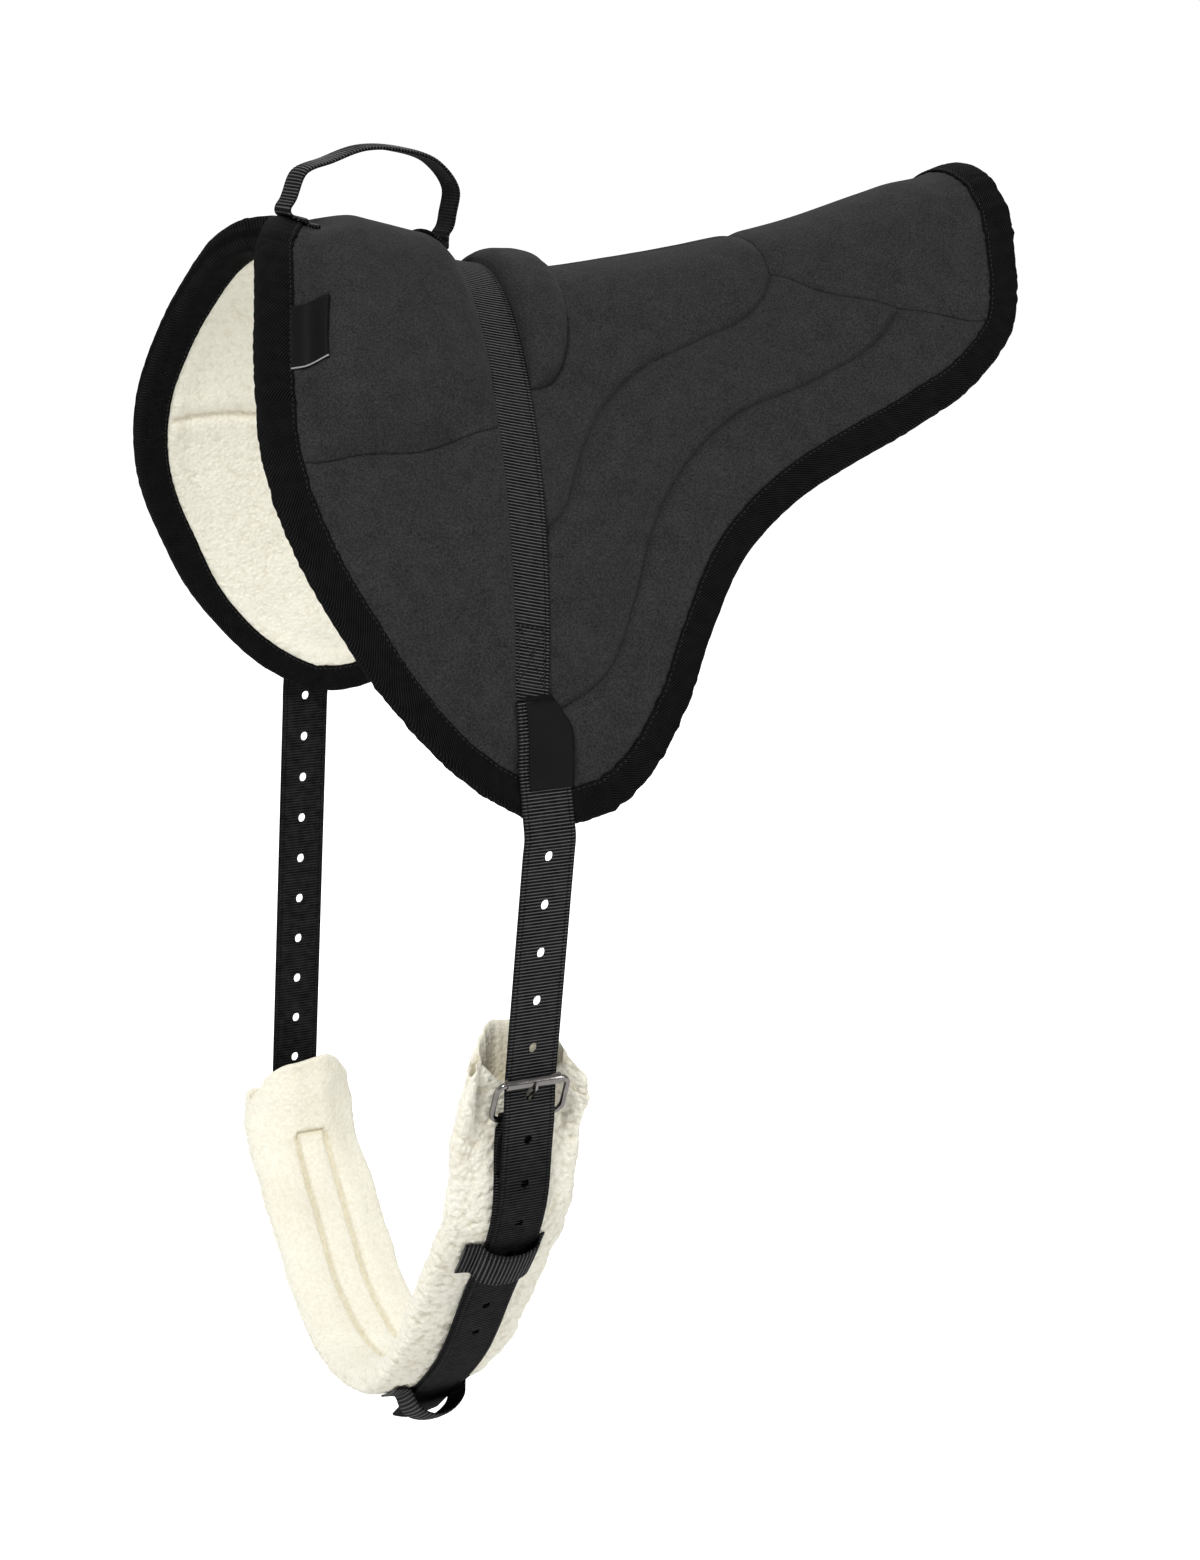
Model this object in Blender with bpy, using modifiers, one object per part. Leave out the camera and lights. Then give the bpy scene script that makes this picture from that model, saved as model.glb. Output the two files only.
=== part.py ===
"""Bareback pad for a horse: a fleece-lined felt pad with a grab handle, two punched billet straps and a
fleece girth on roller buckles.

The pad is drawn flat first, as it would be cut: x runs from front to rear and t is the length over the back,
down from the spine (t < 0 on the near side, the horse's left, and t > 0 on the far side). pad_point() then
lays a flat point on the back's curve, at some height above its middle surface. World axes: -X is the front,
-Y the near side, +Z up, and the origin is under the crown at the girth line. Lengths are in metres.
"""

import math

import bmesh
import bpy
import numpy as np
from mathutils import Matrix, Vector

# Outline of the pad
FRONT_REACH = 0.164
REAR_REACH = 0.458
FLAP_DROP = 0.437
LOIN_RISE = 0.074

# Curve of the back, as turns of the section from the spine downwards
CROWN_TURN = math.radians(44.5)
CROWN_REACH = 0.062
FLANK_TURN = math.radians(34.0)
FLANK_LENGTH = 0.450

# Layers of the pad, from the horse outwards
PAD_HALF = 0.010
HEM_HALF = 0.006
HEM_RISE = 0.038
POMMEL_HEM_EXTRA = 0.003
FLEECE_THICKNESS = 0.0048
COVER_THICKNESS = 0.0015
LAYER_GAP = 0.0009
SEAM_GAP = 0.0006
CORE_INSET = 0.009
CHANNEL_DEPTH = 0.0055
CHANNEL_REACH = 0.034
UNDER_CHANNEL_DEPTH = 0.0015
SEAM_DEPTH = 0.002
SEAM_REACH = 0.012

# Pommel cushion
POMMEL_EXTRA = 0.0165
POMMEL_FALL = 0.042
POMMEL_FRONT_FALL = 0.034
POMMEL_STRAP_FALL = 0.026
LOBE_EXTRA = 0.012
LOBE_FALL = 0.018
LOBE_LENGTH = 0.046
LOBE_DROP = 0.130
LOBE_ROUNDNESS = 2.6
LOBE_END_SHARE = 0.004
LOBE_STRAP_SHARE = 0.35
LOBE_COLUMNS_SHARES = (0, 0.12, 0.3, 0.5, 0.7, 0.88, 1)

# Binding tape
BINDING_WIDTH = 0.024
BINDING_THICKNESS = 0.0012
BINDING_NOSE = 0.0035
BINDING_MARGIN = 0.0015
BINDING_GAP = 0.0011

# Webbing
WEBBING_WIDTH = 0.038
WEBBING_THICKNESS = 0.002
WEBBING_GAP = 0.0008
SURCINGLE_TOP_X = 0.029
SURCINGLE_END_X = -0.012
SURCINGLE_END_DROP = 0.350
LAP_WIDTH = 0.008
LAP_RAMP = 0.016
BILLET_X = -0.002
BILLET_SEWN = 0.130

# Billet holes
HOLE_WIDTH = 0.006
HOLE_LENGTH = 0.0075
HOLE_PITCH = 0.034
TONGUE_HOLE_LENGTH = 0.0095
TAIL_HOLES = 8
POINT_LENGTH = 0.014

# Straps below the hem: hinge line, buckles, and lean inwards (near, far) and forwards as shares of the drop
HINGE_DROP = 0.008
HINGE_GAP = 0.0003
FAR_END_GAP = 0.0021
NEAR_BUCKLE_DROP = 0.172
FAR_BUCKLE_DROP = 0.331
LEAN_IN_SHARES = (0.050, 0.030)
LEAN_FORWARD_SHARE = 0.058
BILLET_LENGTH = 0.585
LOOSE_END = 0.076

# Roller buckle
BUCKLE_WIDTH = 0.057
BUCKLE_HEIGHT = 0.034
WIRE_RADIUS = 0.0021
WIRE_CORNER = 0.007
ROLLER_RADIUS = 0.0040
ROLLER_BORE = 0.0026
ROLLER_LENGTH = 0.040
BUCKLE_GAP = 0.0004
TONGUE_RADIUS = 0.0013
TONGUE_SLOT_WIDTH = 0.008

# Girth
GIRTH_HALF_WIDTH = 0.047
GIRTH_HALF_THICKNESS = 0.0125
GIRTH_TOP_RISE = 0.034
GIRTH_BOTTOM = 0.838
GIRTH_CUP = 0.020
GIRTH_CUP_LENGTH = 0.150
GIRTH_FLAT_HALF = 0.031
GIRTH_OBLIQUE = 0.045
SLEEVE_WALL = 0.005
GIRTH_CHANNEL = 0.0025
CHAPE_LAP = 0.040
SETTLE_LENGTH = 0.036
KEEPER_WIDTH = 0.034
KEEPER_THICKNESS = 0.0016
KEEPER_FLAP = 0.012
UPPER_KEEPER_AT = 0.175
LOWER_KEEPER_AT = 0.385

# Handle
HANDLE_WIDTH = 0.030
HANDLE_THICKNESS = 0.003
HANDLE_FRONT_X = -0.100
HANDLE_REAR_X = 0.012
HANDLE_RISE = 0.052
HANDLE_FOOT_SHARE = 1.35
HANDLE_FRONT_LEAN = 0.40
HANDLE_REAR_LEAN = 0.20
HANDLE_REAR_FOOT_LEAN = 0.45
HANDLE_TAB = 0.018
HANDLE_TAB_GAP = 0.0014
HANDLE_PIVOT_GAP = 0.0006

# Labels
SIDE_LABEL_WIDTH = 0.022
SIDE_LABEL_LENGTH = 0.042
SIDE_LABEL_DROP = 0.102
STRAP_LABEL_LENGTH = 0.056
LABEL_THICKNESS = 0.0008

# Outlines in shares: x of FRONT_REACH where negative and of REAR_REACH where positive, t of FLAP_DROP
FRONT_HEM_SHARES = (
    (-0.67, 0), (-0.79, 0.085), (-0.88, 0.20), (-0.955, 0.32), (-1.0, 0.46), (-0.955, 0.60),
    (-0.80, 0.745), (-0.60, 0.872), (-0.34, 0.953), (-0.10, 0.992), (0, 1),
)
REAR_HEM_SHARES = (
    (0, 1), (0.055, 0.99), (0.12, 0.963), (0.18, 0.915), (0.253, 0.817), (0.31, 0.714), (0.39, 0.605),
    (0.49, 0.538), (0.605, 0.499), (0.72, 0.474), (0.836, 0.442), (0.92, 0.384), (0.972, 0.25),
    (0.998, 0.12), (1, 0),
)
UPPER_CHANNEL_SHARES = (
    (0.562, 0.13), (0.541, 0.165), (0.496, 0.20), (0.395, 0.229), (0.273, 0.27), (0.21, 0.32),
    (0.15, 0.405), (0.10, 0.50), (0.057, 0.54),
)
LOWER_CHANNEL_SHARES = (
    (0.747, 0.268), (0.70, 0.305), (0.57, 0.345), (0.42, 0.375), (0.31, 0.45), (0.25, 0.524), (0.194, 0.64),
    (0.13, 0.753), (0.033, 0.824),
)
LOIN_FRONT_SHARES = ((0.568, 0), (0.567, 0.06), (0.562, 0.13))
LOIN_LOWER_SHARES = ((0.562, 0.13), (0.618, 0.188), (0.71, 0.243), (0.80, 0.302), (0.87, 0.342), (0.94, 0.37))
POMMEL_SEAM_SHARES = ((-1.0, 0.485), (-0.69, 0.482), (-0.40, 0.455), (-0.11, 0.403), (0.03, 0.373))
SPINE_SHARES = ((-0.67, 0.53), (-0.245, 0.285), (0.13, 0.014), (0.39, 0.135), (0.655, 0.42), (0.98, 1))
# Girth between the buckles: y in spreads of the near buckle, z as a share of the way to the bottom
GIRTH_SHARES = (
    (-0.869, 0.307), (-0.668, 0.536), (-0.424, 0.787), (-0.14, 0.95), (0.166, 1.0), (0.459, 0.937),
    (0.69, 0.787), (0.80, 0.70),
)
BAND_ROWS_SHARES = (
    (0, 0.05, 0.115, 0.20, 0.32, 0.48, 0.70, 0.85, 1),
    (0, 0.3, 0.66, 1),
    (0, 0.34, 0.68, 1),
)
POMMEL_ROWS = 6
FRONT_COLUMNS_SHARES = (0, 0.30, 0.64, 1)
SEAT_COLUMNS_SHARES = (0, 0.10, 0.23, 0.37, 0.52, 0.68, 0.84, 1)
FRONT_CORNER_SHARE = 0.80

COLLECTION = "bareback_pad"
FINE_STEPS = 400


# Curves


def smooth(value):
    v = np.clip(value, 0, 1)
    return v * v * (3 - 2 * v)


def through(keys, count):
    """Points evenly spaced along a smooth curve through the keys."""
    keys = np.asarray(keys, float)
    chords = np.linalg.norm(np.diff(keys, axis=0), axis=1)
    at = np.concatenate([[0], np.cumsum(chords)])
    slopes = np.gradient(keys, at, axis=0)
    fine = np.linspace(0, at[-1], FINE_STEPS)
    k = np.clip(np.searchsorted(at, fine, side="right") - 1, 0, len(at) - 2)
    span = (at[k + 1] - at[k])[:, None]
    u = ((fine - at[k])[:, None]) / span
    points = (
        (1 + 2 * u) * (1 - u) ** 2 * keys[k]
        + u * (1 - u) ** 2 * span * slopes[k]
        + u * u * (3 - 2 * u) * keys[k + 1]
        + u * u * (u - 1) * span * slopes[k + 1]
    )
    return spaced(points, count)


def spaced(points, count):
    """The polyline's points again, count of them at equal lengths."""
    at = lengths(points)
    wanted = np.linspace(0, at[-1], count)
    return np.stack([np.interp(wanted, at, points[:, i]) for i in range(points.shape[1])], axis=1)


def lengths(points):
    return np.concatenate([[0], np.cumsum(np.linalg.norm(np.diff(points, axis=0), axis=1))])


def at_shares(points, shares):
    """Points of the polyline at these shares of its length."""
    at = lengths(points)
    wanted = np.asarray(shares) * at[-1]
    return np.stack([np.interp(wanted, at, points[:, i]) for i in range(points.shape[1])], axis=1)


def directions(points):
    d = np.gradient(points, axis=0)
    return d / np.linalg.norm(d, axis=1)[:, None]


def distance(p, line):
    """Least distance from each flat point to the polyline."""
    a, b = line[:-1], line[1:]
    ab = b - a
    ap = p[..., None, :] - a
    u = np.clip((ap * ab).sum(-1) / np.maximum((ab * ab).sum(-1), 1e-18), 0, 1)
    return np.linalg.norm(ap - ab * u[..., None], axis=-1).min(-1)


def flat(shares):
    """Outline shares as flat points."""
    return [(x * (FRONT_REACH if x < 0 else REAR_REACH), t * FLAP_DROP) for x, t in shares]


# Back surface

SECTION_T = np.linspace(0, 1.6 * FLANK_LENGTH, 4 * FINE_STEPS)
SECTION_TURN = CROWN_TURN * np.tanh(SECTION_T / CROWN_REACH) + FLANK_TURN * SECTION_T / FLANK_LENGTH


def running_sum(values):
    return np.concatenate([[0], np.cumsum((values[1:] + values[:-1]) / 2 * np.diff(SECTION_T))])


SECTION_Y = running_sum(np.cos(SECTION_TURN))
SECTION_Z = -running_sum(np.sin(SECTION_TURN))
SPINE_X = np.array([x * (FRONT_REACH if x < 0 else REAR_REACH) for x, z in SPINE_SHARES])
SPINE_Z = np.array([z * LOIN_RISE for x, z in SPINE_SHARES])
SPINE_SLOPES = np.gradient(SPINE_Z, SPINE_X)
SPINE_SLOPES[0] = 0


def spine_height(x):
    x = np.clip(x, SPINE_X[0], SPINE_X[-1])
    k = np.clip(np.searchsorted(SPINE_X, x, side="right") - 1, 0, len(SPINE_X) - 2)
    span = SPINE_X[k + 1] - SPINE_X[k]
    u = (x - SPINE_X[k]) / span
    return (
        (1 + 2 * u) * (1 - u) ** 2 * SPINE_Z[k]
        + u * (1 - u) ** 2 * span * SPINE_SLOPES[k]
        + u * u * (3 - 2 * u) * SPINE_Z[k + 1]
        + u * u * (u - 1) * span * SPINE_SLOPES[k + 1]
    )


CROWN_HEIGHT = PAD_HALF - float(spine_height(np.array(0.0)))


def pad_point(p, height):
    """World points of flat points p (..., 2) at this height above the pad's middle surface."""
    p = np.asarray(p, float)
    x, t = p[..., 0], p[..., 1]
    side, drop = np.sign(t), np.abs(t)
    turn = np.interp(drop, SECTION_T, SECTION_TURN)
    y = side * np.interp(drop, SECTION_T, SECTION_Y)
    z = CROWN_HEIGHT + spine_height(x) + np.interp(drop, SECTION_T, SECTION_Z)
    step = FRONT_REACH / FINE_STEPS
    slope = (spine_height(x + step) - spine_height(x - step)) / (2 * step)
    normal = np.stack([-slope * np.cos(turn), side * np.sin(turn), np.cos(turn)], axis=-1)
    normal /= np.linalg.norm(normal, axis=-1)[..., None]
    return np.stack([x, y, z], axis=-1) + normal * np.asarray(height)[..., None]


# Flat outlines

FRONT_HEM = through(flat(FRONT_HEM_SHARES), FINE_STEPS // 4)
REAR_HEM = through(flat(REAR_HEM_SHARES), FINE_STEPS // 3)
HEM = np.concatenate([FRONT_HEM, REAR_HEM[1:]])
UPPER_CHANNEL = through(flat(UPPER_CHANNEL_SHARES), FINE_STEPS // 4)
LOWER_CHANNEL = through(flat(LOWER_CHANNEL_SHARES), FINE_STEPS // 4)
LOIN_FRONT = through(flat(LOIN_FRONT_SHARES), FINE_STEPS // 4)
LOIN_LOWER = through(flat(LOIN_LOWER_SHARES), FINE_STEPS // 4)
LOIN_SEAM = np.concatenate([LOIN_FRONT, LOIN_LOWER[1:]])
POMMEL_SEAM = through(flat(POMMEL_SEAM_SHARES), FINE_STEPS // 4)


def inset(points, depth):
    """The outline moved in from the hem by depth, with its ends on the spine kept there."""
    d = directions(points)
    moved = points + depth * np.stack([d[:, 1], -d[:, 0]], axis=1)
    for end in (0, -1):
        if points[end, 1] == 0:
            moved[end] = (points[end, 0] + math.copysign(depth, -points[end, 0]), 0)
    return moved


def surcingle_x(t):
    """Middle line of the webbing over the back, which leans forward as it goes down."""
    share = np.clip(np.abs(t) / SURCINGLE_END_DROP, 0, 1)
    return SURCINGLE_TOP_X + (SURCINGLE_END_X - SURCINGLE_TOP_X) * share**1.5


def webbing_front_x(t):
    return surcingle_x(t) - WEBBING_WIDTH / 2


def tucked(t):
    """How much of the webbing's front edge lies under the front panel: more at the bottom."""
    return LAP_WIDTH * (0.6 + np.clip(np.abs(t) / SURCINGLE_END_DROP, 0, 1))


def folded(p):
    return np.stack([p[..., 0], np.abs(p[..., 1])], axis=-1)


def hem_half(p):
    """Half thickness at the hem, a little fuller where the pommel meets it."""
    q = folded(p)
    share = smooth(1 - q[..., 1] / POMMEL_SEAM[0, 1]) * (q[..., 0] < 0)
    return HEM_HALF + POMMEL_HEM_EXTRA * share


def base_height(p):
    """Half thickness of the pad: thin under the binding and full inside."""
    rise = smooth((distance(folded(p), HEM) - BINDING_WIDTH - 2 * BINDING_MARGIN) / HEM_RISE)
    return hem_half(p) + (PAD_HALF - hem_half(p)) * rise


def channel_pinch(p):
    near = np.minimum(distance(folded(p), UPPER_CHANNEL), distance(folded(p), LOWER_CHANNEL))
    past = smooth((folded(p)[..., 0] - webbing_front_x(folded(p)[..., 1])) / WEBBING_WIDTH)
    return past * (1 - smooth(near / CHANNEL_REACH) ** 0.6)


def seam_pinch(p, line):
    return 1 - smooth(distance(folded(p), line) / SEAM_REACH)


def top_height(p):
    """Outer face of the cover where nothing extra lies under it."""
    q = folded(p)
    inside = smooth((distance(q, HEM) - BINDING_WIDTH - 2 * BINDING_MARGIN) / SEAM_REACH)
    ahead = smooth((webbing_front_x(q[..., 1]) - LAP_WIDTH - LAP_RAMP - q[..., 0]) / LAP_RAMP + 0.5)
    seams = np.maximum(seam_pinch(p, LOIN_SEAM), seam_pinch(p, POMMEL_SEAM) * ahead)
    return base_height(p) - np.maximum(CHANNEL_DEPTH * channel_pinch(p), SEAM_DEPTH * seams) * inside


def under_height(p):
    """Face that lies on the horse."""
    return UNDER_CHANNEL_DEPTH * channel_pinch(p) - base_height(p)


def lap_height(p):
    """Rise of the front panels where they lap over the webbing's edge."""
    edge = webbing_front_x(p[..., 1])
    return (2 * WEBBING_GAP + WEBBING_THICKNESS + COVER_THICKNESS) * smooth(
        (p[..., 0] - (edge - LAP_WIDTH - LAP_RAMP)) / LAP_RAMP
    )


def pommel_height(p):
    """Extra height of the pommel cushion over the base."""
    q = folded(p)
    inside = np.interp(q[..., 0], POMMEL_SEAM[:, 0], POMMEL_SEAM[:, 1]) > q[..., 1]
    above = smooth(distance(q, POMMEL_SEAM) / POMMEL_FALL) ** 0.75 * inside
    back = smooth((distance(q, FRONT_HEM) - BINDING_WIDTH) / POMMEL_FRONT_FALL)
    strap = smooth((webbing_front_x(q[..., 1]) + 2 * LAP_WIDTH - q[..., 0]) / POMMEL_STRAP_FALL)
    return POMMEL_EXTRA * above * back * (0.25 + 0.75 * strap)


# Mesh makers


def material(name, colour, roughness, metallic=0.0):
    made = bpy.data.materials.new(name)
    made.use_nodes = True
    shader = made.node_tree.nodes["Principled BSDF"]
    shader.inputs["Base Color"].default_value = (*colour, 1)
    shader.inputs["Roughness"].default_value = roughness
    shader.inputs["Metallic"].default_value = metallic
    return made


def add_object(name, mesh, finish, parent=None):
    obj = bpy.data.objects.new(name, mesh)
    bpy.data.collections[COLLECTION].objects.link(obj)
    if parent is not None:
        obj.parent = parent
        obj.matrix_parent_inverse = Matrix.Translation(-parent.location)
    obj.data.materials.append(material(name, *finish))
    return obj


def mesh_of(name, points, faces):
    made = bmesh.new()
    verts = [made.verts.new(p) for p in points]
    for face in faces:
        corners = []
        for i in face:
            if verts[i] not in corners:
                corners.append(verts[i])
        if len(corners) > 2:
            made.faces.new(corners)
    bmesh.ops.remove_doubles(made, verts=made.verts, dist=SEAM_GAP / FINE_STEPS)
    bmesh.ops.recalc_face_normals(made, faces=made.faces)
    mesh = bpy.data.meshes.new(name)
    made.to_mesh(mesh)
    made.free()
    mesh.shade_smooth()
    mesh.set_sharp_from_angle(angle=math.radians(40))
    return mesh


def quads(rows, columns, start=0, wrap_rows=False, wrap_columns=False, turned=False):
    """Faces of a grid of points numbered row by row."""
    faces = []
    for i in range(rows if wrap_rows else rows - 1):
        for j in range(columns if wrap_columns else columns - 1):
            i2, j2 = (i + 1) % rows, (j + 1) % columns
            corners = (i * columns + j, i * columns + j2, i2 * columns + j2, i2 * columns + j)
            face = [start + k for k in corners]
            faces.append(face[::-1] if turned else face)
    return faces


def slab(name, top, bottom, finish, parent=None):
    """A closed solid between two grids of the same size."""
    rows, columns = top.shape[:2]
    count = rows * columns
    faces = quads(rows, columns) + quads(rows, columns, count, turned=True)
    border = (
        [j for j in range(columns)]
        + [i * columns + columns - 1 for i in range(1, rows)]
        + [(rows - 1) * columns + j for j in range(columns - 2, -1, -1)]
        + [i * columns for i in range(rows - 2, 0, -1)]
    )
    for a, b in zip(border, border[1:] + border[:1]):
        faces.append([b, a, a + count, b + count])
    points = np.concatenate([top.reshape(-1, 3), bottom.reshape(-1, 3)])
    return add_object(name, mesh_of(name, points.tolist(), faces), finish, parent)


def loft(name, sections, finish, parent=None, closed=False):
    """A solid through closed sections, one ring of points each, capped unless it closes on itself."""
    rows, columns = sections.shape[:2]
    faces = quads(rows, columns, wrap_rows=closed, wrap_columns=True)
    if not closed:
        faces += [list(range(columns))[::-1], [(rows - 1) * columns + j for j in range(columns)]]
    return add_object(name, mesh_of(name, sections.reshape(-1, 3).tolist(), faces), finish, parent)


def sheet(name, mesh, thickness, finish, offset=-1.0, parent=None):
    """An open surface with its thickness from Solidify."""
    obj = add_object(name, mesh, finish, parent)
    solid = obj.modifiers.new("thickness", "SOLIDIFY")
    solid.thickness = thickness
    solid.offset = offset
    solid.use_even_offset = True
    solid.use_quality_normals = True
    return obj


def open_mesh(name, grid, outward):
    """An open grid whose faces look the way of outward, a grid of points a little further out."""
    rows, columns = grid.shape[:2]
    a = grid[1:, :-1] - grid[:-1, :-1]
    b = grid[:-1, 1:] - grid[:-1, :-1]
    turned = (np.cross(b, a) * (outward - grid)[:-1, :-1]).sum() < 0
    made = bmesh.new()
    verts = [made.verts.new(p) for p in grid.reshape(-1, 3).tolist()]
    for face in quads(rows, columns, turned=bool(turned)):
        made.faces.new([verts[i] for i in face])
    bmesh.ops.remove_doubles(made, verts=made.verts, dist=SEAM_GAP / FINE_STEPS)
    mesh = bpy.data.meshes.new(name)
    made.to_mesh(mesh)
    made.free()
    mesh.shade_smooth()
    return mesh


def coons(near, far, left, right):
    """Grid over the patch between two facing outlines, near and far, and two facing sides, left and right."""
    columns, rows = len(near), len(left)
    u = np.linspace(0, 1, columns)[None, :, None]
    v = lengths(left)[:, None, None] / lengths(left)[-1]
    across = (1 - v) * near[None] + v * far[None]
    along = (1 - u) * left[:, None] + u * right[:, None]
    corners = (1 - u) * (1 - v) * near[0] + u * (1 - v) * near[-1] + (1 - u) * v * far[0] + u * v * far[-1]
    return across + along - corners


# Finishes: colour, roughness, metallic

CHARCOAL = ((0.035, 0.036, 0.038), 0.92)
CREAM = ((0.86, 0.80, 0.66), 0.95)
BLACK_TAPE = ((0.006, 0.006, 0.006), 0.75)
BLACK_WEBBING = ((0.010, 0.010, 0.011), 0.55)
FELT = ((0.30, 0.30, 0.31), 0.95)
FOAM = ((0.62, 0.60, 0.52), 0.9)
GUNMETAL = ((0.19, 0.18, 0.18), 0.28, 1.0)
LABEL = ((0.012, 0.012, 0.012), 0.7)

SIDES = (("left", -1), ("right", 1))


# The pad


class Side:
    """Flat points and faces of one side of the pad, each face with the name of the panel that it belongs to.

    The rows run from the spine to the hem and the columns from front to rear. The rows pass under the
    webbing level, so that the webbing and every layer below it share their points.
    """

    def __init__(self):
        self.points = []
        self.faces = []
        self.depth = BINDING_WIDTH + BINDING_MARGIN
        self.inner = inset(HEM, self.depth)
        self.nose = inset(HEM, BINDING_NOSE)
        self.core = inset(HEM, CORE_INSET)
        self.build()

    def index(self, p):
        for k, q in enumerate(self.points):
            if abs(q[0] - p[0]) + abs(q[1] - p[1]) < SEAM_GAP / 2:
                return k
        self.points.append((float(p[0]), float(p[1])))
        return len(self.points) - 1

    def patch(self, grid, panel):
        ids = [[self.index(p) for p in row] for row in grid]
        for first, second in zip(ids, ids[1:]):
            for j in range(len(first) - 1):
                self.faces.append(((first[j], first[j + 1], second[j + 1], second[j]), panel))
        return ids

    def build(self):
        inner = self.inner
        tip = int(np.argmax(inner[:, 1]))
        front, rear = inner[: tip + 1], inner[tip:]
        rows = [np.array(shares) for shares in BAND_ROWS_SHARES]
        upper_end, lower_end = UPPER_CHANNEL[-1, 1], LOWER_CHANNEL[-1, 1]
        hem_t = crossing(inner[len(front) // 2 : tip + len(rear) // 4], webbing_front_x)[1]
        edge_t = np.concatenate([
            rows[0] * upper_end,
            (upper_end + rows[1] * (lower_end - upper_end))[1:],
            (lower_end + rows[2] * (hem_t - lower_end))[1:],
        ])
        self.edge_t = edge_t
        self.last_row = len(edge_t) - 1

        def edge(t, across=0.0):
            return np.stack([webbing_front_x(t) + across, t], axis=-1)

        # Front: pommel above its lower seam, and the lower front panel
        seam_row = POMMEL_ROWS
        self.seam_t = edge_t[seam_row]
        corner = int(np.argmax(front[:, 1] >= FRONT_CORNER_SHARE * FLAP_DROP))
        meets = int(np.argmax(front[:, 1] >= POMMEL_SEAM[0, 1]))
        hem_point = crossing(inner[len(front) // 2 : tip + len(rear) // 4], webbing_front_x)
        bottom = np.concatenate([front[corner:], rear[: len(rear) // 4]])
        bottom = bottom[bottom[:, 0] <= hem_point[0]]
        bottom = np.concatenate([bottom, [hem_point]])
        spine_x = self.columns(front[0, 0], edge(0.0)[0])
        spine = np.stack([spine_x, 0 * spine_x], axis=1)
        seam_end = edge(self.seam_t)
        seam_x = self.columns(front[meets, 0], seam_end[0])
        seam_line = np.concatenate([[front[meets]], POMMEL_SEAM[1:-1], [seam_end]])
        seam = np.stack([seam_x, np.interp(seam_x, seam_line[:, 0], seam_line[:, 1])], axis=1)
        last_x = self.columns(bottom[0, 0], bottom[-1, 0])
        last = np.stack([last_x, np.interp(last_x, bottom[:, 0], bottom[:, 1])], axis=1)
        upper = edge_t[: seam_row + 1]
        lower = edge_t[seam_row:]
        grid = coons(spine, seam, at_shares(front[: meets + 1], upper / upper[-1]), edge(upper))
        self.pommel_ids = self.patch(grid, "pommel")
        shares = (lower - lower[0]) / (lower[-1] - lower[0])
        right = edge(lower)
        right[-1] = hem_point
        grid = coons(seam, last, at_shares(front[meets : corner + 1], shares), right)
        self.patch(grid, "front")

        # Under the webbing
        rear_part = inner[len(front) // 2 : tip + len(rear) // 3]
        rear_hem = crossing(rear_part, lambda t: webbing_front_x(t) + WEBBING_WIDTH)
        left, right = edge(edge_t), edge(edge_t, WEBBING_WIDTH)
        left[-1], right[-1] = hem_point, rear_hem
        self.patch(np.stack([left, right], axis=1), "rear")

        # Front panels lapped over the webbing's edge
        lap = edge(edge_t) + np.stack([tucked(edge_t), 0 * edge_t], axis=1)
        grid = np.stack([edge(edge_t), lap], axis=1)
        self.patch(grid[: seam_row + 1], "pommel lap")
        self.patch(grid[seam_row:-1], "front lap")

        # Seat: three bands parted by the channels, with the loin panel behind them
        loin_lower = LOIN_LOWER[distance(LOIN_LOWER, HEM) > self.depth + SEAM_GAP]
        loin_hem = rear[int(np.argmin(np.linalg.norm(rear - loin_lower[-1], axis=1)))]
        loin_lower = np.concatenate([loin_lower, [loin_hem]])
        middle = int(np.argmin(np.linalg.norm(loin_lower - LOWER_CHANNEL[0], axis=1)))
        after = int(np.argmax((rear == loin_hem).all(axis=1)))
        start = int(np.argmin(np.linalg.norm(rear - rear_hem, axis=1)))
        hem_line = np.concatenate([[rear_hem], rear[start + 1 : after + 1]])
        columns = np.array(SEAT_COLUMNS_SHARES)
        tops = np.split(edge(edge_t, WEBBING_WIDTH), [len(rows[0]), len(rows[0]) + len(rows[1]) - 1])
        sides = [tops[0], np.concatenate([tops[0][-1:], tops[1]]), np.concatenate([tops[1][-1:], tops[2]])]
        sides[2][-1] = rear_hem
        lines = [
            np.stack([sides[0][0, 0] + columns * (LOIN_FRONT[0, 0] - sides[0][0, 0]), 0 * columns], axis=1),
            at_shares(UPPER_CHANNEL[::-1], columns),
            at_shares(LOWER_CHANNEL[::-1], columns),
            at_shares(hem_line, columns),
        ]
        seams = [
            at_shares(LOIN_FRONT, rows[0]),
            at_shares(loin_lower[: middle + 1], rows[1]),
            at_shares(loin_lower[middle:], rows[2]),
        ]
        for k in range(3):
            near, far, left, right = lines[k], lines[k + 1], sides[k], seams[k]
            near[0], near[-1], far[0], far[-1] = left[0], right[0], left[-1], right[-1]
            self.patch(coons(near, far, left, right), "rear")
        below = np.concatenate([seams[1], seams[2][1:]])
        across = lengths(below) / lengths(below)[-1]
        outer = rear[after:][::-1]
        right = at_shares(outer, rows[0])
        top = np.stack([seams[0][0, 0] + across * (outer[0, 0] - seams[0][0, 0]), 0 * across], axis=1)
        below[-1] = right[-1]
        self.patch(coons(top, below, seams[0], right), "loin")
        self.add_ring()

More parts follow.
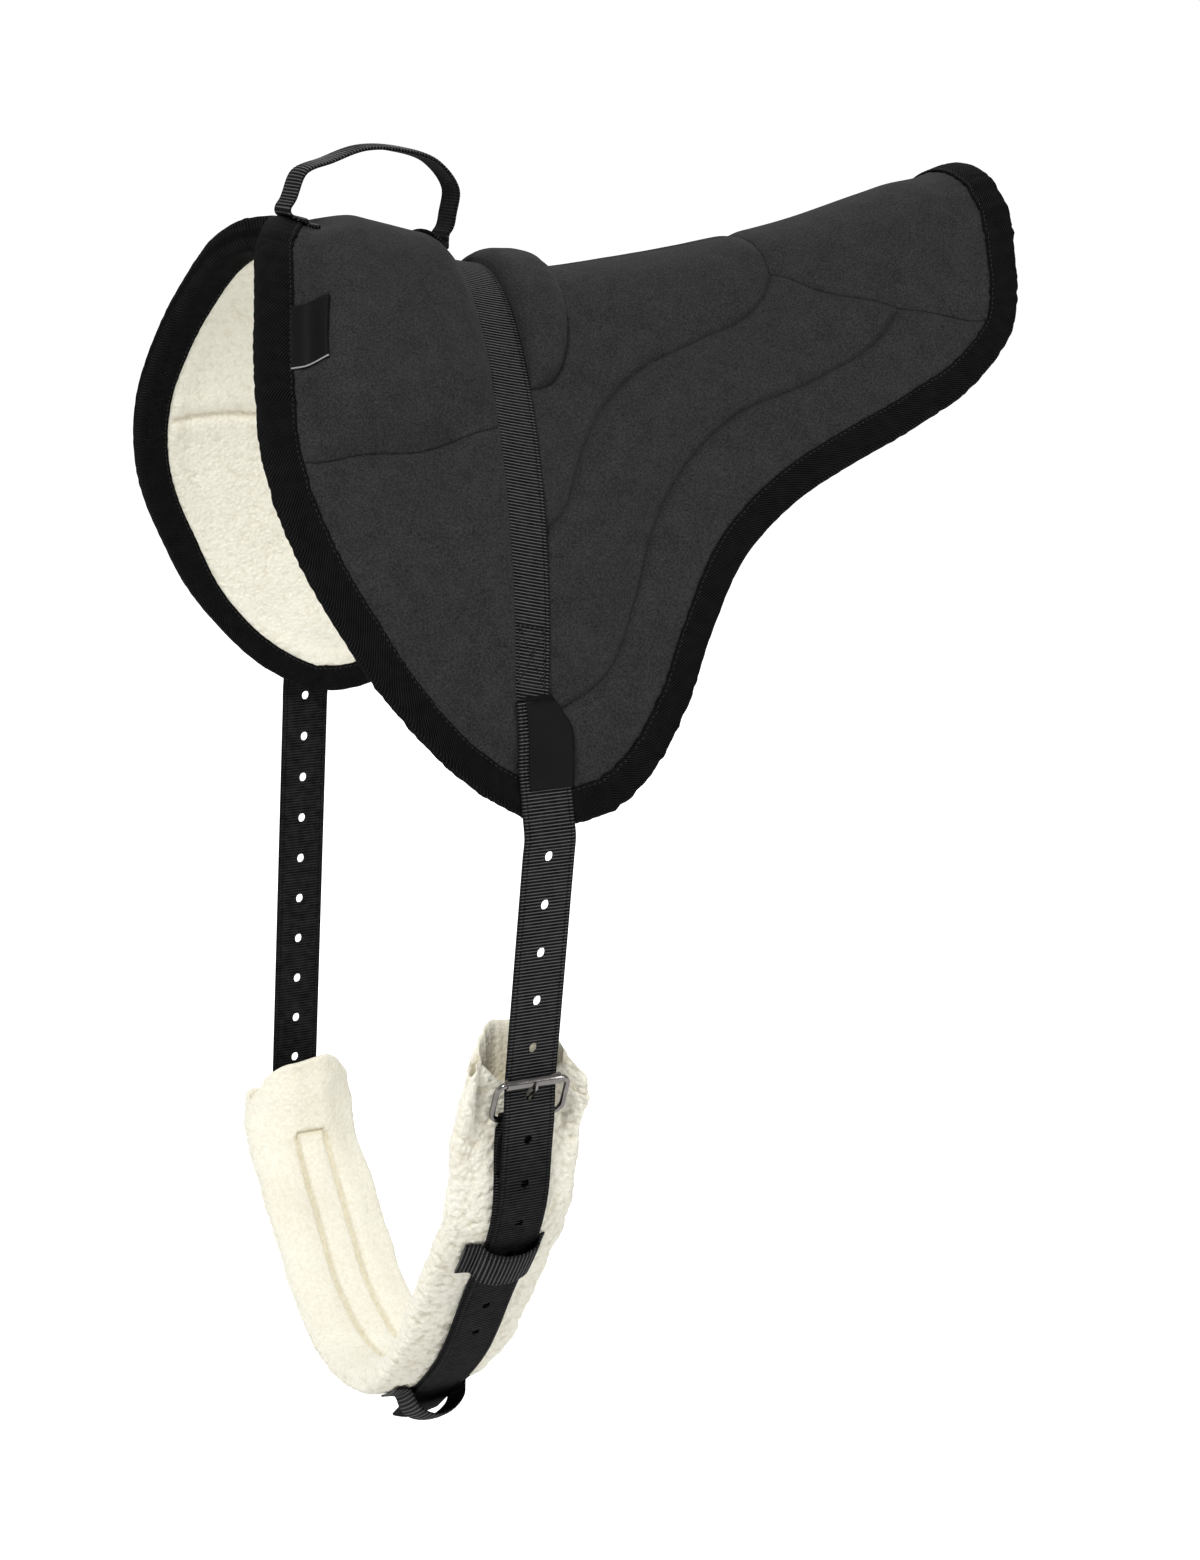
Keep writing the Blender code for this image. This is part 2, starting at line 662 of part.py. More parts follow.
    def columns(self, start, end):
        """Places across a front row: even at first, then one on each side of the rise over the webbing."""
        rise = end - LAP_WIDTH - LAP_RAMP
        even = start + np.array(FRONT_COLUMNS_SHARES) * (rise - start)
        return np.concatenate([even, [end - LAP_WIDTH, end]])

    def add_ring(self):
        """Strip under the binding, all round: its outer points are kept as places along the hem."""
        inside = {}
        for face, panel in self.faces:
            if panel.endswith("lap"):
                continue
            for a, b in zip(face, face[1:] + face[:1]):
                inside[(a, b)] = panel
        self.ring = {}
        first = len(self.points)
        fine = spaced(np.arange(len(self.inner))[:, None].astype(float), 12 * FINE_STEPS)[:, 0]
        at = np.arange(len(self.inner))
        line = np.stack([np.interp(fine, at, self.inner[:, i]) for i in (0, 1)], axis=1)
        outer_of = {}
        for (a, b), panel in inside.items():
            if (b, a) in inside or (self.points[a][1] == 0 and self.points[b][1] == 0):
                continue
            for k in (a, b):
                if k not in outer_of:
                    nearest = fine[int(np.argmin(np.linalg.norm(line - np.array(self.points[k]), axis=1)))]
                    outer_of[k] = first + len(self.ring)
                    self.ring[outer_of[k]] = float(nearest)
            self.faces.append(((b, a, outer_of[a], outer_of[b]), panel))
        for k in sorted(self.ring):
            self.points.append(self.along(self.nose, self.ring[k]))
        self.stations = sorted(self.ring.values())
        self.points = np.array(self.points)

    @staticmethod
    def along(line, place):
        at = np.arange(len(line))
        p = (float(np.interp(place, at, line[:, 0])), float(np.interp(place, at, line[:, 1])))
        return (p[0], 0.0) if place in (0, len(line) - 1) else p

    def panel(self, *panels):
        return [face for face, name in self.faces if name in panels]

    def flat_points(self, line=None, faces=None, others=()):
        """The points, with the ring's moved to the line and shared seam points drawn back from the seam."""
        points = self.points.copy()
        if line is not None:
            for k, at in self.ring.items():
                points[k] = self.along(line, at)
        if faces is not None:
            mine, theirs = {}, set()
            for face in faces:
                centre = points[list(face)].mean(axis=0)
                for k in face:
                    mine.setdefault(k, []).append(centre)
            for face in self.panel(*others):
                theirs.update(face)
            for k in set(mine) & theirs:
                way = np.mean(mine[k], axis=0) - points[k]
                if points[k][1] == 0:
                    way[1] = 0
                points[k] += way / max(np.linalg.norm(way), SEAM_GAP) * SEAM_GAP / 2
        return points


def crossing(line, x_of):
    """Where the outline crosses the line x = x_of(t)."""
    past = line[:, 0] - x_of(line[:, 1])
    k = int(np.argmax(past > 0))
    u = past[k - 1] / (past[k - 1] - past[k])
    return line[k - 1] + u * (line[k] - line[k - 1])


def half(points, faces, side, split=True):
    """The points and faces on one side, held off the spine where the piece is split there."""
    p = points.copy()
    if split:
        p[p[:, 1] < SEAM_GAP / 2, 1] = SEAM_GAP / 2
    p[:, 1] *= side
    return p, [face[::-1] if side < 0 else face for face in faces]


def both(points, faces):
    """The points and faces on both sides, joined on the spine."""
    count = len(points)
    mirror = [k if points[k][1] == 0 else k + count for k in range(count)]
    p = np.concatenate([points, points * np.array([1, -1])])
    return p, list(faces) + [tuple(mirror[k] for k in face[::-1]) for face in faces]


def used(points, faces):
    """Only the points that the faces use, and the faces renumbered."""
    keep = sorted({k for face in faces for k in face})
    number = {k: i for i, k in enumerate(keep)}
    return points[keep], [tuple(number[k] for k in face) for face in faces]


def skin(name, p, faces, height, finish, thickness, up=True):
    """A panel over flat points, its shown face at these heights and its thickness going inwards."""
    p, faces = used(p, faces)
    made = bmesh.new()
    verts = [made.verts.new(q) for q in pad_point(p, height(p)).tolist()]
    for face in faces:
        made.faces.new([verts[k] for k in (face if up else face[::-1])])
    mesh = bpy.data.meshes.new(name)
    made.to_mesh(mesh)
    made.free()
    mesh.shade_smooth()
    return sheet(name, mesh, thickness, finish)


def block(name, p, faces, top, bottom, finish):
    """A closed solid over flat points, between two heights."""
    p, faces = used(p, faces)
    count = len(p)
    edges = {(a, b) for face in faces for a, b in zip(face, face[1:] + face[:1])}
    solid = list(faces) + [tuple(k + count for k in face[::-1]) for face in faces]
    solid += [(b, a, a + count, b + count) for a, b in edges if (b, a) not in edges]
    points = np.concatenate([pad_point(p, top(p)), pad_point(p, bottom(p))])
    return add_object(name, mesh_of(name, points.tolist(), solid), finish)


class Seat:
    """Seats small pieces on a panel: reads the panel's own facets, as they are made, at any flat point."""

    def __init__(self, p, faces, height):
        p, faces = used(p, faces)
        self.flat = p
        self.world = pad_point(p, height(p))
        self.triangles = np.array([t for f in faces for t in ((f[0], f[1], f[2]), (f[0], f[2], f[3]))])

    def at(self, p, lift):
        p = np.asarray(p, float)
        out = np.empty(p.shape[:-1] + (3,))
        a, b, c = (self.flat[self.triangles[:, k]] for k in range(3))
        area = (b[:, 0] - a[:, 0]) * (c[:, 1] - a[:, 1]) - (c[:, 0] - a[:, 0]) * (b[:, 1] - a[:, 1])
        area = np.where(np.abs(area) < 1e-12, 1e-12, area)
        for place in np.ndindex(p.shape[:-1]):
            q = p[place]
            v = ((q[0] - a[:, 0]) * (c[:, 1] - a[:, 1]) - (c[:, 0] - a[:, 0]) * (q[1] - a[:, 1])) / area
            w = ((b[:, 0] - a[:, 0]) * (q[1] - a[:, 1]) - (q[0] - a[:, 0]) * (b[:, 1] - a[:, 1])) / area
            u = 1 - v - w
            k = int(np.argmax(np.minimum(np.minimum(u, v), w)))
            i, j, l = self.triangles[k]
            on = u[k] * self.world[i] + v[k] * self.world[j] + w[k] * self.world[l]
            out[place] = on + (pad_point(q, 1.0) - pad_point(q, 0.0)) * lift[place]
        return out


# Layers


def core_top(p):
    return top_height(p) - COVER_THICKNESS - 1.5 * LAYER_GAP


def core_bottom(p):
    return under_height(p) + FLEECE_THICKNESS + LAYER_GAP


def front_top(p):
    """Outer face of the front panel and of the pommel's cover."""
    inside = smooth((distance(folded(p), HEM) - BINDING_WIDTH - 2 * BINDING_MARGIN) / LAP_RAMP)
    return top_height(p) + np.maximum(lap_height(folded(p)), pommel_height(p)) * inside


def foam_top(p):
    return front_top(p) - COVER_THICKNESS - 1.5 * LAYER_GAP


def foam_bottom(p):
    return core_top(p) + LAYER_GAP


def make_pad():
    """All layers of the pad; returns the seats that small pieces are placed on."""
    grid = Side()
    everything = grid.panel("pommel", "front", "rear", "loin")
    for name, side in SIDES:
        p, faces = half(grid.flat_points(), everything, side)
        skin(f"{name}_fleece_lining", p, faces, under_height, CREAM, FLEECE_THICKNESS, up=False)
        p, faces = half(grid.flat_points(grid.core), everything, side)
        block(f"{name}_felt_core", p, faces, core_top, core_bottom, FELT)
        rear = grid.panel("rear")
        p, faces = half(grid.flat_points(faces=rear, others=("loin", "front")), rear, side)
        skin(f"{name}_rear_panel", p, faces, top_height, CHARCOAL, COVER_THICKNESS)
        front = grid.panel("front", "front lap")
        p, faces = half(grid.flat_points(faces=front, others=("pommel", "pommel lap")), front, side)
        skin(f"{name}_front_panel", p, faces, front_top, CHARCOAL, COVER_THICKNESS)
    loin = grid.panel("loin")
    p, faces = both(grid.flat_points(faces=loin, others=("rear",)), loin)
    skin("loin_panel", p, faces, top_height, CHARCOAL, COVER_THICKNESS)
    pommel = grid.panel("pommel", "pommel lap")
    p, faces = both(grid.flat_points(faces=pommel, others=("front", "front lap")), pommel)
    skin("pommel_cover", p, faces, front_top, CHARCOAL, COVER_THICKNESS)
    pommel_seat = Seat(p, faces, front_top)
    inside = {k for row in grid.pommel_ids[:-1] for k in row[1:-1]}
    foam = [face for face in grid.panel("pommel") if set(face) <= inside]
    p, faces = both(grid.points, foam)
    block("pommel_foam", p, faces, foam_top, foam_bottom, FOAM)
    p, faces = both(grid.points, grid.panel("rear"))
    make_rear_lobe(Seat(p, faces, top_height), grid.edge_t[grid.edge_t < LOBE_DROP])
    make_binding(grid)
    make_surcingle(grid)
    return pommel_seat


def make_rear_lobe(seat, rows):
    """Rear half of the pommel cushion, behind the webbing."""
    t = np.concatenate([-rows[:0:-1], rows])
    drop = t / LOBE_DROP
    front = surcingle_x(t) + WEBBING_WIDTH / 2 + WEBBING_GAP
    rear = front + LOBE_LENGTH * np.sqrt(np.clip(1 - np.abs(drop) ** LOBE_ROUNDNESS, LOBE_END_SHARE, 1))
    u = np.array(LOBE_COLUMNS_SHARES)[None, :]
    p = np.stack([front[:, None] * (1 - u) + rear[:, None] * u, t[:, None] + 0 * u], axis=-1)
    crown = smooth((rear[:, None] - p[..., 0]) / LOBE_FALL)
    crown = crown * smooth((p[..., 0] - front[:, None]) / LOBE_FALL + LOBE_STRAP_SHARE)
    ends = smooth((1 - np.abs(drop))[:, None] * LOBE_DROP / LOBE_FALL)
    bottom = LAYER_GAP * (1 + 1.2 * u) + 0 * t[:, None]
    top = bottom + COVER_THICKNESS + LOBE_EXTRA * crown * ends
    slab("pommel_rear_lobe", seat.at(p, top), seat.at(p, bottom), CHARCOAL)


def make_binding(grid):
    """Tape folded round the hem, one ring round the whole pad, on the layers' own points."""
    line = np.array([grid.along(HEM, at) for at in grid.stations])
    inner = np.array([grid.along(grid.inner, at) for at in grid.stations])
    inward = inner - line
    inward /= np.linalg.norm(inward, axis=1)[:, None]
    other = slice(-2, 0, -1)
    mirror = np.array([1, -1])
    line = np.concatenate([line, line[other] * mirror])
    inward = np.concatenate([inward, inward[other] * mirror])
    face = BINDING_GAP
    leg, nose = BINDING_WIDTH, BINDING_NOSE
    profile = (
        (leg, 1, face + BINDING_THICKNESS), (nose, 1, face + BINDING_THICKNESS),
        (0, 0, 0),
        (nose, -1, -face - BINDING_THICKNESS), (leg, -1, -face - BINDING_THICKNESS), (leg, -1, -face),
        (nose, -1, -face), (0.6 * nose, 0, 0), (nose, 1, face), (leg, 1, face),
    )
    depth = np.array([row[0] for row in profile])
    p = line[:, None] + inward[:, None] * depth[None, :, None]
    height = hem_half(p) * np.array([row[1] for row in profile])
    height = height + np.array([row[2] for row in profile])
    loft("edge_binding", pad_point(p, height), BLACK_TAPE, closed=True)


def make_surcingle(grid):
    """Webbing over the crown, from one flap's box stitching to the other's."""
    t = grid.edge_t[grid.edge_t < SURCINGLE_END_DROP]
    t = np.append(t, SURCINGLE_END_DROP)
    t = np.concatenate([-t[:0:-1], t])
    w = np.array((0, 0.5, 1)) * WEBBING_WIDTH
    p = np.stack([webbing_front_x(t)[:, None] + w, t[:, None] + 0 * w], axis=-1)
    top = np.repeat(top_height(p).max(axis=1)[:, None], 3, axis=1) + WEBBING_GAP + WEBBING_THICKNESS
    mesh = open_mesh("surcingle_webbing", pad_point(p, top), pad_point(p, top + WEBBING_THICKNESS))
    sheet("surcingle_webbing", mesh, WEBBING_THICKNESS, BLACK_WEBBING)

# Webbing over the pad


def ribbon_grid(place, total, holes, width=WEBBING_WIDTH, point=0.0, rows=None):
    """Points and faces of a flat ribbon with oval holes.

    place(s, w) gives the point at the length s and w off the middle line, holes is a list of (s, length), point
    is the length of its tapered tip, and rows are lengths that get a row of their own.
    """
    points, faces = [], []

    def add(s, w):
        points.append(place(s, w))
        return len(points) - 1

    half = width / 2
    last = total - point
    marks = [0.0] + [s + k * length for s, length in holes for k in (-1, 0, 1)] + [last]
    at = {s: (add(s, -half), add(s, 0), add(s, half)) for s in marks}
    spans = [(0.0, holes[0][0] - holes[0][1])] if holes else [(0.0, last)]
    for (s0, l0), (s1, l1) in zip(holes, holes[1:]):
        spans.append((s0 + l0, s1 - l1))
    if holes:
        spans.append((holes[-1][0] + holes[-1][1], last))
    for a, b in spans:
        count = max(1, int(math.ceil((b - a) / (0.5 * HOLE_PITCH))))
        between = [a + (b - a) * k / count for k in range(1, count)]
        if rows is not None:
            between = [s for s in rows if a + SEAM_GAP < s < b - SEAM_GAP]
        cut = [at[a]] + [(add(s, -half), add(s, 0), add(s, half)) for s in between] + [at[b]]
        for first, second in zip(cut, cut[1:]):
            for j in (0, 1):
                faces.append((first[j], first[j + 1], second[j + 1], second[j]))
    for s, length in holes:
        low, mid, high = at[s - length], at[s], at[s + length]
        ring = []
        for k in range(8):
            turn = 2 * math.pi * k / 8
            ring.append(add(s - 0.5 * length * math.cos(turn), 0.5 * HOLE_WIDTH * math.sin(turn)))
        outer = (low[1], low[2], mid[2], high[2], high[1], high[0], mid[0], low[0])
        for k in range(8):
            k2 = (k + 1) % 8
            faces.append((outer[k], outer[k2], ring[k2], ring[k]))
    if point:
        tip = (add(total, -0.18 * half), add(total, 0), add(total, 0.18 * half))
        for j in (0, 1):
            faces.append((at[last][j], at[last][j + 1], tip[j + 1], tip[j]))
    return points, faces


class Line:
    """A smooth line through points, read by length."""

    def __init__(self, keys, count=240):
        self.points = through(keys, count)
        self.at = lengths(self.points)
        self.total = float(self.at[-1])

    def __call__(self, s):
        return np.array([np.interp(s, self.at, self.points[:, i]) for i in range(3)])


def along_line(line):
    """Place function of a ribbon whose width lies along X."""
    return lambda s, w: line(s) + np.array([w, 0, 0])


def ribbon(name, place, total, holes, finish, parent=None, point=0.0, rows=None):
    """A webbing ribbon centred on its middle surface, with its holes cut through."""
    points, faces = ribbon_grid(place, total, holes, WEBBING_WIDTH, point, rows)
    made = bmesh.new()
    verts = [made.verts.new(p) for p in points]
    for face in faces:
        made.faces.new([verts[i] for i in face])
    loose = [v for v in made.verts if not v.link_faces]
    bmesh.ops.delete(made, geom=loose, context="VERTS")
    bmesh.ops.recalc_face_normals(made, faces=made.faces)
    mesh = bpy.data.meshes.new(name)
    made.to_mesh(mesh)
    made.free()
    return sheet(name, mesh, WEBBING_THICKNESS, finish, offset=0.0, parent=parent)


# Stack above the pad's own top: webbing, lap, then the billet; at the hem only the binding and the billet
SEWN_RISE = 3 * WEBBING_GAP + WEBBING_THICKNESS + COVER_THICKNESS + WEBBING_THICKNESS / 2
HEM_STACK = 2 * WEBBING_GAP + BINDING_THICKNESS + WEBBING_THICKNESS / 2


def anchor_height(p):
    """Height of the billet's middle plane over the flap."""
    depth = distance(folded(p), HEM) * (folded(p)[..., 1] < FLAP_DROP)
    inside = smooth((depth - BINDING_WIDTH) / BINDING_WIDTH)
    return base_height(p) + HEM_STACK + (SEWN_RISE - HEM_STACK) * inside


def anchor_place(side):
    """Place function of the billet's sewn end, whose lengths run down the flap to the hinge."""
    top = FLAP_DROP + HINGE_DROP - BILLET_SEWN

    def place(s, w):
        level = spine_height(np.array(BILLET_X + w)) - spine_height(np.array(BILLET_X))
        p = np.array([BILLET_X + w, side * (top + s + float(level))])
        return pad_point(p, anchor_height(p))

    return place


def hinge_point(side):
    """Where the billet bends below the flap's hem."""
    return anchor_place(side)(BILLET_SEWN, 0.0)


def strap_direction(side):
    d = np.array([-LEAN_FORWARD_SHARE, -side * LEAN_IN_SHARES[side > 0], -1.0])
    return d / np.linalg.norm(d)


def make_billet_anchor(side_name, side):
    """Upper end of the billet, sewn over the webbing's end and the hem, with a label band on the near side."""
    place = anchor_place(side)
    total = BILLET_SEWN - HINGE_GAP
    hole = total - HOLE_PITCH * 0.45
    rows = np.linspace(0, hole - HOLE_LENGTH, 12)
    ribbon(f"{side_name}_billet_anchor", place, total, [(hole, HOLE_LENGTH)], BLACK_WEBBING, rows=rows)
    if side < 0:
        lift = WEBBING_THICKNESS / 2 + WEBBING_GAP + LABEL_THICKNESS / 2
        grid = []
        for s in rows[4 : 4 + int(round(STRAP_LABEL_LENGTH / (rows[1] - rows[0])))]:
            step = place(s + HOLE_LENGTH, 0.0) - place(s - HOLE_LENGTH, 0.0)
            out = np.array([0, step[2], -step[1]]) / np.linalg.norm(step[1:])
            grid.append([place(s, w) + out * lift for w in np.array((-0.5, 0, 0.5)) * WEBBING_WIDTH])
        grid = np.array(grid)
        mesh = open_mesh("strap_label", grid, grid + np.array([0, side, 0]) * lift)
        sheet("strap_label", mesh, LABEL_THICKNESS, LABEL, offset=0.0)


# Straps, buckles and girth

BUCKLE_DROPS = {-1: NEAR_BUCKLE_DROP, 1: FAR_BUCKLE_DROP}


def roller_point(side):
    """Middle of the strap where it passes behind the roller."""
    return hinge_point(side) + strap_direction(side) * BUCKLE_DROPS[side]


BAR_DROP = BUCKLE_HEIGHT - 2 * WIRE_RADIUS
LOOP_RADIUS = WIRE_RADIUS + BUCKLE_GAP + TONGUE_RADIUS
BAR_DEPTH = WEBBING_THICKNESS / 2 + BUCKLE_GAP + LOOP_RADIUS + TONGUE_RADIUS
FOLD_RADIUS = WIRE_RADIUS + BUCKLE_GAP + WEBBING_THICKNESS / 2
FACE_DEPTH = BAR_DEPTH + LOOP_RADIUS + TONGUE_RADIUS + SEAM_GAP
ROLLER_HEIGHT = WEBBING_THICKNESS / 2 + BUCKLE_GAP + ROLLER_RADIUS


class Buckle:
    """Axes of one buckle: x along the bars, s down the strap from the roller, and n outwards."""

    def __init__(self, side):
        self.side = side
        self.origin = roller_point(side)
        self.x = np.array([1.0, 0, 0])
        down = strap_direction(side) * np.array([0, 1, 1])
        self.s = down / np.linalg.norm(down)
        self.n = np.array([0, -self.s[2] * side, self.s[1] * side])

    def at(self, x, s, n):
        return self.origin + self.x * x + self.s * s + self.n * n


def girth_line():
    """Middle line of the girth, from the near end to the far end, in planes across the horse."""
    near, far = Buckle(-1), Buckle(1)
    depth = FACE_DEPTH + GIRTH_HALF_THICKNESS
    spread = abs(near.origin[1])
    drop = GIRTH_BOTTOM + near.origin[2]
    straight = (-GIRTH_TOP_RISE, 0, BAR_DROP + LOOP_RADIUS, BAR_DROP + 3 * LOOP_RADIUS)
    keys = [near.at(0, s, -depth) for s in straight]
    keys += [(0, y * spread, near.origin[2] - z * drop) for y, z in GIRTH_SHARES]
    keys += [far.at(0, s, -depth) for s in straight[::-1]]
    keys = np.array(keys)
    keys[:, 0] = np.interp(np.arange(len(keys)), (0, len(keys) - 1), (near.origin[0], far.origin[0]))
    return Line(keys, 400)


GIRTH = girth_line()


def girth_frame(s):
    """Point, direction and outward normal of the girth's middle line."""
    step = GIRTH.total / FINE_STEPS
    d = GIRTH(min(s + step, GIRTH.total)) - GIRTH(max(s - step, 0.0))
    d /= np.linalg.norm(d)
    return GIRTH(s), d, np.array([0, d[2], -d[1]])


def girth_section(s, inset_by, low_row=0.0, core=False):
    """Ring of points round the girth at s: flat in the middle and cupped round the strap at both ends."""
    point, d, out = girth_frame(s)
    end = min(s, GIRTH.total - s)
    cup = GIRTH_CUP * (1 - smooth(end / GIRTH_CUP_LENGTH))
    half_w = GIRTH_HALF_WIDTH - inset_by
    half_t = GIRTH_HALF_THICKNESS - inset_by
    across = np.array((1, 0.88, 0.64, 0.30, 0, -0.30, -0.64, -0.88, -1))
    body = np.array((0.25, 0.72, 0.97, 1, 1, 1, 0.97, 0.72, 0.25))
    groove = np.array((0, 0, 0, 1, 0, 1, 0, 0, 0)) * GIRTH_CHANNEL
    w = across * half_w
    if core:
        inner_half = GIRTH_HALF_WIDTH - SLEEVE_WALL
        limit = (0.96 + 0.04 * np.abs(across)) * min(0.87 * GIRTH_FLAT_HALF, 0.65 * inner_half)
        w = np.sign(across) * np.minimum(np.abs(across) * inner_half, limit)
    past = (np.abs(across) * GIRTH_HALF_WIDTH - GIRTH_FLAT_HALF) / (GIRTH_HALF_WIDTH - GIRTH_FLAT_HALF)
    rise = cup * smooth(past) * (not core)
    outer = [(a, half_t * b + r) for a, b, r in zip(w, body, rise)]
    inner = [(a, g - half_t * b + r) for a, b, r, g in zip(w, body, rise, groove)][::-1]
    x = np.array([1.0, 0, 0])
    toward = 1 if s < GIRTH.total / 2 else -1
    ring = []
    for a, n in outer + inner:
        slant = GIRTH_OBLIQUE * low_row * float(np.clip(0.5 + 0.5 * n / half_t, 0, 1))
        ring.append(point + x * a + out * n + d * toward * slant)
    return np.array(ring)


GIRTH_STATIONS = np.concatenate([[0, 0.03], np.linspace(0.07, 0.93, 22), [0.97, 1]]) * GIRTH.total


def make_girth_sleeve(parent):
    """Fleece sleeve: a flat tube, open at both ends, cut slantwise so that it is longer next to the horse."""
    stations = GIRTH_STATIONS
    outer, inner, core = [], [], []
    for s in stations:
        end = min(s, GIRTH.total - s)
        low = 1 - smooth(end / (2 * GIRTH_OBLIQUE))
        outer.append(girth_section(s, 0, low))
        inner.append(girth_section(s, SLEEVE_WALL, low))
        core.append(girth_section(s, SLEEVE_WALL + LAYER_GAP, low, core=True))
    outer, inner = np.array(outer), np.array(inner)
    rows, columns = outer.shape[:2]
    count = rows * columns
    faces = quads(rows, columns, wrap_columns=True)
    faces += quads(rows, columns, count, wrap_columns=True, turned=True)
    for row, turned in ((0, False), (rows - 1, True)):
        for j in range(columns):
            a, b = row * columns + j, row * columns + (j + 1) % columns
            face = [b, a, a + count, b + count]
            faces.append(face[::-1] if turned else face)
    points = np.concatenate([outer.reshape(-1, 3), inner.reshape(-1, 3)])
    add_object("girth_sleeve", mesh_of("girth_sleeve", points.tolist(), faces), CREAM, parent)
    loft("girth_foam", np.array(core[2:-2]), FOAM, parent)


def curve_object(name, points, radius, finish, parent, cyclic=False, resolution=2):
    data = bpy.data.curves.new(name, "CURVE")
    data.dimensions = "3D"
    data.bevel_depth = radius
    data.bevel_resolution = resolution
    data.use_fill_caps = not cyclic
    spline = data.splines.new("POLY")
    spline.points.add(len(points) - 1)
    for point, place in zip(spline.points, points):
        point.co = (*place, 1)
    spline.use_cyclic_u = cyclic
    return add_object(name, data, finish, parent)


def make_buckle(side_name, buckle, girth, roller_body, tongue_body):
    """Frame, roller and tongue of one buckle."""
    half_width = BUCKLE_WIDTH / 2 - WIRE_RADIUS
    slope = -(BAR_DEPTH + ROLLER_HEIGHT) / BAR_DROP
    loop = []
    corners = (
        (half_width, 0, 0), (half_width, BAR_DROP, 90), (-half_width, BAR_DROP, 180), (-half_width, 0, 270),
    )
    for cx, cs, start in corners:
        mx = cx - math.copysign(WIRE_CORNER, cx)
        ms = cs + (WIRE_CORNER if cs == 0 else -WIRE_CORNER)
        for k in range(5):
            turn = math.radians(start - 90 + 90 * k / 4)
            s = ms + WIRE_CORNER * math.sin(turn)
            loop.append(buckle.at(mx + WIRE_CORNER * math.cos(turn), s, ROLLER_HEIGHT + slope * s))
    curve_object(f"{side_name}_buckle_frame", loop, WIRE_RADIUS, GUNMETAL, girth, cyclic=True)

    profile = ((ROLLER_RADIUS, ROLLER_LENGTH / 2), (ROLLER_RADIUS, -ROLLER_LENGTH / 2))
    profile += ((ROLLER_BORE, -ROLLER_LENGTH / 2), (ROLLER_BORE, ROLLER_LENGTH / 2))
    mesh = bpy.data.meshes.new(f"{side_name}_roller")
    mesh.from_pydata([(r, 0, z) for r, z in profile], [(0, 1), (1, 2), (2, 3), (3, 0)], [])
    roller = add_object(f"{side_name}_roller", mesh, GUNMETAL)
    roller.parent = roller_body
    roller.rotation_euler = (0, math.radians(90), 0)
    turn = roller.modifiers.new("turn", "SCREW")
    turn.steps = turn.render_steps = 20
    turn.use_merge_vertices = True
    turn.merge_threshold = SEAM_GAP / 10

    path = []
    for k in range(10):
        angle = math.radians(140 - 305 * k / 9)
        path.append((BAR_DROP + LOOP_RADIUS * math.cos(angle), -BAR_DEPTH + LOOP_RADIUS * math.sin(angle)))
    hole = tongue_hole_at()
    clear = ROLLER_RADIUS + BUCKLE_GAP + TONGUE_RADIUS
    path.append((BAR_DROP - 1.8 * LOOP_RADIUS, -BAR_DEPTH + 0.2 * LOOP_RADIUS))
    path.append((hole + 2.6 * TONGUE_RADIUS, -2.9 * TONGUE_RADIUS))
    path.append((hole - 1.2 * TONGUE_RADIUS, 2.9 * TONGUE_RADIUS))
    for angle in (38, 64, 90, 108):
        reach = clear * (1.08 if angle < 90 else 1.0)
        a = math.radians(angle)
        path.append((reach * math.cos(a), ROLLER_HEIGHT + reach * math.sin(a)))
    places = [buckle.at(0, s, n) for s, n in path]
    curve_object(f"{side_name}_tongue", places, TONGUE_RADIUS, GUNMETAL, tongue_body, resolution=1)


def tongue_hole_at():
    """Middle of the hole that the tongue comes through, below the roller."""
    return 0.5 * HOLE_PITCH - 1.5 * ROLLER_RADIUS


def outer_point(s, height):
    """Point above the girth's outer face."""
    point, _, out = girth_frame(s)
    return point + out * (GIRTH_HALF_THICKNESS + height)


def along_girth(side, s):
    """The girth's length parameter at s from this side's end."""
    return s if side < 0 else GIRTH.total - s


def girth_start(side):
    """How far along the girth this side's roller lies."""
    target = roller_point(side)
    samples = np.linspace(0, GIRTH.total / 3, 120)
    gaps = [np.linalg.norm(GIRTH(along_girth(side, s))[1:] - target[1:]) for s in samples]
    return float(samples[int(np.argmin(gaps))])


BASE_HEIGHT = WEBBING_GAP + WEBBING_THICKNESS / 2
LAP_HEIGHT = BASE_HEIGHT + WEBBING_THICKNESS + WEBBING_GAP
OVER_LAP_HEIGHT = LAP_HEIGHT + WEBBING_THICKNESS + WEBBING_GAP


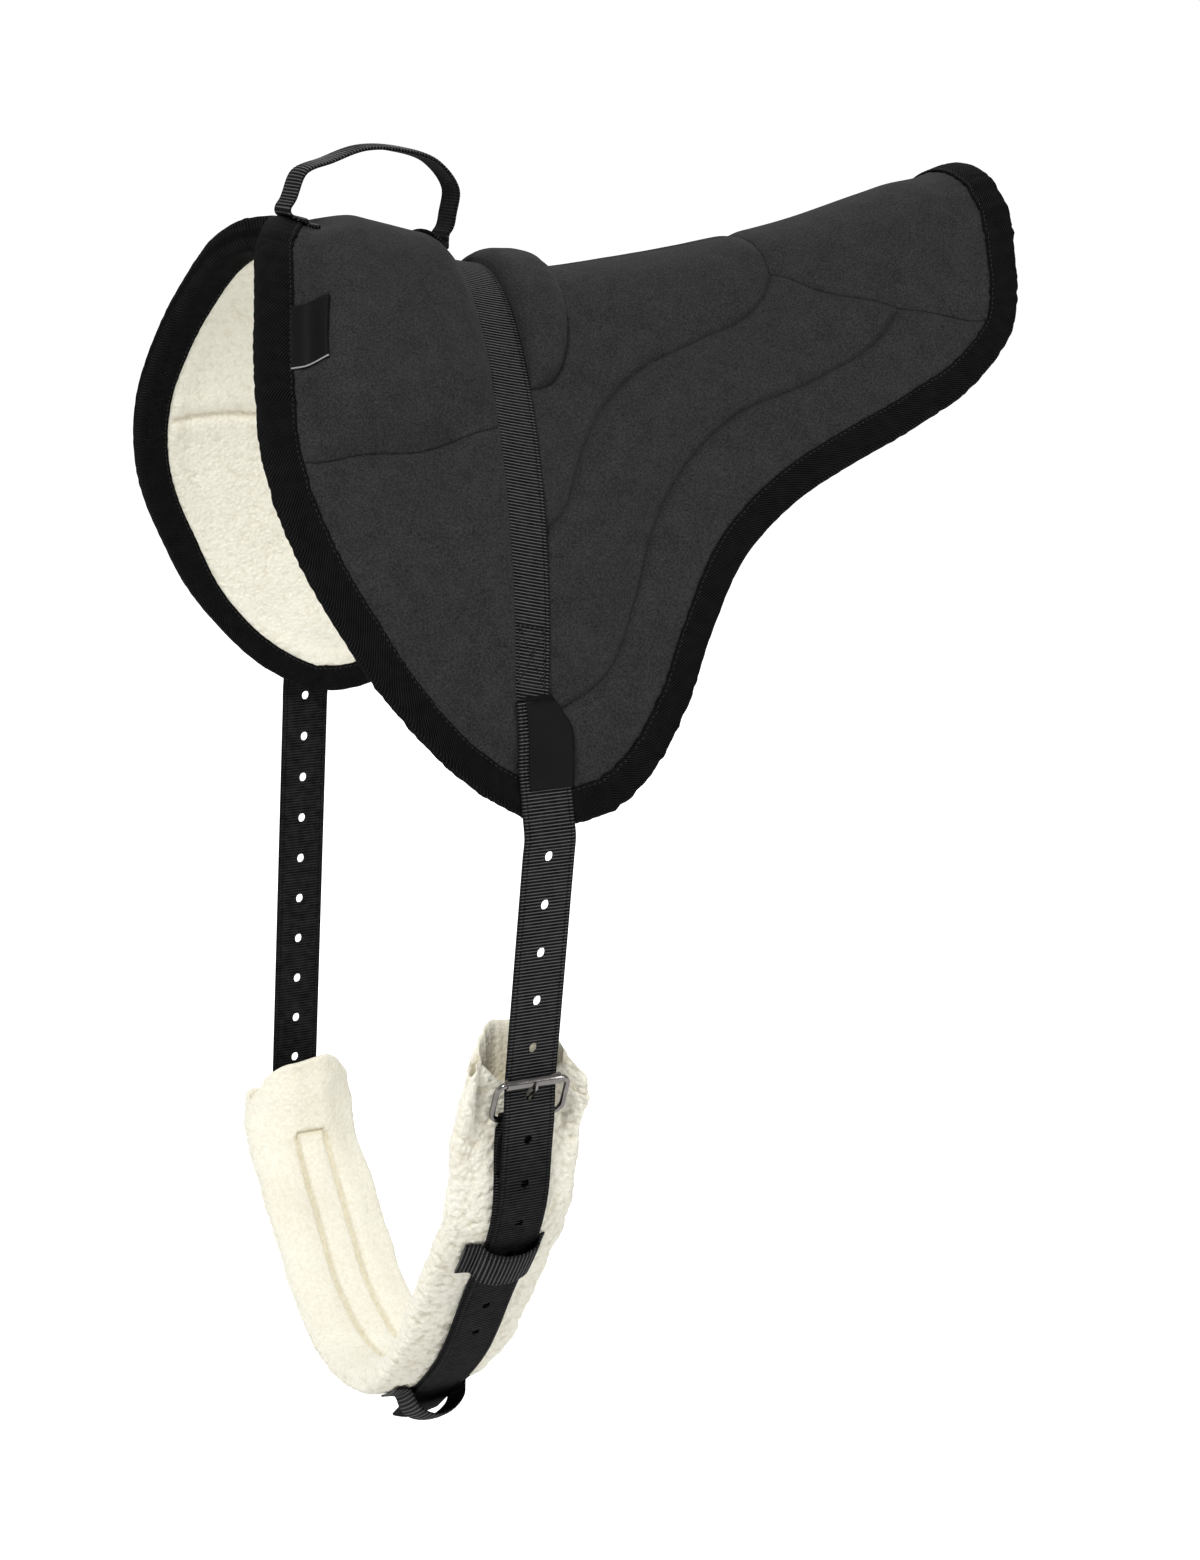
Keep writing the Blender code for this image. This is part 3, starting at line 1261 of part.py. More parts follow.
def make_girth_webbing(parent, buckles):
    """Webbing along the girth's outer face, folded round the chape bars and slotted there for the tongues."""
    rows = []
    ends = {}
    for side in (-1, 1):
        b = buckles[side]
        bar = girth_start(side) + BAR_DROP
        slot = LOOP_RADIUS + TONGUE_RADIUS + BUCKLE_GAP
        run = []
        for share in (1, 0.62, 0.32):
            s = share * CHAPE_LAP
            rise = FACE_DEPTH - BAR_DEPTH + FOLD_RADIUS - LAP_HEIGHT
            lift = LAP_HEIGHT + rise * smooth(1 - s / CHAPE_LAP * 1.15)
            run.append((outer_point(along_girth(side, bar + s), lift), False))
        run.append((b.at(0, BAR_DROP + slot, FOLD_RADIUS - BAR_DEPTH), True))
        for angle in (90, 120, 150, 180, 210, 240, 270):
            a = math.radians(angle)
            point = b.at(0, BAR_DROP + FOLD_RADIUS * math.cos(a), FOLD_RADIUS * math.sin(a) - BAR_DEPTH)
            run.append((point, True))
        run.append((b.at(0, BAR_DROP + slot, -FOLD_RADIUS - BAR_DEPTH), False))
        ends[side] = bar + 1.4 * slot
        rows.append(run)
    first, last = ends[-1], GIRTH.total - ends[1]
    inside = [s for s in GIRTH_STATIONS if first < s < last]
    stations = [first + (inside[0] - first) * k / 3 for k in range(3)] + inside
    stations += [last - (last - inside[-1]) * k / 3 for k in (2, 1, 0)]
    middle = [(outer_point(s, BASE_HEIGHT), False) for s in stations]
    far = rows[1]
    turned = [(point, far[k - 1][1] if k else False) for k, (point, _) in enumerate(far)][::-1]
    path = rows[0] + middle + turned
    across = np.array((-WEBBING_WIDTH, -TONGUE_SLOT_WIDTH, TONGUE_SLOT_WIDTH, WEBBING_WIDTH)) / 2
    made = bmesh.new()
    verts = [[made.verts.new(point + np.array([w, 0, 0])) for w in across] for point, _ in path]
    for k in range(len(path) - 1):
        for j in range(3):
            if j == 1 and path[k][1]:
                continue
            made.faces.new((verts[k][j], verts[k][j + 1], verts[k + 1][j + 1], verts[k + 1][j]))
    bmesh.ops.recalc_face_normals(made, faces=made.faces)
    mesh = bpy.data.meshes.new("girth_webbing")
    made.to_mesh(mesh)
    made.free()
    sheet("girth_webbing", mesh, WEBBING_THICKNESS, BLACK_WEBBING, offset=0.0, parent=parent)


def strap_keys(side):
    """Middle line of the tail, from the roller down the girth's outer face to its free end."""
    b = Buckle(side)
    bar = girth_start(side) + BAR_DROP
    keys = [b.at(0, s, 0) for s in (HINGE_GAP, 0.5 * BAR_DROP, BAR_DROP + LOOP_RADIUS)]
    over, under = OVER_LAP_HEIGHT, LAP_HEIGHT
    settle = (
        (0.62 * CHAPE_LAP, over + 0.55 * (FACE_DEPTH - over)), (CHAPE_LAP, over + 0.2 * (FACE_DEPTH - over)),
        (CHAPE_LAP + 0.3 * SETTLE_LENGTH, over), (CHAPE_LAP + 0.7 * SETTLE_LENGTH, 0.4 * over + 0.6 * under),
        (CHAPE_LAP + SETTLE_LENGTH, under),
    )
    for s, height in settle:
        keys.append(outer_point(along_girth(side, bar + s), height))
    left = BILLET_LENGTH - BUCKLE_DROPS[side] - BAR_DROP - LOOSE_END - CHAPE_LAP - SETTLE_LENGTH
    count = max(1, int(round(left / HOLE_PITCH)))
    for k in range(1, count + 1):
        keys.append(outer_point(along_girth(side, bar + CHAPE_LAP + SETTLE_LENGTH + left * k / count), under))
    d = keys[-1] - keys[-2]
    d /= np.linalg.norm(d)
    keys += [keys[-1] + d * LOOSE_END * k / 2 for k in (1, 2)]
    keys = np.array(keys)
    keys[:, 0] = np.interp(lengths(keys), (0, lengths(keys)[-1]), (b.origin[0], GIRTH(GIRTH.total / 2)[0]))
    return keys


TAILS = {side: Line(strap_keys(side)) for side in (-1, 1)}


def tail_height(side, s):
    """Height of the tail's middle plane over the girth's outer face at the girth's length s."""
    point, d, out = girth_frame(s)
    past = (TAILS[side].points - point) @ d
    away = np.abs((TAILS[side].points - point) @ out) > GIRTH_HALF_WIDTH * 2
    near = int(np.argmin(np.abs(past) + 2 * away))
    return float((TAILS[side].points[near] - point) @ out) - GIRTH_HALF_THICKNESS


def make_straps(side_name, side, strap_body, girth):
    """Hanging billet from the hem to the roller, and the tail beyond it."""
    top = hinge_point(side)
    d = strap_direction(side)
    drop = BUCKLE_DROPS[side]
    first = top + d * HINGE_GAP
    end = drop - (HINGE_GAP if side < 0 else FAR_END_GAP)
    line = Line(np.array([first, top + d * drop / 2, top + d * end]))
    hole = drop + tongue_hole_at() - HOLE_PITCH
    holes = []
    while hole > HOLE_LENGTH * 1.2 + HINGE_GAP:
        if hole < drop - HOLE_LENGTH * 1.2:
            holes.append((hole, HOLE_LENGTH))
        hole -= HOLE_PITCH
    ribbon(f"{side_name}_billet", along_line(line), line.total, holes[::-1], BLACK_WEBBING, strap_body)
    tail = TAILS[side]
    at = tongue_hole_at()
    holes = [(at, TONGUE_HOLE_LENGTH)]
    while len(holes) < TAIL_HOLES and at + 2 * HOLE_PITCH < tail.total:
        at += HOLE_PITCH
        holes.append((at, HOLE_LENGTH))
    name = f"{side_name}_billet_tail"
    ribbon(name, along_line(tail), tail.total, holes, BLACK_WEBBING, girth, point=POINT_LENGTH)


def make_keeper(name, side, s, girth):
    """Webbing loop round the tail: flat flaps on the fleece at both sides and a bridge over the tail."""
    low = WEBBING_GAP + KEEPER_THICKNESS / 2
    edge = WEBBING_WIDTH / 2 + 2 * WEBBING_GAP + KEEPER_THICKNESS / 2
    rows = []
    for k in range(4):
        at = along_girth(side, s + KEEPER_WIDTH * (k / 3 - 0.5))
        point, _, out = girth_frame(at)
        over = tail_height(side, at) + WEBBING_THICKNESS / 2 + WEBBING_GAP + KEEPER_THICKNESS / 2
        profile = (
            (-edge - KEEPER_FLAP, low), (-edge - 0.4 * KEEPER_FLAP, low), (-edge, low + 0.25 * (over - low)),
            (-edge, low + 0.8 * (over - low)), (-0.93 * edge, over), (0, over + 0.06 * (over - low)),
            (0.93 * edge, over), (edge, low + 0.8 * (over - low)), (edge, low + 0.25 * (over - low)),
            (edge + 0.4 * KEEPER_FLAP, low),
        )
        rows.append([point + np.array([x, 0, 0]) + out * (GIRTH_HALF_THICKNESS + n) for x, n in profile])
    grid = np.array(rows)
    out = girth_frame(along_girth(side, s))[2]
    mesh = open_mesh(name, grid, grid + out * KEEPER_THICKNESS)
    sheet(name, mesh, KEEPER_THICKNESS, BLACK_WEBBING, offset=0.0, parent=girth)


# Handle and labels


def crown_point(x, height):
    return pad_point(np.array([x, 0.0]), height)


def pommel_top(x):
    """Height of the pommel on the spine, or of the binding where that lies higher."""
    p = np.array([x, 0.0])
    bound = float(distance(p, HEM)) < BINDING_WIDTH + BINDING_MARGIN
    return max(float(front_top(p)), float(hem_half(p)) + (WEBBING_GAP + BINDING_THICKNESS if bound else 0))


def handle_ends():
    """Pivot points of the handle, above its two sewn ends."""
    radius = HANDLE_WIDTH / 2
    rise = HANDLE_FOOT_SHARE * radius + HANDLE_THICKNESS
    front = crown_point(HANDLE_FRONT_X, pommel_top(HANDLE_FRONT_X))
    rear = crown_point(HANDLE_REAR_X, pommel_top(HANDLE_REAR_X))
    front = front + np.array([HANDLE_FRONT_LEAN, 0, 1]) * rise
    rear = rear + np.array([HANDLE_REAR_FOOT_LEAN, 0, 1]) * rise
    return front, rear


def make_handle(handle_body, seat):
    front, rear = handle_ends()
    radius = HANDLE_WIDTH / 2
    middle_x = (front[0] + rear[0]) / 2
    top = float(crown_point(middle_x, pommel_top(middle_x))[2]) + HANDLE_RISE
    lean_front = np.array([HANDLE_FRONT_LEAN, 0, 1])
    lean_rear = np.array([HANDLE_REAR_LEAN, 0, 1])
    lean_front /= np.linalg.norm(lean_front)
    lean_rear /= np.linalg.norm(lean_rear)
    keys = [
        front - lean_front * radius, front, front + lean_front * 0.55 * radius,
        (front[0] + 0.20 * (rear[0] - front[0]), 0, top - 0.16 * HANDLE_RISE),
        (front[0] + 0.42 * (rear[0] - front[0]), 0, top),
        (front[0] + 0.66 * (rear[0] - front[0]), 0, top - 0.02 * HANDLE_RISE),
        (front[0] + 0.90 * (rear[0] - front[0]), 0, top - 0.20 * HANDLE_RISE),
        rear + lean_rear * 0.9 * radius, rear, rear - lean_rear * radius,
    ]
    line = Line(np.array(keys, float))
    s = np.concatenate([
        radius * (1 - np.cos(np.radians((3, 22, 45, 68, 90)))),
        np.linspace(radius, line.total - radius, 13)[1:-1],
        line.total - radius * (1 - np.cos(np.radians((90, 68, 45, 22, 3)))),
    ])
    end = np.minimum(s, line.total - s)
    half = np.where(end < radius, np.sqrt(np.maximum(radius**2 - (radius - end) ** 2, 0)), radius)
    w = np.array((-1, -0.5, 0, 0.5, 1))
    grid = np.array([[line(a) + np.array([0, b * h, 0]) for b in w] for a, h in zip(s, half)])
    middle = line(line.total / 2)
    outward = grid + (grid - np.array([middle[0], 0, front[2] - HANDLE_RISE])) * 0.1
    mesh = open_mesh("handle", grid, outward)
    sheet("handle", mesh, HANDLE_THICKNESS, BLACK_WEBBING, offset=0.0, parent=handle_body)
    for name, pivot, lean, x, way in (
        ("handle_front_tab", front, lean_front, HANDLE_FRONT_X, 1),
        ("handle_rear_tab", rear, lean_rear, HANDLE_REAR_X, -1),
    ):
        y = np.linspace(-1, 1, 9) * radius * 0.93
        reach = radius + HANDLE_PIVOT_GAP
        rows = []
        for k in range(4):
            p = np.stack([np.full(9, x + way * HANDLE_TAB * (1 - k / 3)), y], axis=-1)
            bound = smooth((2 * BINDING_WIDTH - distance(folded(p), HEM)) / BINDING_WIDTH * 2)
            lift = HANDLE_TAB_GAP + HANDLE_THICKNESS / 2 + (WEBBING_GAP + BINDING_THICKNESS) * bound
            rows.append(seat.at(p, lift))
        low = pivot - lean * (reach + 0.08 * radius)
        rows.append(np.array([low + np.array([0, b, 0]) for b in y]))
        rows.append(np.array([pivot - lean * math.sqrt(reach**2 - b**2) + np.array([0, b, 0]) for b in y]))
        grid = np.array(rows)
        outward = grid + np.array([-way * 1.0, 0, 1.0]) * HANDLE_THICKNESS
        sheet(name, open_mesh(name, grid, outward), HANDLE_THICKNESS, BLACK_WEBBING, offset=0.0)
    return front, rear


def make_side_label(seat):
    """Woven label folded in half and sewn beside the front binding, near side, bare."""
    t = SIDE_LABEL_DROP + SIDE_LABEL_LENGTH * np.linspace(0, 1, 5)
    hem = inset(FRONT_HEM, BINDING_WIDTH + 2 * BINDING_MARGIN)
    front = np.interp(t, hem[:, 1], hem[:, 0])
    u = np.linspace(0, 1, 4)[None, :]
    p = np.stack([front[:, None] + u * SIDE_LABEL_WIDTH, -t[:, None] + 0 * u], axis=-1)
    lift = np.full(p.shape[:-1], WEBBING_GAP + LABEL_THICKNESS)
    mesh = open_mesh("side_label", seat.at(p, lift), seat.at(p, lift + LABEL_THICKNESS))
    sheet("side_label", mesh, 2 * LABEL_THICKNESS, LABEL, offset=0.0)


def empty_at(name, place, parent=None):
    obj = bpy.data.objects.new(name, None)
    bpy.data.collections[COLLECTION].objects.link(obj)
    obj.location = Vector(place)
    return obj


def main():
    for obj in list(bpy.data.objects):
        bpy.data.objects.remove(obj, do_unlink=True)
    parts = bpy.data.collections.new(COLLECTION)
    bpy.context.scene.collection.children.link(parts)

    seat = make_pad()
    for side_name, side in SIDES:
        make_billet_anchor(side_name, side)
    make_side_label(seat)
    front, rear = handle_ends()
    make_handle(empty_at("handle_pivot", front), seat)

    girth = empty_at("girth_pivot", roller_point(-1))
    make_girth_sleeve(girth)
    buckles = {side: Buckle(side) for _, side in SIDES}
    make_girth_webbing(girth, buckles)
    for side_name, side in SIDES:
        b = buckles[side]
        strap_body = empty_at(f"{side_name}_strap_pivot", hinge_point(side))
        make_straps(side_name, side, strap_body, girth)
        roller_body = empty_at(f"{side_name}_roller_axis", b.at(0, 0, ROLLER_HEIGHT))
        tongue_body = empty_at(f"{side_name}_tongue_axis", b.at(0, BAR_DROP, -BAR_DEPTH))
        make_buckle(side_name, b, girth, roller_body, tongue_body)
        make_keeper(f"{side_name}_upper_keeper", side, UPPER_KEEPER_AT, girth)
    make_keeper("lower_keeper", -1, LOWER_KEEPER_AT, girth)
    for place in (hinge_point(-1), hinge_point(1), roller_point(-1), roller_point(1), front, rear):
        print("pivot", np.round(place, 5).tolist())
    for b in buckles.values():
        roller, bar = b.at(0, 0, ROLLER_HEIGHT), b.at(0, BAR_DROP, -BAR_DEPTH)
        print("roller", np.round(roller, 5).tolist(), "bar", np.round(bar, 5).tolist())


main()
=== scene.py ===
"""Looks of the bareback pad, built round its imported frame.

The pad is planned flat, as it would be cut: x runs from front to rear, and t is the length over the back from the
spine, below zero on the near side. BackSurface lays a flat point on the back's curve. Lengths are in metres.
"""

import logging
import math
from dataclasses import dataclass, field
from enum import Enum
from typing import Callable, Mapping, Sequence

import bpy
import numpy as np
from mathutils import Matrix, Vector, noise
from mathutils.geometry import delaunay_2d_cdt


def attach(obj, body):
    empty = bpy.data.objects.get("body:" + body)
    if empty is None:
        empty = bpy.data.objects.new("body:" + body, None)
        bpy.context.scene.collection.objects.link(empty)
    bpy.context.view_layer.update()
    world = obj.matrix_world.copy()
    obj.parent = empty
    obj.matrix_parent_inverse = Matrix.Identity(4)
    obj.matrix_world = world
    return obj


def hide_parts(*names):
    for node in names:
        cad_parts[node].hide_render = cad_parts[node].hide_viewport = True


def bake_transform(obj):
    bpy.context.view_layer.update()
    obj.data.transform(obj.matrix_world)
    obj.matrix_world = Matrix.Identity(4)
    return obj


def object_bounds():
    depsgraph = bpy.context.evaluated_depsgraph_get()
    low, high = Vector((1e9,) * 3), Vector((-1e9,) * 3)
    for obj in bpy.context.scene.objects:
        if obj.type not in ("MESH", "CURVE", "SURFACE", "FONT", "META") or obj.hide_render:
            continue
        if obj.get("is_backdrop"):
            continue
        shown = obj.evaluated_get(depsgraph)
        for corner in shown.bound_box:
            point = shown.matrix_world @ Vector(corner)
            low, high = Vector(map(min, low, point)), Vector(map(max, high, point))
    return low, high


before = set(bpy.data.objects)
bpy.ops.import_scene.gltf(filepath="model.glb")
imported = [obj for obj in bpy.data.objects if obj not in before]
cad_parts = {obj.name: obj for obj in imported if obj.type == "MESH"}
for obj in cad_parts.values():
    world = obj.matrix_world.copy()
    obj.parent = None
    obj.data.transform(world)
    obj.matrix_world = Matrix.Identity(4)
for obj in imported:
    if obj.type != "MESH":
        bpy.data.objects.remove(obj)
CAD_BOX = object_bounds()
LOG = logging.getLogger("bareback_pad")

Array = np.ndarray
Mesh = tuple[Array, list]
Pairs = Sequence[tuple[float, float]]
Place = Callable[[Array, Array], Array]
Triple = tuple[float, float, float]
Material = bpy.types.Material
Object = bpy.types.Object
Socket = bpy.types.NodeSocket
LAY = "lay"
PROBE = 0.0004


class Side(Enum):
    """Side of the horse; its value is the sign of Y there."""

    NEAR = -1
    FAR = 1

    @property
    def node(self) -> str:
        """First word of the frame's names on this side."""
        return "left" if self is Side.NEAR else "right"

    @property
    def label(self) -> str:
        """First word of the names of the pieces made here."""
        return "near" if self is Side.NEAR else "far"


# Curves


def ease(value: Array) -> Array:
    """Smooth step from 0 to 1."""
    v = np.clip(value, 0, 1)
    return v * v * (3 - 2 * v)


def bell(value: Array, width: float) -> Array:
    """Bump that is 1 at 0 and fades over this width."""
    return np.exp(-((value / width) ** 2))


def pack(*parts: Array | float) -> Array:
    """Points with these coordinates."""
    return np.stack(np.broadcast_arrays(*parts), axis=-1)


def unit(v: Array) -> Array:
    """A vector or rows of vectors, at length 1."""
    return v / (np.linalg.norm(v) if v.ndim == 1 else np.linalg.norm(v, axis=-1)[..., None])


def lengths(points: Array) -> Array:
    """Length along the polyline at each of its points."""
    return np.concatenate([[0], np.cumsum(np.linalg.norm(np.diff(points, axis=0), axis=1))])


def read_at(points: Array, at: Array, wanted: Array) -> Array:
    """The polyline's points at the wanted values of its parameter."""
    return np.stack([np.interp(wanted, at, points[:, i]) for i in range(points.shape[1])], axis=-1)


def smooth(keys: Array, slopes: Array, at: Array, wanted: Array) -> Array:
    """Values of a smooth curve through keys that have these slopes and lie at these places."""
    k = np.clip(np.searchsorted(at, wanted, side="right") - 1, 0, len(at) - 2)
    span = at[k + 1] - at[k]
    u = (wanted - at[k]) / span
    if keys.ndim > 1:
        span, u = span[:, None], u[:, None]
    return (
        (1 + 2 * u) * (1 - u) ** 2 * keys[k]
        + u * (1 - u) ** 2 * span * slopes[k]
        + u * u * (3 - 2 * u) * keys[k + 1]
        + u * u * (u - 1) * span * slopes[k + 1]
    )


def through(keys: Sequence[Sequence[float]], count: int) -> Array:
    """Points evenly spaced along a smooth curve through the keys.

    Args:
        keys: points that the curve passes.
        count: how many points to return.

    Returns:
        The points, one row each.
    """
    keys = np.asarray(keys, float)
    at = lengths(keys)
    points = smooth(keys, np.gradient(keys, at, axis=0), at, np.linspace(0, at[-1], 400))
    run = lengths(points)
    return read_at(points, run, np.linspace(0, run[-1], count))


def directions(points: Array) -> Array:
    """Unit direction of the polyline at each point."""
    return unit(np.gradient(points, axis=0))


def left_of(d: Array) -> Array:
    """Flat directions turned by a right angle."""
    return pack(-d[:, 1], d[:, 0])


def nearest(p: Array, line: Array) -> tuple[Array, Array]:
    """Least distance from flat points to a polyline.

    Args:
        p: flat points, in an array of any shape with two numbers last.
        line: the polyline.

    Returns:
        The distances, and how far along the polyline the nearest point lies.
    """
    flat = np.asarray(p, float).reshape(-1, 2)
    a, ab = line[:-1], np.diff(line, axis=0)
    size = np.maximum((ab * ab).sum(-1), 1e-18)
    run = lengths(line)
    gaps, places = [], []
    for start in range(0, len(flat), 4000):
        ap = flat[start : start + 4000, None, :] - a
        u = np.clip((ap * ab).sum(-1) / size, 0, 1)
        gap = np.linalg.norm(ap - ab * u[..., None], axis=-1)
        k = gap.argmin(-1)
        rows = np.arange(len(k))
        gaps.append(gap[rows, k])
        places.append(run[k] + u[rows, k] * np.sqrt(size[k]))
    shape = np.shape(p)[:-1]
    if not gaps:
        return np.zeros(shape), np.zeros(shape)
    return np.concatenate(gaps).reshape(shape), np.concatenate(places).reshape(shape)


def gap_to(p: Array, line: Array) -> Array:
    """Least distance from flat points to a polyline."""
    return nearest(p, line)[0]


def ripple(points: Array, scale: float, seed: float = 0.0) -> Array:
    """Smooth noise from -1 to 1 at the points, with waves of about this scale."""
    shift = Vector((seed, 2.3 * seed, 5.1 - seed))
    return np.array([noise.noise(Vector(p).to_3d() / scale + shift) for p in points.reshape(-1, points.shape[-1])])


def curls(points: Array, size: float, seed: float = 0.0) -> Array:
    """Rounded lumps like the curls of a fleece, from 0 in the creases to 1 on top."""
    shift = Vector((seed, 1.7 * seed, 3.3 + seed))
    found = (noise.voronoi(Vector(p) / size + shift)[0] for p in points.reshape(-1, 3))
    return np.array([math.sqrt(max(0.0, 1 - min(1.0, d[0] * 1.25) ** 2)) for d in found])


# Shader maths


def math_operator(operation: str, flipped: bool = False) -> Callable[..., "Wire"]:
    """Python operator that adds a Math node of this operation."""

    def apply(wire: "Wire", other: "Wire | float | None" = None) -> "Wire":
        """Adds the node."""
        return wire.math(operation, other, flipped)

    return apply


class Wire:
    """A node's output. Python's operators on it add Math nodes."""

    def __init__(self, graph: "Graph", socket: Socket) -> None:
        """Keeps the graph and the socket."""
        self.graph, self.socket = graph, socket

    def math(self, operation: str, other: "Wire | float | None" = None, flipped: bool = False) -> "Wire":
        """Adds one Math node on this value.

        Args:
            operation: the node's operation.
            other: the second value, where it has one.
            flipped: puts the second value first.

        Returns:
            The node's value.
        """
        values = [self] if other is None else [self, other]
        if flipped:
            values.reverse()
        return self.graph.node("Math", dict(enumerate(values)), operation=operation)

    __add__ = __radd__ = math_operator("ADD")
    __sub__ = math_operator("SUBTRACT")
    __rsub__ = math_operator("SUBTRACT", flipped=True)
    __mul__ = __rmul__ = math_operator("MULTIPLY")
    __pow__ = math_operator("POWER")
    __gt__ = math_operator("GREATER_THAN")
    __abs__ = math_operator("ABSOLUTE")

    def wave(self, pitch: float) -> "Wire":
        """Cosine of the value from 0 to 1, once each pitch."""
        return (self * (2 * math.pi / pitch)).math("COSINE") * 0.5 + 0.5


class Graph:
    """Node tree of one material."""

    def __init__(self, name: str) -> None:
        """Starts a material with its Principled shader."""
        self.material = bpy.data.materials.new(name)
        self.material.use_nodes = True
        self.tree = self.material.node_tree
        self.shader = self.tree.nodes["Principled BSDF"]

    def feed(self, socket: Socket, value: object) -> None:
        """Links a wire to a socket, or sets the socket to a value."""
        if isinstance(value, Wire):
            self.tree.links.new(value.socket, socket)
        else:
            socket.default_value = value

    def node(self, kind: str, sockets: Mapping[object, object], output: object = 0, **settings: object) -> Wire:
        """Adds one node.

        Args:
            kind: the node's type, after "ShaderNode".
            sockets: numbers, vectors or wires for its inputs, by name or place.
            output: name or place of the output to return.
            settings: its properties.

        Returns:
            That output.
        """
        made = self.tree.nodes.new("ShaderNode" + kind)
        for key, value in settings.items():
            setattr(made, key, value)
        for key, value in sockets.items():
            self.feed(made.inputs[key], value)
        return Wire(self, made.outputs[output])

    def object_place(self) -> Wire:
        """Place on the object, in metres."""
        return self.node("TexCoord", {}, "Object")

    def lay(self) -> list[Wire]:
        """Places across and along the cloth in metres, and a third value: on webbing how bold the ribs and their
        painted highlights are, on fleece its painted shade from 0 in creases to 1 on the curls.
        """
        parts = self.node("SeparateXYZ", {0: self.node("Attribute", {}, "Vector", attribute_name=LAY)})
        return [Wire(self, socket) for socket in parts.socket.node.outputs]

    def noise(self, place: Wire, size: float, detail: float = 2.0, rough: float = 0.5) -> Wire:
        """Noise about 0.5, with patches of about this size."""
        return self.node("TexNoise", {"Vector": place, "Scale": 1 / size, "Detail": detail, "Roughness": rough})

    def colour(self, factor: Wire, low: Triple, high: Triple) -> Wire:
        """Colour that goes from low to high with the factor."""
        sockets = {0: factor, 6: (*low, 1), 7: (*high, 1)}
        return self.node("Mix", sockets, 2, data_type="RGBA", clamp_factor=True)

    def dress(self, **values: object) -> Material:
        """Sets the shader's sockets, named with _ for a space, and returns the material."""
        for key, value in values.items():
            self.feed(self.shader.inputs[key.replace("_", " ")], value)
        return self.material

    def bump(self, height: Wire, depth: float) -> Wire:
        """Normal of a relief whose height goes from 0 to 1 over this depth."""
        return self.node("Bump", {"Height": height, "Distance": depth, "Strength": 1.0})


# Finishes


@dataclass(frozen=True)
class Suede:
    """Charcoal microfibre with a short nap."""

    dark: Triple = (0.0112, 0.0112, 0.0113)
    light: Triple = (0.047, 0.047, 0.0473)
    grain: float = 0.0013

    def material(self) -> Material:
        """Makes the material."""
        g = Graph("suede_cover")
        place = g.object_place()
        fine = g.noise(place, self.grain, 3.0, 0.75)
        brushed = g.noise(place, 0.016, 2.0, 0.6)
        speck = (fine - 0.5) * 2.6 + (brushed - 0.5) * 0.45 + 0.40
        normal = g.bump(fine * 0.7 + g.noise(place, 0.0035, 2.0) * 0.3, 0.0005)
        return g.dress(
            Base_Color=g.colour(speck, self.dark, self.light), Roughness=0.93, Normal=normal,
            Sheen_Weight=0.03, Sheen_Roughness=0.5, Specular_IOR_Level=0.10,
        )


@dataclass(frozen=True)
class Twill:
    """Black twill tape of the binding."""

    dark: Triple = (0.0004, 0.0004, 0.0005)
    light: Triple = (0.0135, 0.0135, 0.0140)
    pitch: float = 0.0016

    def material(self) -> Material:
        """Makes the material."""
        g = Graph("twill_tape")
        across, along, _ = g.lay()
        rib = (across * 0.8 + along * 0.6).wave(self.pitch)
        thread = (along * 0.8 - across * 0.6).wave(self.pitch * 0.5)
        patch = g.noise(g.object_place(), 0.008, 3.0)
        tone = rib * rib * 0.75 + thread * 0.10 + (patch - 0.42) * 0.5
        return g.dress(
            Base_Color=g.colour(tone, self.dark, self.light), Roughness=0.86,
            Normal=g.bump(rib * 0.8 + thread * 0.2, 0.00034), Specular_IOR_Level=0.05,
        )


@dataclass(frozen=True)
class Fleece:
    """Cream fleece with small curls, with painted shade between its curls, in its creases and along its sewn lines.
    """

    # crease is the painted shade colour for the gaps between curls and the sewn grooves; curl is the lit colour of
    # the curl tops.
    crease: Triple = (0.66, 0.58, 0.39)
    curl: Triple = (0.95, 0.925, 0.81)
    size: float = 0.0030

    def material(self) -> Material:
        """Makes the material."""
        g = Graph("curly_fleece")
        place = g.object_place()
        _, _, lit_share = g.lay()
        warp = g.node("TexNoise", {"Vector": place, "Scale": 1 / 0.006, "Detail": 2.0}, 1)
        moved = g.node("VectorMath", {0: warp, 1: (0.0022,) * 3, 2: place}, operation="MULTIPLY_ADD")
        # lump gives the curls' bump and also darkens the gaps between them as painted shade.
        lump = 1.0 - g.node("TexVoronoi", {"Vector": moved, "Scale": 1 / self.size}) * 1.15
        fibre = g.noise(moved, 0.0009, 3.0, 0.7)
        patch = g.noise(place, 0.045, 2.0)
        # Painted shade: darker in creases, in sewn grooves and between the curls; fibre and patch are random tone.
        tone = lit_share * 0.75 + lump * 0.30 + (fibre - 0.5) * 0.35 + (patch - 0.5) * 0.30 + 0.12
        return g.dress(
            Base_Color=g.colour(tone, self.crease, self.curl), Roughness=0.96,
            Normal=g.bump(lump * 0.75 + fibre * 0.25, 0.0008), Sheen_Weight=0.2, Sheen_Roughness=0.6,
            Specular_IOR_Level=0.15,
        )


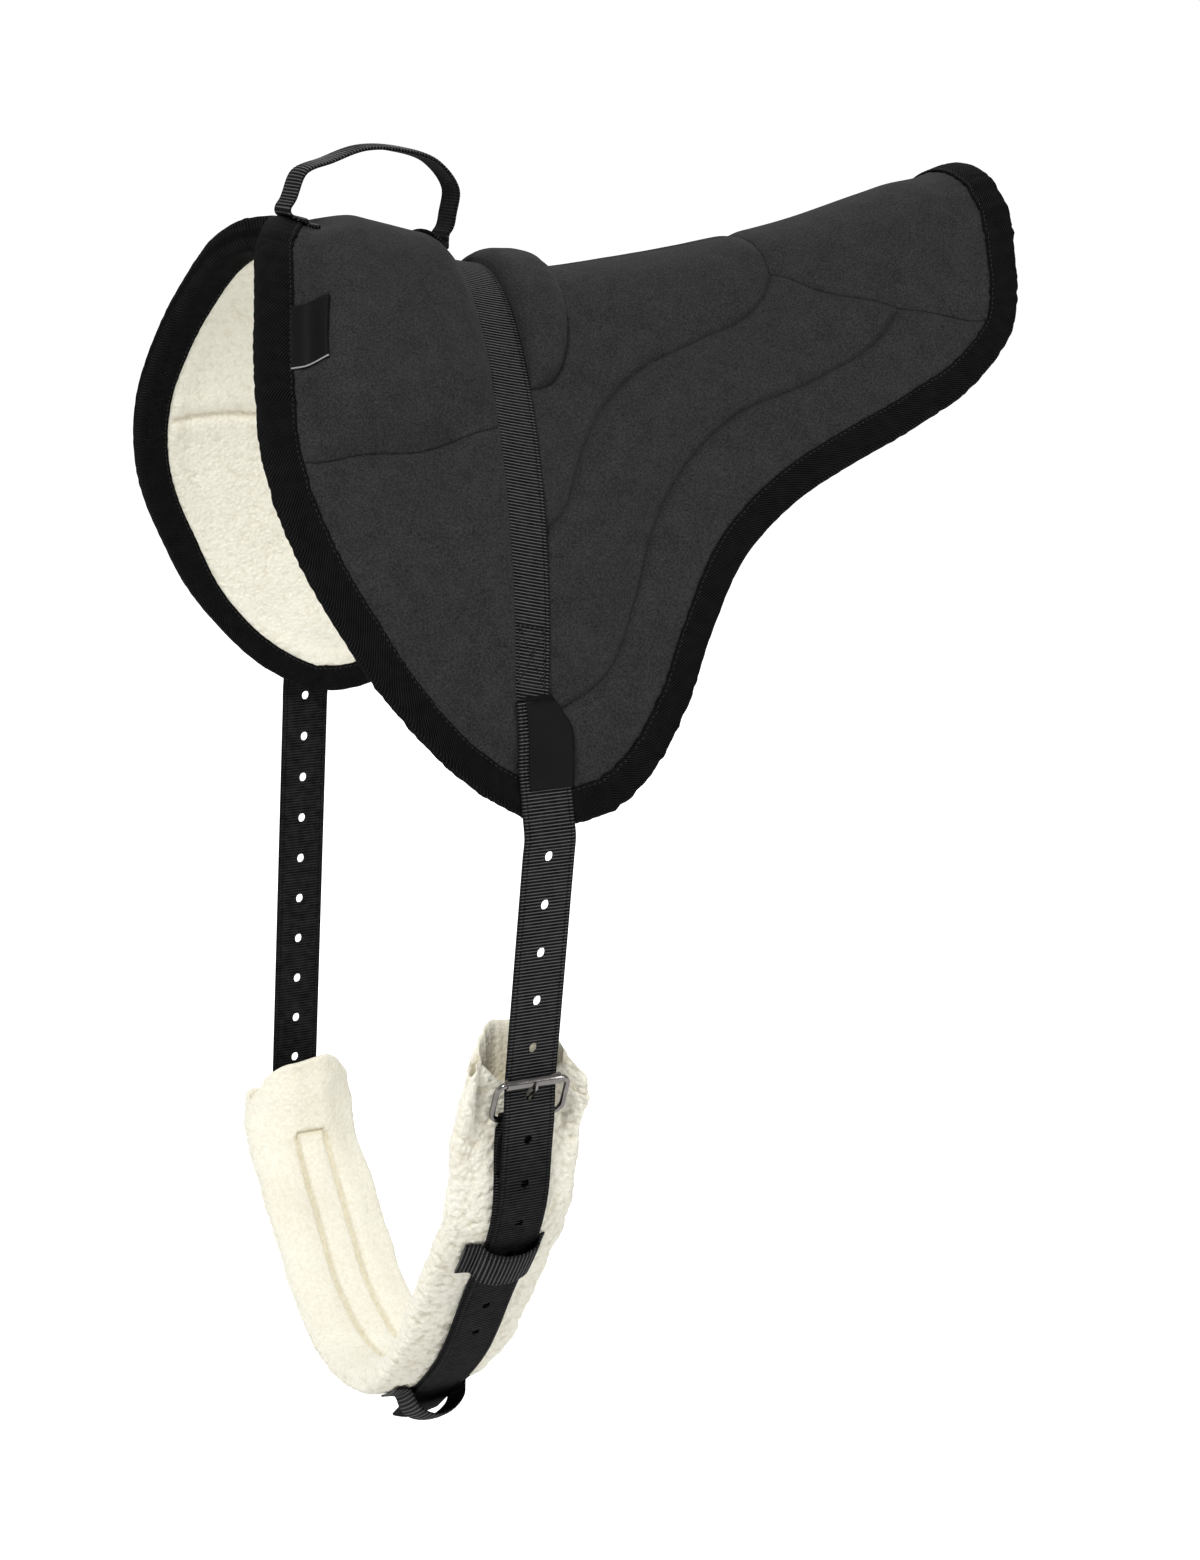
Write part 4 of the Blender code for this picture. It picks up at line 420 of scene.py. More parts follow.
@dataclass(frozen=True)
class RibbedNylon:
    """Black webbing: ribs across it with painted highlights on their crests, and a stitched line along each edge."""

    valley: Triple = (0.0004, 0.0004, 0.0005)
    rib_highlight: Triple = (0.150, 0.150, 0.154)
    rib: float = 0.0023
    half: float = 0.019
    name: str = "ribbed_webbing"

    def material(self) -> Material:
        """Makes the material."""
        g = Graph(self.name)
        across, along, bold = g.lay()
        # rib is the ribs' bump and also the mask of their painted highlight colour.
        rib = along.wave(self.rib) ** 5.0 * bold
        thread = (across + along * 0.12).wave(0.0009)
        patch = g.noise(g.object_place(), 0.006, 3.0)
        line = 1.0 - (abs(abs(across) - (self.half - 0.0036)) * (1 / 0.0009)).math("MINIMUM", 1.0)
        dash = along.wave(0.0036) > 0.22
        seam = line * dash
        selvedge = (abs(across) - (self.half - 0.0016)) * (1 / 0.0008)
        edge = selvedge.math("MINIMUM", 1.0).math("MAXIMUM", 0.0)
        # tone paints a highlight on each rib crest, scaled by the lay's third value; patch is random tone, and the
        # edge and stitch dashes are darker.
        tone = (rib * (thread * 0.35 + 0.65) + (patch - 0.5) * 0.15 + 0.03) * (1.0 - edge * 0.5) * (1.0 - seam * 0.85)
        height = rib * 0.7 + thread * 0.12 - seam * 0.5
        return g.dress(
            Base_Color=g.colour(tone, self.valley, self.rib_highlight), Roughness=0.62,
            Normal=g.bump(height, 0.0004), Specular_IOR_Level=0.06,
        )


@dataclass(frozen=True)
class Satin:
    """Black woven label tape, left bare."""

    dark: Triple = (0.0015, 0.0015, 0.0016)
    light: Triple = (0.0075, 0.0075, 0.008)

    def material(self) -> Material:
        """Makes the material."""
        g = Graph("satin_label")
        across, along, _ = g.lay()
        weave = along.wave(0.0007) * 0.6 + across.wave(0.0009) * 0.4
        return g.dress(
            Base_Color=g.colour(weave, self.dark, self.light), Roughness=0.55,
            Normal=g.bump(weave, 0.00010), Specular_IOR_Level=0.1,
        )


@dataclass(frozen=True)
class Nickel:
    """Dark nickel plate on the buckles."""

    dark: Triple = (0.17, 0.16, 0.155)
    light: Triple = (0.36, 0.34, 0.33)

    def material(self) -> Material:
        """Makes the material."""
        g = Graph("dark_nickel")
        place = g.object_place()
        patch = g.noise(place, 0.009, 3.0)
        wear = g.noise(place, 0.0012, 2.0)
        return g.dress(
            Base_Color=g.colour(patch, self.dark, self.light), Metallic=1.0,
            Roughness=patch * 0.08 + wear * 0.06 + 0.10, Normal=g.bump(wear, 0.00003),
        )


@dataclass(frozen=True)
class Thread:
    """Sewing thread."""

    colour: Triple
    name: str

    def material(self) -> Material:
        """Makes the material."""
        g = Graph(self.name)
        twist = g.noise(g.object_place(), 0.0006, 2.0)
        low = tuple(c * 0.55 for c in self.colour)
        return g.dress(
            Base_Color=g.colour(twist, low, self.colour), Roughness=0.6, Normal=g.bump(twist, 0.0001),
        )


@dataclass(frozen=True)
class Felt:
    """Grey felt inside the pad."""

    def material(self) -> Material:
        """Makes the material."""
        g = Graph("grey_felt")
        fibre = g.noise(g.object_place(), 0.002, 3.0, 0.8)
        return g.dress(
            Base_Color=g.colour(fibre, (0.02, 0.02, 0.02), (0.06, 0.06, 0.06)), Roughness=0.97,
            Normal=g.bump(fibre, 0.0004),
        )


def made_once(finish: object) -> Material:
    """Field that holds the finish's material."""
    return field(default_factory=finish.material)


@dataclass(frozen=True)
class Wardrobe:
    """Every finish, made once."""

    suede: Material = made_once(Suede())
    twill: Material = made_once(Twill())
    fleece: Material = made_once(Fleece())
    webbing: Material = made_once(RibbedNylon())
    band: Material = made_once(RibbedNylon(half=0.0162, rib=0.0030, name="ribbed_keeper"))
    satin: Material = made_once(Satin())
    nickel: Material = made_once(Nickel())
    thread: Material = made_once(Thread((0.006,) * 3, "black_thread"))
    pale: Material = made_once(Thread((0.42, 0.42, 0.41), "pale_thread"))
    felt: Material = made_once(Felt())


# Meshes


def grid_faces(rows: int, columns: int, wrap_rows: bool = False, wrap_columns: bool = False) -> Array:
    """Faces of a grid of points numbered row by row."""
    i = np.arange(rows if wrap_rows else rows - 1)[:, None]
    j = np.arange(columns if wrap_columns else columns - 1)[None, :]
    i2, j2 = (i + 1) % rows, (j + 1) % columns
    corners = (i * columns + j, i * columns + j2, i2 * columns + j2, i2 * columns + j)
    return np.stack([np.broadcast_to(c, (i.size, j.size)) for c in corners], axis=-1).reshape(-1, 4)


def make_object(
    name: str, points: Array, faces: Sequence, finish: Material, lay: Array | None = None,
    crease: float | None = None,
) -> Object:
    """Adds a smooth-shaded mesh to the scene.

    Args:
        name: the piece's name.
        points: its points in the row frame.
        faces: the faces, as point numbers.
        finish: its material.
        lay: places across and along the cloth, and a third value, for each point or for half of them: the ribs'
            boldness and painted highlight on webbing, the painted shade on fleece.
        crease: angle above which edges stay sharp, in radians.

    Returns:
        The new object.
    """
    mesh = bpy.data.meshes.new(name)
    mesh.from_pydata(np.asarray(points, float).reshape(-1, 3).tolist(), [], [tuple(f) for f in faces])
    mesh.update()
    if lay is not None:
        values = np.ones((len(mesh.vertices), 3), np.float32)
        values[:, : lay.shape[1]] = np.tile(lay, (len(values) // len(lay), 1))
        mesh.attributes.new(LAY, "FLOAT_VECTOR", "POINT").data.foreach_set("vector", values.ravel())
    mesh.materials.append(finish)
    mesh.shade_smooth()
    if crease is not None:
        mesh.set_sharp_from_angle(angle=crease)
    obj = bpy.data.objects.new(name, mesh)
    bpy.context.scene.collection.objects.link(obj)
    LOG.info("%s: %d points", name, len(mesh.vertices))
    return obj


def declare(obj: Object, body: str, slot: str, *nodes: str) -> None:
    """Says which body a piece rides on, and hides the frame's pieces that it stands for, if any."""
    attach(obj, body)
    if nodes:
        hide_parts(*nodes)


def shell(top: Array, bottom: Array, faces: Sequence) -> Mesh:
    """Closed solid between two copies of an open surface.

    Args:
        top: points of the outer surface.
        bottom: points of the inner one, in the same order.
        faces: faces of either.

    Returns:
        All points, and all faces, looking outwards.
    """
    faces = [tuple(int(k) for k in f) for f in faces]
    a, b, c = (top[[f[k] for f in faces]] for k in range(3))
    toward = np.cross(b - a, c - a) * (top - bottom)[[f[0] for f in faces]]
    if toward.sum() < 0:
        faces = [f[::-1] for f in faces]
    count = len(top)
    edges = {(f[k], f[(k + 1) % len(f)]) for f in faces for k in range(len(f))}
    solid = faces + [tuple(k + count for k in f[::-1]) for f in faces]
    solid += [(q, p, p + count, q + count) for p, q in edges if (q, p) not in edges]
    points = np.concatenate([top, bottom])
    used = sorted({k for f in solid for k in f})
    number = {k: n for n, k in enumerate(used)}
    return points[used], [tuple(number[k] for k in f) for f in solid]


def inside_of(p: Array, border: Array) -> Array:
    """Which flat points lie inside a closed border."""
    x, t = p[:, 0][:, None], p[:, 1][:, None]
    a, b = border, np.roll(border, -1, axis=0)
    cuts = (a[:, 1] > t) != (b[:, 1] > t)
    rise = np.where(b[:, 1] == a[:, 1], 1e-12, b[:, 1] - a[:, 1])
    across = x < (b[:, 0] - a[:, 0]) * (t - a[:, 1]) / rise + a[:, 0]
    return (cuts & across).sum(axis=1) % 2 == 1


def resampled(line: Array, step: float) -> Array:
    """The polyline with points about a step apart."""
    at = lengths(line)
    return read_at(line, at, np.linspace(0, at[-1], max(2, int(round(at[-1] / step)) + 1)))


def patch_mesh(border: Array, step: float, rails: Sequence[Array] = ()) -> Mesh:
    """Triangles over a flat cloth panel, with rows of points along its border and its sewn lines.

    Args:
        border: the closed outline, without a repeated end.
        step: size of the triangles.
        rails: lines inside the panel that get rows of points along them.

    Returns:
        Flat points and faces.
    """
    closed = resampled(np.concatenate([border, border[:1]]), step)[:-1]
    ring = np.concatenate([closed, closed[:1]])
    across = left_of(directions(ring)[:-1])
    rows = []
    for depth in (0.0008, 0.0020, 0.0038):
        for way in (1, -1):
            moved = closed + across * depth * way
            rows.append(moved[inside_of(moved, closed) & (gap_to(moved, ring) > 0.9 * depth)])
    for rail in rails:
        line = resampled(rail, step * 0.9)
        side = left_of(directions(line))
        rows += [line + side * depth for depth in (0.0, 0.0009, -0.0009, 0.0022, -0.0022, 0.0042, -0.0042)]
    low, high = closed.min(0), closed.max(0)
    x, t = np.arange(low[0], high[0], step), np.arange(low[1], high[1], step * 0.866)
    grid = np.stack(np.meshgrid(x, t), axis=-1)
    grid[1::2, :, 0] += step / 2
    grid = grid.reshape(-1, 2)
    far = gap_to(grid, ring) > 0.0038 + 0.6 * step
    for rail in rails:
        far &= gap_to(grid, rail) > 0.0042 + 0.5 * step
    inner = [grid[far & inside_of(grid, closed)]]
    inner += [row[inside_of(row, closed) & (gap_to(row, ring) > 0.0006)] for row in rows]
    points = np.concatenate([closed, *inner])
    made = delaunay_2d_cdt([Vector(p) for p in points], [], [list(range(len(closed)))], 1, 1e-7, False)
    flat, faces = np.array([tuple(v) for v in made[0]]), np.array([tuple(f) for f in made[2]])
    return flat, faces[inside_of(flat[faces].mean(axis=1), closed)].tolist()


def circle(normal: Array, other: Array, sides: int) -> Array:
    """Points of a unit circle in the plane of two directions."""
    turn = np.arange(sides) * 2 * math.pi / sides
    return np.cos(turn)[:, None] * normal + np.sin(turn)[:, None] * other


def tube(path: Array, radii: Array | float, sides: int = 10, closed: bool = False) -> Mesh:
    """Round bar along a path.

    Args:
        path: its middle line.
        radii: radius at each point, or one for all.
        sides: points round it.
        closed: joins the end to the start.

    Returns:
        Points and faces.
    """
    radii = np.broadcast_to(radii, len(path))
    loop = np.concatenate([path[-1:], path, path[:1]]) if closed else path
    d = directions(loop)[1:-1] if closed else directions(loop)
    normal = np.cross(d[0], (1.0, 0.0, 0.0))
    if np.linalg.norm(normal) < 0.1:
        normal = np.cross(d[0], (0.0, 1.0, 0.0))
    rings = []
    for point, way, radius in zip(path, d, radii):
        normal = unit(normal - way * (normal @ way))
        rings.append(point + radius * circle(normal, np.cross(way, normal), sides))
    faces = [tuple(f) for f in grid_faces(len(path), sides, closed, True)]
    if not closed:
        faces += [tuple(range(sides))[::-1], tuple((len(path) - 1) * sides + k for k in range(sides))]
    return np.concatenate(rings), faces


def stitches(line: Array, out: Array, pitch: float, radius: float, share: float = 0.66) -> Mesh:
    """Row of stitches along a line on a surface.

    Args:
        line: the sewn line.
        out: outward directions along it.
        pitch: length from stitch to stitch.
        radius: half the thread's thickness.
        share: how much of the pitch a stitch shows.

    Returns:
        Points and faces of them all.
    """
    at = lengths(line)
    points, faces, sides = [], [], 6
    rise = radius * np.array((-0.9, 0.35, 0.7, 0.35, -0.9))
    for k in range(int(at[-1] / pitch)):
        s = (k + np.linspace(0.5 - share / 2, 0.5 + share / 2, 5)) * pitch
        up = read_at(out, at, s)
        middle = read_at(line, at, s) + up * rise[:, None]
        way = unit(middle[-1] - middle[0])
        normal = unit(up[2] - way * (up[2] @ way))
        ring = circle(normal, np.cross(way, normal), sides)
        points += [point + radius * size * ring for point, size in zip(middle, (0.55, 0.95, 1.0, 0.95, 0.55))]
        start = 5 * sides * k
        faces += [tuple(f) for f in grid_faces(5, sides, False, True) + start]
        faces += [tuple(range(start, start + sides))[::-1], tuple(range(start + 4 * sides, start + 5 * sides))]
    return np.concatenate(points), faces


def sew(name: str, runs: Sequence[Mesh], thread: Material, slot: str) -> None:
    """Adds several rows of stitches as one piece of the pad."""
    points, faces, count = [], [], 0
    for p, f in runs:
        points.append(p)
        faces += [tuple(k + count for k in face) for face in f]
        count += len(p)
    declare(make_object(name, np.concatenate(points), faces, thread), "pad", slot)


# The pad's plan


@dataclass
class BackSurface:
    """Curve of the back that the pad lies on."""

    crown_turn: float = math.radians(44.5)
    crown_reach: float = 0.062
    flank_turn: float = math.radians(34.0)
    flank_length: float = 0.450
    spine_x: tuple[float, ...] = (-0.10988, -0.04018, 0.05954, 0.17862, 0.29999, 0.44884)
    spine_z: tuple[float, ...] = (0.03922, 0.02109, 0.001036, 0.00999, 0.03108, 0.074)
    pad_half: float = 0.010

    def __post_init__(self) -> None:
        """Adds up the section's turns."""
        self.t = np.linspace(0, 0.72, 1600)
        self.turn = self.crown_turn * np.tanh(self.t / self.crown_reach)
        self.turn += self.flank_turn * self.t / self.flank_length
        step = np.diff(self.t)
        self.y, down = (
            np.concatenate([[0], np.cumsum((f[1:] + f[:-1]) / 2 * step)])
            for f in (np.cos(self.turn), np.sin(self.turn))
        )
        self.z = -down
        self.keys_x, self.keys_z = np.array(self.spine_x), np.array(self.spine_z)
        self.slopes = np.gradient(self.keys_z, self.keys_x)
        self.slopes[0] = 0
        self.crown = self.pad_half - float(self.spine(np.array(0.0)))

    def spine(self, x: Array) -> Array:
        """Height of the back's ridge."""
        keys = self.keys_x
        return smooth(self.keys_z, self.slopes, keys, np.clip(x, keys[0], keys[-1]))

    def normal(self, p: Array) -> Array:
        """Outward direction at flat points."""
        x, t = p[..., 0], p[..., 1]
        turn = np.interp(np.abs(t), self.t, self.turn)
        slope = (self.spine(x + PROBE) - self.spine(x - PROBE)) / (2 * PROBE)
        return unit(pack(-slope * np.cos(turn), np.sign(t) * np.sin(turn), np.cos(turn)))

    def place(self, p: Array, height: Array | float) -> Array:
        """World points of flat points at a height above the pad's middle."""
        p = np.asarray(p, float)
        x, t = p[..., 0], p[..., 1]
        drop = np.abs(t)
        y = np.sign(t) * np.interp(drop, self.t, self.y)
        z = self.crown + self.spine(x) + np.interp(drop, self.t, self.z)
        return pack(x, y, z) + self.normal(p) * np.asarray(height)[..., None]


def folded(p: Array) -> Array:
    """Flat points with both sides laid on one."""
    return pack(p[..., 0], np.abs(p[..., 1]))


@dataclass
class PadPlan:
    """Flat outlines of the pad, and the heights of its faces over its middle surface."""

    back: BackSurface = field(default_factory=BackSurface)
    front_reach: float = 0.164
    rear_reach: float = 0.458
    flap_drop: float = 0.437
    hem_half: float = 0.006
    binding_width: float = 0.024
    webbing_width: float = 0.038
    webbing_thickness: float = 0.002
    webbing_gap: float = 0.0008
    cover: float = 0.0015
    fleece: float = 0.0048
    channel_depth: float = 0.0055
    channel_reach: float = 0.034
    pommel_extra: float = 0.0165
    lap_reach: float = 0.016
    seam_reach: float = 0.012
    margin: float = 0.003

    FRONT_HEM = (
        (-0.67, 0), (-0.79, 0.085), (-0.88, 0.20), (-0.955, 0.32), (-1.0, 0.46), (-0.955, 0.60),
        (-0.80, 0.745), (-0.60, 0.872), (-0.34, 0.953), (-0.10, 0.992), (0, 1),
    )
    REAR_HEM = (
        (0, 1), (0.055, 0.99), (0.12, 0.963), (0.18, 0.915), (0.253, 0.817), (0.31, 0.714), (0.39, 0.605),
        (0.49, 0.538), (0.605, 0.499), (0.72, 0.474), (0.836, 0.442), (0.92, 0.384), (0.972, 0.25),
        (0.998, 0.12), (1, 0),
    )
    UPPER_CHANNEL = (
        (0.562, 0.13), (0.541, 0.165), (0.496, 0.20), (0.395, 0.229), (0.273, 0.27), (0.21, 0.32),
        (0.15, 0.405), (0.10, 0.50), (0.057, 0.54),
    )
    LOWER_CHANNEL = (
        (0.747, 0.268), (0.70, 0.305), (0.57, 0.345), (0.42, 0.375), (0.31, 0.45), (0.25, 0.524),
        (0.194, 0.64), (0.13, 0.753), (0.033, 0.824),
    )
    LOIN_FRONT = ((0.568, 0), (0.567, 0.06), (0.562, 0.13))
    LOIN_LOWER = ((0.562, 0.13), (0.618, 0.188), (0.71, 0.243), (0.80, 0.302), (0.87, 0.342), (0.94, 0.37))
    POMMEL_SEAM = ((-1.0, 0.485), (-0.69, 0.482), (-0.40, 0.455), (-0.11, 0.403), (0.03, 0.373))

    def __post_init__(self) -> None:
        """Draws the outlines."""
        self.front_hem = self.line(self.FRONT_HEM)
        self.hem = np.concatenate([self.front_hem, self.line(self.REAR_HEM, 133)[1:]])
        self.upper_channel, self.lower_channel = self.line(self.UPPER_CHANNEL), self.line(self.LOWER_CHANNEL)
        self.loin_front, self.loin_lower = self.line(self.LOIN_FRONT), self.line(self.LOIN_LOWER)
        self.loin_seam = np.concatenate([self.loin_front, self.loin_lower[1:]])
        self.pommel_seam = self.line(self.POMMEL_SEAM)

    def line(self, shares: Pairs, count: int = 100) -> Array:
        """Smooth flat line through points given as shares of the pad's reach and drop."""
        keys = [(x * (self.front_reach if x < 0 else self.rear_reach), t * self.flap_drop) for x, t in shares]
        return through(keys, count)

    def inset(self, depth: float) -> Array:
        """The hem moved in by a depth, its ends kept on the spine."""
        moved = self.hem - depth * left_of(directions(self.hem))
        moved[0] = (self.hem[0, 0] + depth, 0)
        moved[-1] = (self.hem[-1, 0] - depth, 0)
        return moved[moved[:, 1] >= 0]

    def half_grid(self, step: float, ridge: float, depth: float) -> Mesh:
        """Square grid over one side of the pad.

        Args:
            step: size of its squares.
            ridge: how far from the spine it begins.
            depth: how far inside the hem its faces end.

        Returns:
            Flat points and faces.
        """
        x = np.arange(-self.front_reach, self.rear_reach, step)
        t = np.concatenate([[ridge], np.arange(step, self.flap_drop, step)])
        flat = np.stack(np.meshgrid(x, t, indexing="ij"), axis=-1).reshape(-1, 2)
        spine = [[self.rear_reach, -0.01], [-self.front_reach, -0.01]]
        keep = inside_of(flat, np.concatenate([self.inset(depth), spine]))
        return flat, [f for f in grid_faces(len(x), len(t)) if keep[f].all()]

    def webbing_middle(self, t: Array) -> Array:
        """Middle line of the webbing over the back."""
        return 0.029 - 0.041 * np.clip(np.abs(t) / 0.350, 0, 1) ** 1.5

    def webbing_front(self, t: Array) -> Array:
        """Front edge of the webbing."""
        return self.webbing_middle(t) - self.webbing_width / 2

    def lap_edge(self, t: Array) -> Array:
        """Rear edge of the front panels, lapped over the webbing's edge."""
        return self.webbing_front(t) + 0.008 * (0.6 + np.clip(np.abs(t) / 0.350, 0, 1))

    def lap_line(self, count: int) -> Array:
        """That edge from the spine down, as flat points."""
        t = np.linspace(0, self.flap_drop, count)
        return pack(self.lap_edge(t), t)

    def edge_half(self, p: Array) -> Array:
        """Half thickness at the hem, a little fuller at the pommel."""
        q = folded(p)
        return self.hem_half + 0.003 * ease(1 - q[..., 1] / self.pommel_seam[0, 1]) * (q[..., 0] < 0)

    def within(self, q: Array, reach: float) -> Array:
        """0 beside the binding, and 1 from this reach inwards."""
        return ease((gap_to(q, self.hem) - self.binding_width - self.margin) / reach)

    def channel_gap(self, q: Array) -> Array:
        """Distance to the nearest sewn channel."""
        return np.minimum(gap_to(q, self.upper_channel), gap_to(q, self.lower_channel))

    def base(self, p: Array) -> Array:
        """Half thickness of the pad."""
        edge = self.edge_half(p)
        return edge + (self.back.pad_half - edge) * self.within(folded(p), 0.038)

    def channels(self, p: Array) -> Array:
        """How far the sewn channels pull the cover in, from 0 to 1."""
        q = folded(p)
        past = ease((q[..., 0] - self.webbing_front(q[..., 1])) / self.webbing_width)
        return past * (1 - ease(self.channel_gap(q) / self.channel_reach) ** 0.6)

    def top(self, p: Array) -> Array:
        """Outer face of the cover where nothing extra lies under it."""
        q = folded(p)
        ahead = ease((self.webbing_front(q[..., 1]) - 0.024 - q[..., 0]) / self.lap_reach + 0.5)
        loin = 1 - ease(gap_to(q, self.loin_seam) / self.seam_reach)
        pommel = (1 - ease(gap_to(q, self.pommel_seam) / self.seam_reach)) * ahead
        pull = np.maximum(self.channel_depth * self.channels(p), 0.002 * np.maximum(loin, pommel))
        return self.base(p) - pull * self.within(q, self.seam_reach)

    def under(self, p: Array) -> Array:
        """Face that lies on the horse."""
        return 0.0015 * self.channels(p) - self.base(p)

    def front_top(self, p: Array) -> Array:
        """Outer face of the front panels, lapped over the webbing's edge, and of the pommel cushion."""
        q = folded(p)
        x, t = q[..., 0], q[..., 1]
        rise = 2 * self.webbing_gap + self.webbing_thickness + self.cover
        lap = rise * ease((x - (self.webbing_front(t) - 0.024)) / self.lap_reach)
        seam = self.pommel_seam
        above = ease(gap_to(q, seam) / 0.042) ** 0.75 * (np.interp(x, seam[:, 0], seam[:, 1]) > t)
        back = ease((gap_to(q, self.front_hem) - self.binding_width) / 0.034)
        strap = ease((self.webbing_front(t) + 0.016 - x) / 0.026)
        pommel = self.pommel_extra * above * back * (0.25 + 0.75 * strap)
        return self.top(p) + np.maximum(lap, pommel) * self.within(q, self.lap_reach)


# The pad


@dataclass
class PadCover:
    """Suede-like cover of the pad, sewn from panels, with its felt inside."""

    plan: PadPlan
    wardrobe: Wardrobe
    step: float = 0.0034
    hidden: float = 0.016
    cloth: float = 0.0015
    roll: float = 0.0032
    roll_drop: float = 0.0019

    def rolled(self, p: Array, seams: Sequence[Array]) -> Array:
        """How far a panel's edge turns down into its seams."""
        gap = np.min([gap_to(folded(p), seam) for seam in seams], axis=0)
        share = np.clip(1 - gap / self.roll, 0, 1)
        return self.roll_drop * (1 - np.sqrt(1 - share**2 * 0.98))

    def life(self, p: Array) -> Array:
        """Slight unevenness of the cloth, and puckers beside the binding and the seams."""
        q = folded(p)
        soft = 0.0005 * ripple(p, 0.055, 4.0) + 0.00022 * ripple(p, 0.021, 9.0)
        gap, along = nearest(q, self.plan.hem)
        beside = np.exp(-np.maximum(gap - self.plan.binding_width, 0) / 0.007)
        fold = bell(gap - self.plan.binding_width - 0.0024, 0.0016)
        wave = np.sin(along * 2 * math.pi / 0.0105 + 2.5 * ripple(p, 0.05, 2.0))
        seam_gap, seam_along = nearest(q, self.plan.pommel_seam)
        seam_wave = np.sin(seam_along * 2 * math.pi / 0.013 + 2.0 * ripple(p, 0.04, 7.0))
        return soft + 0.0004 * wave * beside + 0.0010 * fold + 0.0003 * seam_wave * np.exp(-seam_gap / 0.009)

    def build_panel(
        self, name: str, border: Array, height: Callable[[Array], Array], seams: Sequence[Array],
        rails: Sequence[Array], sides: Sequence[Side], nodes: Sequence[str],
    ) -> None:
        """Makes one panel on each of the given sides, or across both.

        Args:
            name: name of the panel.
            border: its flat outline, on one side or across both.
            height: height of its outer face.
            seams: lines at which its edge turns down.
            rails: sewn lines inside it.
            sides: sides to make it on, or none for a panel across both.
            nodes: the frame's names that it stands for, after the side's word.
        """
        flat, faces = patch_mesh(border, self.step, rails)
        top = height(flat) - self.rolled(flat, seams)
        corners = flat[np.array(faces)]
        for side in sides or (None,):
            p = flat * (1, side.value) if side else flat
            lifted = top + self.life(p)
            points, solid = shell(
                self.plan.back.place(p, lifted), self.plan.back.place(p, lifted - self.cloth), faces
            )
            label = f"{side.label}_{name}" if side else name
            obj = make_object(label, points, solid, self.wardrobe.suede, crease=math.radians(60))
            declare(obj, "pad", "cover_cloth", *[f"{side.node}_{n}" if side else n for n in nodes])
            rests = [f"{s.node}_felt_core" for s in Side if side in (None, s)]

    def seat_top(self, p: Array) -> Array:
        """Outer face of the rear panels, with the creases of the sewn channels."""
        gap = self.plan.channel_gap(folded(p))
        return self.plan.top(p) - 0.0020 * bell(gap, 0.0017) + 0.0005 * bell(gap - 0.0042, 0.0026)

    def build_stitches(self, lines: Sequence[Array]) -> None:
        """Makes the stitches at the bottom of the channels."""
        runs = []
        for side in Side:
            for line in lines:
                run = resampled(line, 0.0012)
                p = run[gap_to(run, self.plan.hem) > self.plan.binding_width] * (1, side.value)
                place = self.plan.back.place(p, self.seat_top(p) + 0.0003)
                runs.append(stitches(place, self.plan.back.normal(p), pitch=0.0040, radius=0.00036))
        sew("channel_stitches", runs, self.wardrobe.thread, "cover_cloth")

    def borders(self) -> dict[str, Array]:
        """Flat outlines of the panels on one side."""
        plan = self.plan
        edge = plan.inset(self.hidden)
        tip = int(np.argmax(edge[:, 1]))
        front, rear = edge[: tip + 1], edge[tip:]
        seam = plan.pommel_seam
        meets = int(np.argmax(front[:, 1] >= np.interp(front[:, 0], seam[:, 0], seam[:, 1])))
        lap = plan.lap_line(200)
        t = lap[:, 1]
        seam_in = seam[(seam[:, 0] > front[meets, 0]) & (seam[:, 0] < np.interp(seam[:, 1], t, lap[:, 0]))]
        seam_t = float(np.interp(plan.lap_edge(np.array(0.165)), seam[:, 0], seam[:, 1]))
        corner = np.array([[plan.lap_edge(np.array(seam_t)), seam_t]])
        joined = np.concatenate([front[meets : meets + 1], seam_in, corner])
        whole = np.concatenate([front[meets:], rear])
        low = whole[: int(np.argmax(whole[:, 0] > plan.lap_edge(whole[:, 1])))]
        below = lap[(t > seam_t + 0.002) & (t < low[-1, 1] - 0.001)][::-1]
        above = lap[(t < seam_t - 0.002) & (t > 0.001)][::-1]
        under = pack(plan.webbing_front(t) + 0.004, t)
        start = int(np.argmax(whole[:, 0] > plan.webbing_front(whole[:, 1]) + 0.004))
        loin = plan.loin_lower[gap_to(plan.loin_lower, plan.hem) > self.hidden + 0.001]
        ends = int(np.argmin(np.linalg.norm(whole - loin[-1], axis=1)))
        hem = whole[start:ends]
        rise = under[(t < hem[0, 1] - 0.002) & (t > 0.0012)][::-1]
        ridge = [[float(under[0, 0]), 0.0006], [plan.loin_front[0, 0], 0.0006]]
        return {
            "front": np.concatenate([joined[::-1], low[1:], below]),
            "pommel": np.concatenate([front[:meets], joined, above, [[plan.lap_edge(np.array(0.0)), 0.0]]]),
            "rear": np.concatenate([ridge, plan.loin_front[5:], loin[1:], hem[::-1], rise]),
            "loin": np.concatenate([plan.loin_front, loin[1:], whole[ends + 1 :]]),
        }

